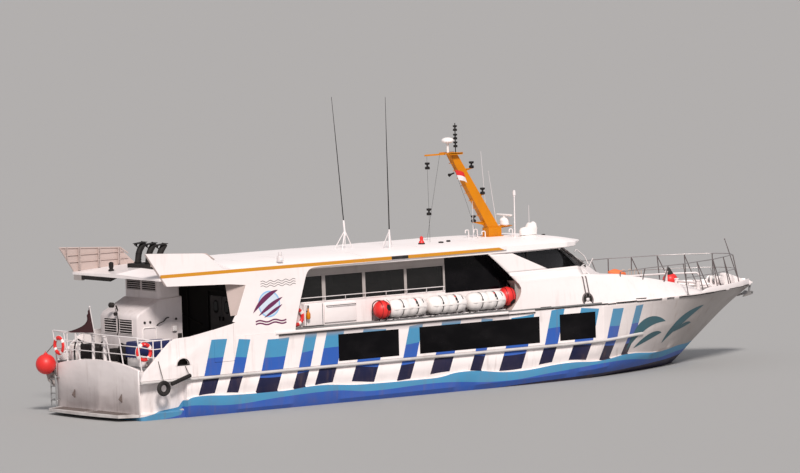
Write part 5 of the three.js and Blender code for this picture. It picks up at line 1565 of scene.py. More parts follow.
# Bollards, mooring lines, hose reel, boxes and the tarp-covered stores on the aft deck
def buildAftDeckGear():
    shape = newShape()
    for side in (-1, 1):
        for x in (-15.05, -14.75):
            addLathe(shape, [(0, 0), (0.1, 0), (0.095, 0.34), (0.125, 0.36), (0.125, 0.41), (0, 0.42)],
                     (x, side * 2.35, 1.945), sides=20)
        addTube(shape, [(-15.12, side * 2.35, 2.2), (-14.68, side * 2.35, 2.2)], 0.03, 10)
    tone(shape, 1)
    # capstan, stowed gear and lockers behind the rail
    addLathe(shape, [(0, 0), (0.26, 0), (0.24, 0.12), (0.13, 0.2), (0.12, 0.42), (0.2, 0.52), (0.22, 0.6),
                     (0, 0.62)], (-15.02, 0.75, aftDeck), sides=24)
    addSoftBox(shape, (-15.15, 1.05, aftDeck), (-14.7, 1.75, 2.62), 0.03)
    addSoftBox(shape, (-15.1, -0.75, aftDeck), (-14.75, -0.15, 2.55), 0.03)
    addLathe(shape, [(0, 0), (0.3, 0.01), (0.3, 0.05), (0.1, 0.06), (0.1, 0.28), (0.3, 0.29), (0.3, 0.33),
                     (0, 0.34)], (-15.05, -1.35, 2.45), (0, 1, 0), 24)
    addBox(shape, (-15.09, -1.33, aftDeck), (-15.01, -1.27, 2.45))
    for y in (0.2, 1.9, -1.05):
        addTube(shape, rounded([(-15.3, y, 1.97), (-15.25, y + 0.1, 2.5), (-15.2, y - 0.05, 2.85),
                                (-15.0, y - 0.15, 2.6), (-14.95, y, 2.0)], 0.2), 0.03, 8)
    tone(shape, 2)
    addSoftBox(shape, (-15.0, 2.0, aftDeck), (-14.4, 2.75, 2.55), 0.05)
    makePiece("aft_deck_gear", shape, ["railWhite", "stackBlack", "whitePlastic"], bevel=0.004)


tarp = {"low": (-15.15, -2.25, aftDeck), "high": (-13.6, -1.42, 2.86), "drop": 0.58, "steps": (34, 48),
        "sag": 0.03, "fold": 0.022, "foldTurn": 16, "stand": 0.02, "lift": 0.012}


# A cloth over a box: it sags a little on top and hangs in shallow folds at the sides
def buildTarp():
    low, high, drop = Vector(tarp["low"]), Vector(tarp["high"]), tarp["drop"]
    box = newShape()
    addSoftBox(box, low, high, 0.03)
    makePiece("stores_box", box, ["whitePlastic"])
    w, l = high.x - low.x, high.y - low.y
    across, along = tarp["steps"]
    rows = []
    for j in range(across + 1):
        row = []
        for i in range(along + 1):
            u = (i / along) * (w + 2 * drop) - drop
            v = (j / across) * (l + 2 * drop) - drop
            outU, outV = max(-u, u - w, 0.0), max(-v, v - l, 0.0)
            down = min(max(outU, outV), drop)
            x = low.x + min(max(u, 0.0), w)
            y = low.y + min(max(v, 0.0), l)
            z = high.z + tarp["lift"] - down
            if down == 0:
                z -= tarp["sag"] * math.sin(math.pi * u / w) * math.sin(math.pi * v / l)
            fold = tarp["fold"] * (down / drop) * math.sin(tarp["foldTurn"] * (u + 1.7 * v))
            stand = tarp["stand"] + fold + 0.01 * down
            if outU > 0:
                x += math.copysign(stand, u)
            if outV > 0:
                y += math.copysign(stand, v)
            row.append((x, y, z))
        rows.append(row)
    cloth = newShape()
    addGrid(cloth, rows)
    item = makePiece("stores_tarp", cloth, ["tarpBlue"], smooth=60)


def buildEnsign():
    staff = newShape()
    foot = Vector((railLean(3.11), 0, 3.11))
    top = Vector((-15.82, 0, 4.15))
    addTube(staff, [foot, top], 0.02, 8)
    addBall(staff, tuple(top), 0.035, 12)
    cloth = newShape()
    steps, columns, length = 26, 16, 1.0
    rows = []
    for j in range(steps + 1):
        t = j / steps
        row = []
        at = foot + (top - foot) * (0.98 - 0.93 * t)
        for i in range(columns + 1):
            s = i / columns
            # gathered along the staff: the far edge hangs down in folds
            wave = 0.03 * math.sin(5 * math.pi * s + 1.2 * t) * s ** 0.5
            reach = s * (0.12 + 1.2 * t ** 2.4)
            low = max(at.z - 0.35 * (1 - t) * s ** 1.3, 3.13 + 0.01 * s)
            row.append((at.x - 0.024 - 0.42 * reach, at.y + 0.85 * reach + wave * (1 - t), low))
        rows.append(row)
    addGrid(cloth, rows)
    makePiece("ensign_staff", staff, ["railWhite"], replaces="ensign")
    item = makePiece("ensign_cloth", cloth, ["flagDark"], smooth=60)


# Fender ropes, drawn taut: where each leaves the boat, where it meets its fender, and its radius
fenderRopes = {
    "tyre_rope": ((-14.88, -3.082, 2.2), (-14.8, -3.27, 1.48), 0.014),
    "roll_rope": ((-13.68, -3.082, 1.94), (-13.6, -3.26, 1.58), 0.014),
    "ball_rope": ((-15.567, 2.85, 2.62), (-15.96, 2.9, 2.24), 0.016),
}
ropePoints = 18
fender = {"tyre": (-14.8, -3.28, 1.2), "tyreRing": 0.21, "tyreThick": 0.084, "rollAft": (-14.46, -3.27, 1.33),
          "rollFore": (-13.56, -3.26, 1.6), "ball": (-15.96, 2.9, 1.85), "ballRadius": 0.385}


def addCord(name, path, radius, finishName):
    shape = newShape()
    addTube(shape, path, radius, 10)
    item = makePiece(name, shape, [finishName], smooth=60)


def buildFenders():
    tyre = newShape()
    (x, y, z), ring, thick = fender["tyre"], fender["tyreRing"], fender["tyreThick"]
    rings = []
    for i, (cosine, sine) in enumerate(turnPoints(72)):
        # every third row of the tread is cut a little lower
        reach = [ring + thick * c * (0.97 if c > 0.75 and i % 3 == 0 else 1.0) for c, _ in turnPoints(20)]
        rings.append([(x + r * cosine, y + thick * 0.95 * s, z + r * sine)
                      for r, (_, s) in zip(reach, turnPoints(20))])
    addLoft(tyre, rings, True)
    for r in (0.25, 0.17):
        addRing(tyre, (x, y - thick * 0.86, z), r, 0.008, (0, 1, 0), 48, 6)
    makePiece("tyre_fender_body", tyre, ["rubberBlack"], replaces="tyre_fender")
    roll = newShape()
    aft, fore = Vector(fender["rollAft"]), Vector(fender["rollFore"])
    length = (fore - aft).length
    ribs = [(0.08 - 0.006 * (k % 2), 0.06 + k * (length - 0.12) / 24) for k in range(25)]
    addLathe(roll, [(0, 0), (0.05, 0.0), (0.075, 0.02), (0.08, 0.05), *ribs, (0.08, length - 0.05),
                    (0.075, length - 0.02), (0.05, length), (0, length)], aft, fore - aft, 18)
    makePiece("roll_fender_body", roll, ["rubberBlack"], replaces="roll_fender")
    ball = newShape()
    x, y, z = fender["ball"]
    addBall(ball, (x, y, z), fender["ballRadius"], 40)
    addLathe(ball, [(0, 0), (0.09, 0), (0.08, 0.05), (0.05, 0.07), (0, 0.07)], (x, y, z + 0.35), sides=16)
    addRing(ball, (x, y, z + 0.44), 0.035, 0.012, (1, 0, 0), 16, 6)
    makePiece("ball_fender_body", ball, ["buoyRed"], replaces="ball_fender")
    for name, (start, end, radius) in fenderRopes.items():
        path = [Vector(start).lerp(Vector(end), k / (ropePoints - 1)) for k in range(ropePoints)]
        addCord(name, path, radius, "ropeGrey")


def buildTransomDetails():
    shape = newShape()
    deck = [(-15.552, -2.7), (-16.25, -2.35), (-16.38, -1.2), (-16.42, 0), (-16.38, 1.2), (-16.25, 2.35),
            (-15.552, 2.7)]
    addPrism(shape, deck, 2, 0.13, 0.24)
    tone(shape, 1)
    addPrism(shape, [(-15.62, -2.3), (-16.18, -2.3 * 0.96), (-16.22, -0.1), (-15.62, -0.1)], 2, 0.24, 0.252)
    addPrism(shape, [(-15.62, 0.1), (-16.18, 0.1), (-16.22, 2.3 * 0.96), (-15.62, 2.3)], 2, 0.24, 0.252)
    for y in (-1.58, 1.58):
        addPrism(shape, [(-15.56, 0.62), (-15.7, 0.75), (-15.56, 0.95)], 1, y - 0.02, y + 0.02)
    tone(shape, 2)
    addPrism(shape, [(-15.8, 1.2), (-15.52, 0.95), (-15.52, 2.05), (-15.75, 1.95), (-15.92, 1.6)], 1, 2.98,
             3.04)
    makePiece("stern_platform_deck", shape, ["railGrey", "deckDark", "shadePaint"], replaces="stern_platform",
              bevel=0.008)
    ladder = newShape()
    for y in (2.62, 2.96):
        addTube(ladder, rounded([(-15.56, y, 1.32), (-15.72, y, 1.38), (-15.72, y, 0.26)], 0.06), 0.026, 10)
        addTube(ladder, [(-15.72, y, 0.5), (-15.56, y, 0.5)], 0.02, 8)
    for z in (0.48, 0.74, 1.0, 1.26):
        addSoftBox(ladder, (-15.755, 2.62, z - 0.02), (-15.685, 2.96, z + 0.02), 0.01, 2)
    makePiece("stern_ladder_steps", ladder, ["galvanised"], replaces="stern_ladder")


# Air trunk: rounded casing, louvre panels with slats, lamps and hoses on it; the casing and slats are white
# darkened as painted shade from the canopy
casing = {"y": 1.23, "aft": -14.555, "fore": -12.5, "deck": 1.951, "knee": 3.62, "upperAft": -13.465,
          "upperY": 1.155}


def buildCasing():
    c = casing
    shape = newShape()
    profile = [(c["fore"], c["deck"]), (c["aft"], c["deck"]), (c["aft"], c["knee"])]
    profile += [(c["aft"] + 0.27 * (1 - math.cos(a)), c["knee"] + 0.27 * math.sin(a))
                for a in (math.pi / 2 * k / 6 for k in range(1, 6))]
    profile += [(-14.2, 3.96), (c["upperAft"], 4.33), (c["fore"], 4.39)]
    rings = []
    for y, inset in ((-c["y"], 0.06), (-c["y"] + 0.015, 0.02), (-c["y"] + 0.06, 0.0), (c["y"] - 0.06, 0.0),
                     (c["y"] - 0.015, 0.02), (c["y"], 0.06)):
        rings.append([(x + (inset if x < -12.6 else 0), y, z - (inset if z > 3.5 else 0))
                      for x, z in profile])
    addLoft(shape, rings)
    addSoftBox(shape, (c["upperAft"], -c["upperY"], 4.25), (c["fore"], c["upperY"], 5.148), 0.12, 5)
    panels = ((c["aft"], 3.05, 3.6, 6, 0.1, 0.93), (c["upperAft"], 4.62, 5.08, 6, 0.05, 0.96))
    slats = []
    for x, z0, z1, count, y0, y1 in panels:
        slats.append([])
        for side in (-1, 1):
            low, high = sorted((side * y0, side * y1))
            tone(shape, 1)
            addBox(shape, (x - 0.006, low, z0), (x + 0.02, high, z1))
            tone(shape, 0)
            for a, b, p, q in ((low - 0.02, low, z0, z1), (high, high + 0.02, z0, z1),
                               (low - 0.02, high + 0.02, z0 - 0.02, z0),
                               (low - 0.02, high + 0.02, z1, z1 + 0.02)):
                addBox(shape, (x - 0.022, a, p), (x + 0.01, b, q))
            step = (z1 - z0) / count
            for k in range(count):
                slats[-1].append(((x - 0.012, (low + high) / 2, z0 + (k + 0.35) * step), (-0.5, 0, 0.86)))
    makePiece("vent_casing_shell", shape, ["casingShadePaint", "stackBlack"], replaces="vent_casing", smooth=45)
    for k, (*_, y0, y1) in enumerate(panels):
        repeatSlats(f"vent_slats_{k}", slats[k], (0.032, y1 - y0, 0.008), "casingShadePaint")
    gear = newShape()
    # searchlight and its cable on the shoulder, black lamp on the canopy
    addLathe(gear, [(0, 0), (0.08, 0), (0.1, 0.04), (0.1, 0.16), (0.06, 0.2), (0, 0.2)], (-14.62, 0.18, 4.12),
             (-1, 0.2, 0.1), 18)
    addTube(gear, [(-14.45, 0.18, 3.9), (-14.52, 0.18, 4.1)], 0.03, 8)
    addLathe(gear, [(0, 0), (0.05, 0), (0.07, 0.03), (0.07, 0.12), (0, 0.13)], (-14.6, 0.0, 3.8), (-1, 0, 0),
             14)
    addTube(gear, rounded([(-14.5, 0.16, 4.05), (-14.62, 0.1, 3.95), (-14.6, 0.02, 3.85), (-14.58, 0.0, 3.7),
                           (-14.575, 0.0, 3.1)], 0.05), 0.012, 6)
    addTube(gear, rounded([(-14.57, -0.05, 3.62), (-14.575, -0.05, 3.3), (-14.58, 0.05, 3.0)], 0.05), 0.02, 6)
    for x, z in ((-14.2, 3.5), (-13.95, 3.5), (-12.78, 3.55)):
        addLathe(gear, [(0, 0), (0.05, 0), (0.045, 0.03), (0, 0.035)], (x, -c["y"], z), (0, -1, 0), 14)
    addTube(gear, rounded([(-13.65, -1.23, 3.36), (-13.6, -1.33, 3.44), (-13.4, -1.33, 3.5),
                           (-13.28, -1.33, 3.62), (-13.1, -1.23, 3.62)], 0.05), 0.022, 8)
    addSoftBox(gear, (-12.72, -1.3, 2.5), (-12.56, -1.22, 3.0), 0.02)
    tone(gear, 1)
    addSoftBox(gear, (-12.98, -1.33, 3.1), (-12.8, -1.22, 3.3), 0.02)
    addTube(gear, rounded([(-14.3, -1.25, 2.2), (-14.3, -1.25, 3.3), (-13.7, -1.25, 3.3),
                           (-13.7, -1.25, 2.0)], 0.1), 0.018, 8)
    tone(gear, 0)
    addLathe(gear, [(0, 0), (0.11, 0.0), (0.11, 0.05), (0.07, 0.08), (0.09, 0.16), (0.09, 0.3), (0.05, 0.34),
                    (0, 0.34)], (-14.1, 1.05, 5.33), sides=18)
    makePiece("casing_fittings", gear, ["stackBlack", "whitePlastic"])


def buildStacks():
    shape = newShape()
    addSoftBox(shape, (-13.45, -0.95, 5.3), (-12.65, 0.95, 5.58), 0.03)
    for y in (-0.7, 0.0, 0.7):
        addTube(shape, rounded([(-13.13, y, 5.57), (-13.06, y, 6.02), (-12.83, y, 6.33)], 0.16, 6), 0.118, 20)
        addLathe(shape, [(0, 0), (0.15, 0), (0.15, 0.03), (0, 0.03)], (-13.125, y, 5.6), sides=20)
        for z in (5.72, 5.94):
            addRing(shape, (-13.1 + (z - 5.7) * 0.12, y, z), 0.118, 0.012, (0.15, 0, 1), 24, 6)
        # hinged rain flap over the tilted mouth
        flap = [(-13.22, 6.3), (-12.8, 6.34), (-12.76, 6.37), (-13.22, 6.325)]
        addPrism(shape, flap, 1, y - 0.16, y + 0.16)
        addPrism(shape, [(-13.26, 6.28), (-13.16, 6.2), (-13.14, 6.29), (-13.22, 6.34)], 1, y - 0.04,
                 y + 0.04)
        addTube(shape, [(-13.16, y, 6.22), (-13.0, y, 6.1)], 0.02, 8)
    makePiece("stack_pipes", shape, ["stackBlack"], replaces="exhaust_stacks", bevel=0.004, smooth=40)


# Bulkhead furniture seen from astern: frames round the doors, oval panes, rails and hoses
def buildBulkheadDetails():
    shape = newShape()
    for side in (-1, 1):
        addBox(shape, (-9.9, side * 0.86 - 0.03, 2.05), (-9.852, side * 0.86 + 0.03, 4.36))
        addTube(shape, [(-9.9, side * 2.2, 2.6), (-9.9, side * 2.2, 4.6)], 0.03, 8)
        addTube(shape, [(-9.9, side * 1.3, 3.0), (-9.9, side * 2.6, 3.35)], 0.03, 8)
    addBox(shape, (-9.9, -0.89, 4.3), (-9.852, 0.89, 4.36))
    makePiece("bulkhead_frames", shape, ["stackBlack"], bevel=0.004)
    for side, label in bothSides:
        pane = newShape()
        for reach, x0, x1 in ((1.25, -9.862, -9.851), (1.0, -9.87, -9.86)):
            tone(pane, 0 if reach > 1 else 1)
            oval = []
            for k in range(28):
                a = 2 * math.pi * (k + 0.5) / 28
                rise = 0.08 * math.copysign(1, math.sin(a)) + 0.12 * math.sin(a)
                oval.append((side * 0.37 + 0.125 * reach * math.cos(a), 3.72 + rise * reach))
            addPrism(pane, oval, 0, x0, x1)
        tone(pane, 0)
        for z in (2.6, 3.2):
            addSoftBox(pane, (-9.9, side * 0.12 - 0.02, z), (-9.851, side * 0.12 + 0.02, z + 0.16), 0.012)
        makePiece(f"door_pane_{label}", pane, ["stackBlack", "blackGlass"], body=f"door_{label}")


buildSternRail()
buildAftDeckGear()
buildTarp()
buildEnsign()
buildFenders()
buildTransomDetails()
buildCasing()
buildStacks()
buildBulkheadDetails()
print("stern made")

# Life rafts on their cradles, with the fender balls at either end

raft = {"centres": (-3.2, -1.33, 0.54), "y": 2.708, "z": 3.375, "half": 0.87, "radius": 0.335, "rib": 0.357,
        "ribs": (-0.5, -0.17, 0.17, 0.5), "ribHalf": 0.07, "rail": (-4.45, 1.46), "railZ": 2.965,
        "balls": ((-4.33, 3.37, 0.35), (1.58, 3.47, 0.36)), "ballY": 2.72, "straps": (-0.34, 0.34),
        "saddles": (-0.43, 0.43), "hooks": ((-4.5, 0.3), (-4.2, 0.35), (-2.6, 0.5), (-2.2, 0.3), (-0.7, 0.45),
                                            (-0.3, 0.3))}


def raftProfile():
    r, half = raft["radius"], raft["half"]
    profile = [(0, 0), (0.19, 0.0), (0.215, 0.02), (0.275, 0.06), (r - 0.012, 0.15), (r, 0.17)]
    for place in raft["ribs"]:
        middle = half + place
        for reach, offset in ((r, -0.11), (raft["rib"], -raft["ribHalf"]), (raft["rib"], raft["ribHalf"]),
                              (r, 0.11)):
            profile.append((reach, middle + offset))
    profile += [(r, 2 * half - 0.17), (r - 0.012, 2 * half - 0.15), (0.275, 2 * half - 0.06)]
    return profile + [(0.215, 2 * half - 0.02), (0.19, 2 * half), (0, 2 * half)]


# A label or strap that follows the shell between two angles from its top
def addShellBand(shape, x, half, radius, start, end, side, thick=0.004, steps=10):
    rings = []
    for k in range(steps + 1):
        a = start + (end - start) * k / steps
        row = []
        for dx, r in ((-half, radius), (half, radius), (half, radius + thick), (-half, radius + thick)):
            row.append((x + dx, side * (raft["y"] + r * math.sin(a)), raft["z"] + r * math.cos(a)))
        rings.append(row)
    addLoft(shape, rings)


def buildRafts(side, label):
    shape = newShape()
    r = raft
    for index, centre in enumerate(r["centres"]):
        tone(shape, 0)
        addLathe(shape, raftProfile(), (centre - r["half"], side * r["y"], r["z"]), (1, 0, 0), 28)
        # the flange where the two half shells meet
        rim = [(centre - 0.85, 0.22), (centre - 0.72, 0.362), (centre + 0.72, 0.362), (centre + 0.85, 0.22)]
        rim += [(x, -reach) for x, reach in reversed(rim)]
        addPrism(shape, [(x, side * r["y"] + reach) for x, reach in rim], 2, r["z"] - 0.03, r["z"] + 0.03)
        tone(shape, 1)
        for x in (centre + dx for dx in r["straps"]):
            addShellBand(shape, x, 0.018, r["radius"] + 0.003, -2.5, 2.5, side, steps=24)
            addSideBox(shape, side, (x - 0.03, x + 0.03), (r["y"] + 0.31, r["y"] + 0.35),
                       (r["z"] + 0.02, r["z"] + 0.1), 0.008, 2)
        tone(shape, 2)
        addShellBand(shape, centre + 0.27, 0.045, r["radius"] + 0.004, 0.5, 0.75, side)
        tone(shape, 1)
        addShellBand(shape, centre + 0.27, 0.045, r["radius"] + 0.004, 0.82, 1.2, side)
        addShellBand(shape, centre + 0.6, 0.03, r["radius"] + 0.004, 0.6, 1.1, side)
        # cradle: bent tubes under the shell and a foot down to the rail
        tone(shape, 3)
        for x in (centre + dx for dx in r["saddles"]):
            saddle = [(x, side * (r["y"] + 0.345 * math.sin(a)), r["z"] - 0.352 * math.cos(a))
                      for a in (-0.95 + 1.9 * k / 10 for k in range(11))]
            addTube(shape, saddle, 0.018, 8)
            for dy in (-0.09, 0.1):
                addTube(shape, [(x, side * (r["y"] + dy), 2.96), (x, side * (r["y"] + 1.6 * dy), 3.0)], 0.02,
                        8)
            addTube(shape, [(x, side * 2.6, 2.75), (x, side * 2.69, 2.96)], 0.022, 8)
        if index < 2:
            gap = (centre + r["centres"][index + 1]) / 2
            addSideBox(shape, side, (gap - 0.05, gap + 0.05), (2.5, 2.62), (2.97, 3.5))
    tone(shape, 3)
    for y in (2.62, 2.76):
        addTube(shape, [(r["rail"][0], side * y, r["railZ"]), (r["rail"][1], side * y, r["railZ"])], 0.022, 8)
    for x in (-4.45, -4.05, 1.2, 1.46):
        addTube(shape, rounded([(x, side * 2.62, r["railZ"]), (x, side * 2.6, 3.3), (x, side * 2.6, 3.64)],
                               0.05), 0.018, 8)
    # fender balls with black collars and the lines that hold them
    for index, (x, z, radius) in enumerate(r["balls"]):
        tone(shape, 2)
        addBall(shape, (x, side * r["ballY"], z), radius, 36)
        tone(shape, 1)
        lean = Vector((0.25, side * 0.75, -0.62 if index else 0.2)).normalized()
        addLathe(shape, [(0, 0.02), (0.13, 0.0), (0.1, 0.03), (0.05, 0.035), (0, 0.03)],
                 Vector((x, side * r["ballY"], z)) + lean * (radius - 0.03), lean, 20)
        for turn in (-0.5, 0.1, 0.6):
            reach = radius * 1.02
            loop = [(x + reach * math.sin(turn), side * (r["ballY"] + reach * math.cos(turn) * math.sin(a)),
                     z + reach * math.cos(a)) for a in (math.pi * k / 24 for k in range(25))]
            addTube(shape, loop, 0.008, 6)
    # hanging lashings and hoses under the rafts
    for x, reach in r["hooks"]:
        addTube(shape, rounded([(x, side * 2.6, 3.02), (x + 0.12, side * 2.86, 2.93),
                                (x + reach, side * 2.84, 2.98), (x + reach + 0.05, side * 2.6, 3.06)], 0.08),
                0.014, 6)
    addTube(shape, rounded([(-4.62, side * 2.5, 2.97), (-4.66, side * 2.55, 3.6), (-4.5, side * 2.6, 3.72),
                            (-4.3, side * 2.66, 3.7)], 0.12), 0.02, 8)
    makePiece(f"rafts_{label}", shape, ["whitePlastic", "rubberBlack", "buoyRed", "railWhite"],
              replaces=f"liferafts_{label}", smooth=50)


# Ring buoy with its float light on the saloon wall
def buildWallBuoy(side, label):
    shape = newShape()
    addBuoy(shape, (-8.13, side * 2.44, 3.34), (0, 1, 0), 1)
    tone(shape, 2)
    addLathe(shape, [(0, 0), (0.06, 0), (0.085, 0.05), (0.085, 0.2), (0.05, 0.27), (0.03, 0.3), (0.03, 0.42),
                     (0, 0.43)], (-7.72, side * 2.66, 3.24), sides=18)
    tone(shape, 3)
    addLathe(shape, [(0, 0), (0.03, 0), (0.035, 0.1), (0.0, 0.14)], (-7.72, side * 2.66, 3.64), sides=12)
    addTube(shape, [(-7.72, side * 2.5, 3.54), (-7.72, side * 2.66, 3.54)], 0.02, 8)
    addTube(shape, [(-8.13, side * 2.3, 3.62), (-8.13, side * 2.46, 3.64)], 0.02, 8)
    makePiece(f"wall_buoy_{label}", shape, ["buoyRed", "whitePlastic", "mastOrange", "rubberBlack"])


# Aerials, mast and the things on the roof

# The beam's after and forward face, height and half breadth at its foot and head
mastBeam = {"foot": (2.7, 3.23, 5.9, 0.145), "head": (0.93, 1.29, 8.9, 0.12), "rungs": 9,
            "pole": (1.32, 8.93, 10.07), "poleLights": (9.25, 9.55, 9.88)}
# Lanterns before the mast: place, height and where their bracket meets the mast
lanternPlaces = ((2.06, 8.42, 1.4), (2.56, 7.37, 2.0), (2.09, 6.32, 2.8))


def addLantern(shape, x, y, z, size=1.0):
    tone(shape, 1)
    wide = 1.5 * size
    for rows in (((0, -0.14), (0.062, -0.14), (0.065, -0.06), (0.045, -0.035), (0, -0.03)),
                 ((0, 0.03), (0.045, 0.035), (0.065, 0.06), (0.062, 0.12), (0, 0.125))):
        addLathe(shape, [(r * wide, h * size) for r, h in rows], (x, y, z), sides=18)
    tone(shape, 2)
    addLathe(shape, [(0, -0.035 * size), (0.036 * size, -0.035 * size), (0.036 * size, 0.035 * size),
                     (0, 0.035 * size)], (x, y, z), sides=16)


def buildMast():
    shape = newShape()
    rings = []
    for t in spread(0.0, 1.0, 9):
        aft, fore, z, y = (a + (b - a) * t for a, b in zip(mastBeam["foot"], mastBeam["head"]))
        rings.append([(aft, -y, z), (fore, -y, z), (fore, y, z), (aft, y, z)])
    addLoft(shape, rings)
    top = roofTopAt(2.9, 0)
    addBox(shape, (2.66, -0.21, top - 0.02), (3.27, 0.21, 5.93))
    addBox(shape, (2.6, -0.27, top - 0.02), (3.33, 0.27, top + 0.025))
    addBox(shape, (0.74, -0.3, 8.89), (1.46, 0.3, 8.93))
    addPrism(shape, [(-0.15, -0.035), (0.8, -0.04), (0.8, 0.04), (-0.15, 0.035)], 2, 8.865, 8.925)
    for y in (-0.29, 0.29):
        addBox(shape, (0.76, y - 0.01, 8.86), (1.44, y + 0.01, 8.95))
    # gusset plates under the head, brackets for the lanterns and the scanner
    addPrism(shape, [(0.95, 8.89), (1.4, 8.89), (1.2, 8.5)], 1, -0.012, 0.012)
    addPrism(shape, [(3.0, 5.8), (3.25, 5.86), (3.85, 5.9), (3.85, 5.93), (3.05, 5.93)], 1, -0.02, 0.02)
    addBox(shape, (3.0, -0.15, 5.93), (3.85, 0.15, 5.96))
    for x, z, root in lanternPlaces:
        addBox(shape, (min(x - 0.06, root), -0.035, z - 0.16), (max(x + 0.06, root), 0.035, z - 0.14))
        addPrism(shape, [(root, z - 0.16), (x, z - 0.16), (root, z - 0.36)], 1, -0.01, 0.01)
        addLathe(shape, [(0, 0), (0.075, 0), (0.075, 0.015), (0, 0.015)], (x, 0, z - 0.145), sides=18)
    # ladder rungs up the after face
    for k in range(mastBeam["rungs"]):
        t = 0.08 + 0.1 * k
        x, z = mastBeam["foot"][0] * (1 - t) + mastBeam["head"][0] * t, 5.9 + 3.0 * t
        addTube(shape, rounded([(x, -0.1, z), (x - 0.09, -0.1, z - 0.03), (x - 0.09, 0.1, z - 0.03),
                                (x, 0.1, z)], 0.02), 0.009, 6)
    for x, z, _ in lanternPlaces:
        addLantern(shape, x, 0, z)
    # pole over the head with three lights on it
    tone(shape, 1)
    x, foot, head = mastBeam["pole"]
    addTube(shape, [(x, 0, foot), (x, 0, head)], 0.02, 8)
    for z in mastBeam["poleLights"]:
        addLantern(shape, x, 0, z, 0.85)
    tone(shape, 1)
    addLathe(shape, [(0, 0), (0.03, 0), (0.03, 0.14), (0.07, 0.26), (0, 0.27)], (1.22, 0, 8.14),
             (-1, 0, -0.3), 16)
    tone(shape, 3)
    addLathe(shape, [(0, 0), (0.14, 0), (0.19, 0.05), (0.195, 0.22), (0.14, 0.3), (0.1, 0.318), (0, 0.318)],
             (3.58, 0, 5.95), sides=28)
    addTube(shape, rounded([(3.42, 0.05, 5.99), (3.2, 0.1, 5.97), (3.1, 0.12, 5.6)], 0.05), 0.014, 6)
    makePiece("mast_and_lights", shape, ["mastOrange", "stackBlack", "darkPanel", "whitePlastic"],
              replaces="mast", bevel=0.008, smooth=35)
    scanner = newShape()
    addSoftBox(scanner, (3.522, -0.478, 6.322), (3.638, 0.478, 6.408), 0.04, 4)
    addLathe(scanner, [(0, 0), (0.06, 0), (0.06, 0.03), (0.05, 0.06), (0, 0.06)], (3.58, 0, 6.2703), sides=24)
    makePiece("scanner_bar", scanner, ["whitePlastic"], body="scanner", replaces="radar_scanner", smooth=45)
    dome = newShape()
    addLathe(dome, [(0, 0), (0.05, 0), (0.045, 0.05), (0.045, 0.35), (0.1, 0.365), (0.18, 0.385),
                    (0.23, 0.41), (0.245, 0.45), (0.24, 0.49), (0.21, 0.53), (0.15, 0.56), (0.08, 0.58),
                    (0, 0.585)], (0.95, 0, 8.9505), sides=36)
    makePiece("radome_shell", dome, ["whitePlastic"], replaces="radome", smooth=60)


aerials = {"aftTop": (-4.04, 0, 6.25), "aftLegs": ((-4.35, -0.25), (-4.35, 0.25), (-3.7, 0.0)),
           "side": (-3.02, -1.5), "sideLegs": ((-0.3, 0.1), (0.3, 0.25), (0.0, 0.4)), "pole": (3.32, -1.0)}


def buildAerials():
    white = newShape()
    top = aerials["aftTop"]
    for x, y in aerials["aftLegs"]:
        addTube(white, [(x, y, roofTopAt(x, y) - 0.01), top], 0.02, 8)
        addLathe(white, [(0, 0), (0.06, 0), (0.06, 0.012), (0, 0.014)], (x, y, roofTopAt(x, y) - 0.004),
                 sides=16)
    addLathe(white, [(0, 0), (0.04, 0), (0.04, 0.55), (0.024, 0.6), (0, 0.6)], (-4.03, 0, 6.05),
             Vector((-0.085, 0, 1)), 14)
    addTube(white, [(-4.04, 0, 5.7), top], 0.02, 8)
    tone(white, 1)
    addTube(white, [(-4.07, 0, 6.5), (-4.3, 0, 9.3), (-4.48, 0, 11.39)], [0.02, 0.015, 0.008], 8)
    makePiece("aft_whip", white, ["railWhite", "stackBlack"], replaces="aft_aerial")
    dark = newShape()
    x, y = aerials["side"]
    foot = roofTopAt(x, y)
    addTube(dark, [(x, y, foot - 0.01), (x, y, 7.2), (x - 0.01, y, 9.4), (x - 0.01, y, 11.35)],
            [0.024, 0.022, 0.015, 0.007], 8)
    tone(dark, 1)
    addLathe(dark, [(0, 0), (0.05, 0), (0.04, 0.5), (0.028, 0.72), (0, 0.72)], (x, y, foot), sides=14)
    for dx, dy in aerials["sideLegs"]:
        addTube(dark, [(x + dx, y + dy, roofTopAt(x + dx, y + dy)), (x, y, foot + 0.68)], 0.012, 6)
    makePiece("side_whip", dark, ["stackBlack", "railWhite"], replaces="side_aerial")
    pole = newShape()
    x, y = aerials["pole"]
    foot = roofTopAt(x, y)
    addTube(pole, [(x, y, foot - 0.01), (x + 0.02, y, 7.12)], 0.026, 10)
    addLathe(pole, [(0, 0), (0.07, 0), (0.065, 0.02), (0, 0.02)], (x, y, foot), sides=18)
    addLathe(pole, [(0, 0), (0.035, 0), (0.035, 0.05), (0.06, 0.08), (0.06, 0.2), (0.045, 0.26), (0, 0.28)],
             (x + 0.02, y, 7.11), sides=20)
    makePiece("light_pole_post", pole, ["railWhite"], replaces="light_pole")


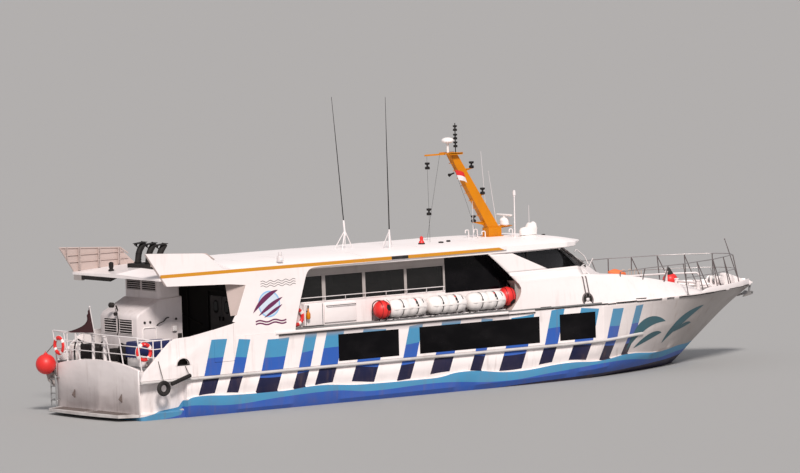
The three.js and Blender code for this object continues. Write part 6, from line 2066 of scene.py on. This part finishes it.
def buildSearchlight():
    shape = newShape()
    base = roofTopAt(3.8, -1.2)
    outline = [(3.46, base - 0.02), (3.44, 5.8), (3.5, 5.9), (3.64, 5.94), (3.72, 5.88), (3.8, 6.03),
               (3.86, 6.1), (3.94, 6.05), (4.0, 6.1), (4.07, 6.13), (4.16, 6.07), (4.2, 5.9),
               (4.17, base - 0.02)]
    rings = []
    for k in range(9):
        t = -1 + k / 4
        pinch = 1 - 0.25 * abs(t) ** 3
        row = []
        for i, (x, z) in enumerate(outline):
            fold = 0.012 * math.sin(i * 2.3 + k * 1.7)
            row.append((3.82 + (x - 3.82) * (pinch + fold), -1.2 + 0.176 * t,
                        base - 0.02 + (z - base + 0.02) * (1 - 0.2 * abs(t) ** 3)))
        rings.append(row)
    addLoft(shape, rings)
    tone(shape, 1)
    addTube(shape, [(3.44, -1.2, base + 0.06), (3.5, -1.37, base + 0.07), (4.1, -1.37, base + 0.07),
                    (4.19, -1.2, base + 0.06)], 0.01, 6)
    makePiece("searchlight_cover", shape, ["whitePlastic", "ropeGrey"], replaces="searchlight", smooth=50)


def buildRoofGear():
    white, black = newShape(), newShape()
    # goosenecks and thin whips by the mast foot
    for x, y, high in ((1.95, 0.15, 0.3), (2.4, 0.2, 0.3), (2.45, -0.25, 0.24), (3.4, -0.75, 0.3)):
        z = roofTopAt(x, y)
        addTube(white, rounded([(x, y, z), (x, y, z + high), (x - 0.16, y, z + high),
                                (x - 0.16, y, z + high - 0.12)], 0.07, 6), 0.022, 10)
    for foot, top in (((2.85, 0.1), (2.6, 0.1, 8.9)), ((3.45, 0.25), (3.05, 0.25, 8.1)),
                      ((4.1, -0.9), (4.1, -0.9, 6.75)), ((1.95, -0.15), (1.95, -0.15, 7.0))):
        addTube(white, [(foot[0], foot[1], roofTopAt(*foot)), top], [0.014, 0.006], 6)
    # light box over the starboard edge, roof vents and seams
    addSoftBox(white, (-9.12, -2.84, 5.5), (-8.9, -2.68, 5.72), 0.02)
    addLathe(white, [(0, 0), (0.06, 0), (0.075, 0.03), (0.07, 0.16), (0, 0.18)], (-9.01, -2.76, 5.71),
             sides=16)
    tone(white, 1)
    addLathe(white, [(0, 0), (0.05, 0), (0.05, 0.02), (0, 0.025)], (-9.01, -2.84, 5.6), (0, -1, 0), 14)
    tone(white, 0)
    z = roofTopAt(-1.15, -1.0)
    for x, y, r, high in ((-1.15, -1.0, 0.13, 0.05), (-0.3, -1.1, 0.1, 0.05), (0.2, -0.9, 0.08, 0.06),
                          (5.0, -0.6, 0.07, 0.04)):
        addLathe(black, [(0, 0), (r, 0), (r, high), (0, high + 0.01)], (x, y, roofTopAt(x, y) - 0.003),
                 sides=18)
    tone(black, 1)
    addLathe(black, [(0, 0), (0.11, 0), (0.1, 0.06), (0.055, 0.12), (0.075, 0.17), (0.06, 0.24), (0, 0.28)],
             (-1.15, -1.0, z + 0.04), sides=20)
    tone(black, 0)
    for x in (-10.2, -8.4, -5.2, -1.9, 0.9):
        rows = [(x, y, roofTopAt(x, y) + 0.001) for y in (-2.7 + 0.27 * k for k in range(21))]
        addTube(white, rows, 0.006, 4)
    makePiece("roof_fittings", white, ["railWhite", "lensGlass"], smooth=40)
    makePiece("roof_beacons", black, ["stackBlack", "buoyRed"], smooth=40)
    # taut halyards with two hanging lanterns
    lines = newShape()
    for top, foot in (((-0.06, 0.0, 8.87), (-0.38, -0.5)), ((0.55, 0.0, 8.87), (0.2, 0.5))):
        addTube(lines, [top, (foot[0], foot[1], roofTopAt(*foot))], 0.005, 5)
    for x, y, z in ((-0.085, -0.05, 8.5), (-0.27, -0.33, 6.75)):
        addLantern(lines, x, y, z)
    makePiece("halyards", lines, ["stackBlack", "stackBlack", "darkPanel"])


# Small two-colour flag on a halyard from the yard
def buildCourtesyFlag():
    line = newShape()
    path = [(0.95, -0.28, 8.89), (1.03, -0.3, 8.3), (1.5, -0.42, 6.9), (1.9, -0.5, roofTopAt(1.9, -0.5))]
    addTube(line, path, 0.005, 5)
    makePiece("flag_line", line, ["stackBlack"])
    cloth = newShape()
    steps, columns, length = 14, 12, 0.46
    rows = []
    for t in (j / steps for j in range(steps + 1)):
        rows.append([(1.04 + 0.15 * t + 0.42 * s, -0.31 - 0.03 * t + 0.03 * math.sin(6 * s + 2 * t) * s,
                      8.27 - 0.4 * t - 0.12 * s * s) for s in (i / columns for i in range(columns + 1))])
    addGrid(cloth, rows)
    cloth["tones"] = [0] * (steps // 2 * columns) + [1] * (steps // 2 * columns)
    item = makePiece("courtesy_flag", cloth, ["flagRed", "railWhite"], smooth=60)


for side, label in bothSides:
    buildRafts(side, label)
    buildWallBuoy(side, label)
buildMast()
buildAerials()
buildSearchlight()
buildRoofGear()
buildCourtesyFlag()
print("rafts, mast and roof gear made")

# Bow: rails, windlass, anchor, staff and the gear stowed there

# Posts of the bow rail as foot, its height, head and its height; then the nose and the slanting braces
bowPosts = (((7.3, 2.42), 3.2, (7.18, 2.6), 4.01), ((8.46, 2.2), 3.2, (8.42, 2.58), 4.07),
            ((9.7, 2.0), 3.2, (9.64, 2.48), 4.09), ((10.54, 2.56), 2.885, (10.44, 2.42), 4.1),
            ((11.5, 2.31), 2.885, (11.36, 2.11), 4.11), ((12.58, 1.85), 2.885, (12.41, 1.79), 4.12),
            ((13.54, 1.38), 2.885, (13.36, 1.25), 4.13), ((14.48, 0.84), 2.885, (14.3, 0.66), 4.13))
bowNose = ((14.69, 0.16), 2.885, (14.56, 0.16), 4.13)
bowBraces = (((11.36, 2.11, 4.1), (12.0, 2.08, 2.885)), ((12.41, 1.79, 4.1), (12.98, 1.6, 2.885)),
             ((13.36, 1.25, 4.1), (13.86, 1.12, 2.885)))
bowRailForm = {"lowerFrom": 3, "lower": 0.55, "rail": 0.017, "post": 0.021}


def postAt(post, side, t):
    (x0, y0), z0, (x1, y1), z1 = post
    return (x0 + (x1 - x0) * t, side * (y0 + (y1 - y0) * t), z0 + (z1 - z0) * t)


def buildBowRail():
    shape = newShape()
    f = bowRailForm
    for side in (-1, 1):
        tone(shape, 0)
        heads = [postAt(p, side, 1) for p in (*bowPosts, bowNose)]
        middles = [postAt(p, side, f["lower"]) for p in (*bowPosts[f["lowerFrom"]:], bowNose)]
        addTube(shape, rounded(heads, 0.15, 4), f["rail"], 10)
        addTube(shape, rounded(middles, 0.12, 4), f["rail"] * 0.85, 8)
        tone(shape, 1)
        for index, post in enumerate(bowPosts):
            addTube(shape, [postAt(post, side, 0), postAt(post, side, 1)], f["post"], 10)
            if index >= f["lowerFrom"]:
                addLathe(shape, [(0, 0), (0.055, 0), (0.05, 0.012), (0.03, 0.014), (0.026, 0.03), (0, 0.03)],
                         postAt(post, side, 0), sides=16)
        for ends in bowBraces:
            addTube(shape, [(x, side * y, z) for x, y, z in ends], 0.02, 8)
    tone(shape, 0)
    for t, radius in ((1, f["rail"]), (f["lower"], f["rail"] * 0.85)):
        addTube(shape, [postAt(bowNose, -1, t), postAt(bowNose, 1, t)], radius, 8)
    tone(shape, 2)
    addTube(shape, rounded([(10.8, 2.36, 3.2), (10.9, 2.3, 3.36), (12.4, 1.78, 3.37), (13.8, 1.02, 3.38),
                            (13.95, 0.98, 3.2)], 0.08), 0.035, 10)
    makePiece("bow_rails", shape, ["railBare", "railDark", "railWhite"], replaces="bow_rail", smooth=45)
    staff = newShape()
    addTube(staff, [(15.1, 0, 2.98), (14.59, 0, 4.31), (14.43, 0, 4.72)], [0.022, 0.019, 0.014], 10)
    addBall(staff, (14.43, 0, 4.715), 0.028, 12)
    addLathe(staff, [(0, 0), (0.05, 0), (0.05, 0.09), (0, 0.1)], (15.1, 0, 2.96), Vector((-0.36, 0, 0.93)),
             14)
    makePiece("jackstaff_pole", staff, ["railDark"], replaces="jackstaff")


# Places along the boat of the pair of bitts and the drum, and the height of the drum's axle
windlass = {"bitts": 12.5, "drum": 13.93, "axle": 3.14}


def buildWindlass():
    shape = newShape()
    deck = foreDeck + 0.001
    bitts, drum, axle = windlass["bitts"], windlass["drum"], windlass["axle"]
    addSoftBox(shape, (13.45, -0.33, deck), (14.19, 0.33, 2.955), 0.015)
    for side in (-1, 1):
        addSoftBox(shape, (13.76, side * 0.15 - 0.03, 2.93), (14.1, side * 0.15 + 0.03, 3.29), 0.03)
        addLathe(shape, [(0, 0), (0.148, 0), (0.148, 0.02), (0.1, 0.05), (0.085, 0.12), (0.1, 0.19),
                         (0.148, 0.22), (0.148, 0.235), (0, 0.235)], (drum, side * 0.185, axle), (0, side, 0),
                 28)
        addLathe(shape, [(0, 0), (0.08, 0), (0.08, 0.32), (0.105, 0.34), (0.105, 0.375), (0, 0.385)],
                 (bitts, side * 0.7, deck), sides=24)
        addLathe(shape, [(0, 0), (0.13, 0), (0.13, 0.014), (0, 0.016)], (bitts, side * 0.7, deck), sides=24)
    addTube(shape, [(bitts, -0.76, axle), (bitts, 0.76, axle)], 0.045, 12)
    addTube(shape, [(bitts, 0, deck), (bitts, 0, axle)], 0.055, 12)
    addBox(shape, (12.42, -0.055, deck), (13.5, 0.055, 2.915))
    tone(shape, 1)
    addLathe(shape, [(0, 0), (0.12, 0), (0.145, 0.02), (0.1, 0.05), (0.1, 0.09), (0.145, 0.12), (0.12, 0.14),
                     (0, 0.14)], (drum, -0.07, axle), (0, 1, 0), 24)
    addTube(shape, [(drum, 0.12, 3.2), (13.78, 0.13, 3.6)], 0.014, 8)
    addTube(shape, [(drum, -0.12, 3.2), (14.05, -0.13, 3.55)], 0.014, 8)
    # chain from the gypsy to the roller, link by link, and the turns on the drum
    for k in range(9):
        addRing(shape, (13.98 + 0.045 * k, 0, 3.28 - 0.0035 * k), 0.03, 0.009,
                (0, 1, 0) if k % 2 else (0, 0, 1), 14, 6)
    for k in range(6):
        addRing(shape, (drum, 0.25 + 0.028 * k, axle), 0.1, 0.014, (0, 1, 0), 28, 6)
    makePiece("windlass_and_bitts", shape, ["whitePaint", "galvanised"], replaces="windlass", bevel=0.004,
              smooth=40)
    anchor = newShape()
    addBox(anchor, (14.24, -0.11, deck), (15.7, -0.085, 2.95))
    addBox(anchor, (14.24, 0.085, deck), (15.7, 0.11, 2.95))
    addBox(anchor, (14.24, -0.11, deck), (15.6, 0.11, 2.895))
    cover = [(14.24, 2.9), (14.22, 3.3), (14.26, 3.36), (14.34, 3.385), (14.46, 3.35), (14.72, 3.265),
             (15.42, 2.99), (15.42, 2.9)]
    rings = []
    for y, inset in ((-0.168, 0.045), (-0.155, 0.015), (-0.12, 0.0), (0.12, 0.0), (0.155, 0.015),
                     (0.168, 0.045)):
        rings.append([(x + (inset if x < 14.3 else 0), y, z - (inset if z > 2.95 else 0)) for x, z in cover])
    addLoft(anchor, rings)
    tone(anchor, 1)
    addLathe(anchor, [(0, 0), (0.075, 0), (0.045, 0.06), (0.045, 0.1), (0.075, 0.16), (0, 0.16)],
             (15.62, -0.08, 2.92), (0, 1, 0), 22)
    addPrism(anchor, [(15.545, 2.5), (15.615, 2.48), (15.71, 2.88), (15.645, 2.9)], 1, -0.03, 0.03)
    addTube(anchor, [(15.55, -0.25, 2.53), (15.55, 0.25, 2.53)], 0.032, 10)
    for side in (-1, 1):
        fluke = [(15.14, 2.385), (15.6, 2.46), (15.63, 2.57), (15.56, 2.585), (15.47, 2.52), (15.14, 2.41)]
        addPrism(anchor, fluke, 1, side * 0.2 - 0.05, side * 0.2 + 0.05)
    addPrism(anchor, [(15.3, 2.44), (15.6, 2.5), (15.6, 2.56), (15.44, 2.52)], 1, -0.16, 0.16)
    makePiece("anchor_and_roller", anchor, ["whitePaint", "galvanised"], replaces="anchor",
              bevel=0.004, smooth=40)


# Loose gear at the bow: buoy, post and folded jacket
def buildBowGear():
    shape = newShape()
    addBall(shape, (12.42, 1.0, 3.19), 0.29, 32, (1.05, 1, 0.95))
    tone(shape, 1)
    addLathe(shape, [(0, 0), (0.17, 0), (0.13, 0.1), (0.06, 0.24), (0.03, 0.28), (0, 0.29)],
             (12.38, 1.0, 3.4), (-0.1, 0, 1), 20)
    tone(shape, 2)
    addLathe(shape, [(0, 0), (0.05, 0), (0.05, 0.5), (0.075, 0.52), (0.075, 0.56), (0, 0.57)],
             (12.12, 0.85, 3.0), sides=18)
    makePiece("bow_stowage", shape, ["buoyRed", "rubberBlack", "railWhite"], smooth=55)
    # a folded padded jacket lying by the port rail
    jacket = newShape()
    rings = []
    for t in (k / 14 for k in range(15)):
        r = 0.17 * math.sin(math.pi * min(max(t, 0.03), 0.97)) ** 0.45
        row = []
        for i, (c, s) in enumerate(turnPoints(18)):
            wrinkle = 1 + 0.1 * math.sin(6 * math.pi * i / 18 + 9 * t)
            row.append((9.95 + 0.8 * t, 1.75 + 1.25 * r * wrinkle * c,
                        3.62 - 0.12 * t + 0.85 * r * wrinkle * s))
        rings.append(row)
    addLoft(jacket, rings)
    makePiece("folded_jacket", jacket, ["jacketOrange"], smooth=60)


# Line hung in loops inside the port rail: first strand, number of strands, spacing and heights
hank = {"from": 10.6, "strands": 10, "pitch": 0.132, "top": 3.56, "drop": 0.26, "radius": 0.016,
        "inboard": 0.042}


def buildHank():
    h = hank
    railAt = lambda x: 2.483 - 0.302 * (x - 10.485)
    path = []
    for k in range(h["strands"]):
        x, down = h["from"] + h["pitch"] * k, k % 2 == 0
        high, low = h["top"], h["top"] - h["drop"] - 0.03 * math.sin(1.7 * (k // 2))
        ends = (high, low) if down else (low, high)
        for i in range(9):
            path.append(Vector((x, railAt(x) - h["inboard"], ends[0] + (ends[1] - ends[0]) * i / 8)))
        if k + 1 < h["strands"]:
            for i in range(1, 8):
                a = math.pi * i / 8
                at = x + h["pitch"] / 2 * (1 - math.cos(a))
                path.append(Vector((at, railAt(at) - h["inboard"],
                                    ends[1] + (-1 if down else 1) * h["pitch"] / 2 * math.sin(a))))
    addCord("rail_hank", path, h["radius"], "ropeTan")


# Fairlead rims on the quarters, with a black board inside the wing as painted shade seen through the openings
def buildFairleads():
    shape = newShape()
    x0, foot, half, high = -13.765, 1.975, 0.275, 0.255
    for side in (-1, 1):
        arch = [(x0 + half, foot + 0.01)]
        arch += [(x0 + half * math.cos(a), foot + 0.02 + (high - 0.02) * math.sin(a))
                 for a in (math.pi * k / 16 for k in range(17))]
        arch.append((x0 - half, foot + 0.01))
        addTube(shape, [(x, side * 3.082, z) for x, z in arch], 0.022, 10, closed=True)
        # the black board: painted shade behind the fairlead
        addSideBox(shape, side, (x0 - 0.42, x0 + 0.42), (2.8, 2.83), (1.952, 2.42))
    makePiece("fairlead_rims", shape, ["stackBlack"], smooth=45)


# What is seen through the glass: desk, screens and a blue seat forward, a partition in the saloon
def buildInteriors():
    shape = newShape()
    for side in (-1, 1):
        addSideBox(shape, side, (3.45, 4.25), (1.35, 1.85), (4.62, 4.7), 0.02)
        addSideBox(shape, side, (3.5, 4.2), (1.4, 1.8), (3.75, 4.62), 0.03)
        addPrism(shape, [(3.62, 4.72), (3.9, 4.95), (4.02, 4.9), (3.8, 4.7)], 1,
                 *sorted((side * 1.45, side * 1.75)))
    addSoftBox(shape, (5.02, -1.3, 4.25), (5.3, 1.3, 4.45), 0.03)
    tone(shape, 1)
    for side in (-1, 1):
        addSideBox(shape, side, (4.35, 4.5), (1.3, 1.75), (3.95, 4.62), 0.05)
        addSideBox(shape, side, (4.4, 4.85), (1.3, 1.75), (3.95, 4.08), 0.05)
    tone(shape, 2)
    for y in (-0.9, -0.3, 0.3, 0.9):
        addPrism(shape, [(5.15, 4.46), (5.45, 4.46), (5.3, 4.74), (5.2, 4.74)], 1, y - 0.2, y + 0.2)
    addRing(shape, (4.95, 0.38, 4.35), 0.18, 0.016, (1, 0, 0.5), 32, 8)
    makePiece("wheelhouse_fittings_inside", shape, ["railGrey", "seatBlue", "darkPanel"],
              smooth=40)
    soft = newShape()
    for side in (-1, 1):
        addSideBox(soft, side, (-3.3, -1.2), (1.9, 1.94), (3.1, 5.0))
        for x in (-7.4, -6.5, -5.6, -4.7, -3.8):
            addSideBox(soft, side, (x, x + 0.16), (2.02, 2.1), (4.62, 4.85), 0.02, 2)
    makePiece("saloon_partitions", soft, ["partition"])


# Black sheet as painted shade under the canopy's after end, and the port plate in painted shade
def buildCanopyUnder():
    shape = newShape()
    addPrism(shape, [(-14.63, 5.0), (-14.6, 5.0), (-14.2, 5.145), (-14.63, 5.145)], 1, 0.35, 2.3)
    tone(shape, 1)
    addPrism(shape, [(-14.62, 5.145), (-14.2, 5.145), (-14.5, 4.95), (-14.62, 4.95)], 1, 2.32, 2.84)
    makePiece("canopy_shade_sheet", shape, ["stackBlack", "shadePaint"])


buildBowRail()
buildWindlass()
buildBowGear()
buildHank()
buildFairleads()
buildInteriors()
print("bow and interiors made")

# Plain painted motifs: a disc with slanting bars and waves on the quarter panel, sprays of leaves at the bow
ringMotif = {"x": -9.75, "z": 3.98, "radius": 0.5, "band": 0.06, "waveX": (-10.4, -9.0),
             "waveZ": (3.35, 3.25), "rippleX": (-10.1, -8.5), "rippleZ": (4.83, 4.74, 4.65),
             "bars": (((-0.75, -0.3), (-0.2, 0.35), (0.42, 0.5), 0.2),
                      ((-0.5, -0.42), (0.1, 0.0), (0.62, 0.22), 0.16),
                      ((-0.25, -0.5), (0.2, -0.28), (0.6, -0.05), 0.12))}
leafMotifs = (
    # foot, bend and tip as x, z, then the widest breadth
    ((7.35, 0.95), (7.9, 2.35), (9.35, 1.95), 0.42), ((7.75, 1.0), (8.6, 1.55), (9.25, 1.5), 0.26),
    ((9.5, 1.05), (10.1, 1.95), (11.75, 2.38), 0.36), ((10.1, 1.45), (10.75, 1.75), (11.2, 1.72), 0.18),
)


# A flat patch standing just proud of a surface given by its half-breadth at x, z
def addPatch(shape, side, rows, breadthAt, proud=0.004):
    for outer, inner in zip(rows, rows[1:]):
        for (a, b), (c, d) in zip(zip(outer, outer[1:]), zip(inner, inner[1:])):
            corners = [a, b, d, c]
            addFaces(shape, [(x, side * (breadthAt(x, z) + proud), z) for x, z in corners],
                     [(0, 1, 2, 3) if side < 0 else (3, 2, 1, 0)])


def strip(line, half):
    rows = ([], [])
    for (x0, z0), (x1, z1), (x, z) in zip([line[0]] + line[:-1], line[1:] + [line[-1]], line):
        run = math.hypot(x1 - x0, z1 - z0)
        nx, nz = -(z1 - z0) / run, (x1 - x0) / run
        rows[0].append((x + nx * half, z + nz * half))
        rows[1].append((x - nx * half, z - nz * half))
    return rows


def leafRows(foot, bend, tip, breadth, steps=30, across=6):
    line = []
    for k in range(steps + 1):
        t = k / steps
        line.append(tuple(foot[i] * (1 - t) ** 2 + 2 * bend[i] * t * (1 - t) + tip[i] * t * t
                          for i in (0, 1)))
    rows = [[] for _ in range(across + 1)]
    for k, (x, z) in enumerate(line):
        (x0, z0), (x1, z1) = line[max(k - 1, 0)], line[min(k + 1, steps)]
        run = math.hypot(x1 - x0, z1 - z0)
        half = breadth * math.sin(math.pi * min(max(k / steps, 0.002), 0.998)) ** 0.8 / 2
        for j in range(across + 1):
            s = 2 * j / across - 1
            rows[j].append((x - (z1 - z0) / run * half * s, z + (x1 - x0) / run * half * s))
    return rows


def waveLine(reach, z, height, turns, steps):
    x0, x1 = reach
    return [(x0 + (x1 - x0) * k / steps, z + height * math.sin(k / steps * turns * math.pi))
            for k in range(steps + 1)]


def buildMotifs(side, label):
    panel = newShape()
    m = ringMotif
    flat = lambda x, z: plateY(z)
    around = [(math.cos(a), math.sin(a)) for a in (2 * math.pi * k / 64 for k in range(65))]
    circle = lambda r: [(m["x"] + r * c, m["z"] + r * s) for c, s in around]
    tone(panel, 1)
    addPatch(panel, side, [circle(m["radius"]), circle(m["radius"] - m["band"])], flat)
    tone(panel, 0)
    addPatch(panel, side, [circle(m["radius"] - m["band"]), circle(0.3), circle(0.12), circle(0.001)], flat,
             0.003)
    tone(panel, 2)
    for *bar, breadth in m["bars"]:
        places = [(m["x"] + x, m["z"] + z) for x, z in bar]
        addPatch(panel, side, leafRows(*places, breadth), flat, 0.0055)
    for z in m["waveZ"]:
        addPatch(panel, side, strip(waveLine(m["waveX"], z, 0.035, 4, 60), 0.028), flat)
    tone(panel, 3)
    for z in m["rippleZ"]:
        addPatch(panel, side, strip(waveLine(m["rippleX"], z, 0.03, 9, 80), 0.011), flat)
    makePiece(f"quarter_motif_{label}", panel, ["motifPale", "motifBlue", "motifPlum", "motifGrey"],
              smooth=30)
    bow = newShape()
    for foot, bend, tip, breadth in leafMotifs:
        addPatch(bow, side, leafRows(foot, bend, tip, breadth), bowBreadth, 0.006)
    makePiece(f"bow_motif_{label}", bow, ["motifTeal"], smooth=30)


# Half-breadth of the painted bow at a height, from its section
def bowBreadth(x, z):
    section = bowSection(x)
    for (y0, z0), (y1, z1) in zip(section[1:], section[2:]):
        if z0 <= z <= z1:
            return y0 + (y1 - y0) * (z - z0) / max(z1 - z0, 1e-6)
    return section[-1][0]


for side, label in bothSides:
    buildMotifs(side, label)
buildCanopyUnder()
print("motifs made")

dressNodes()
print("nodes dressed")

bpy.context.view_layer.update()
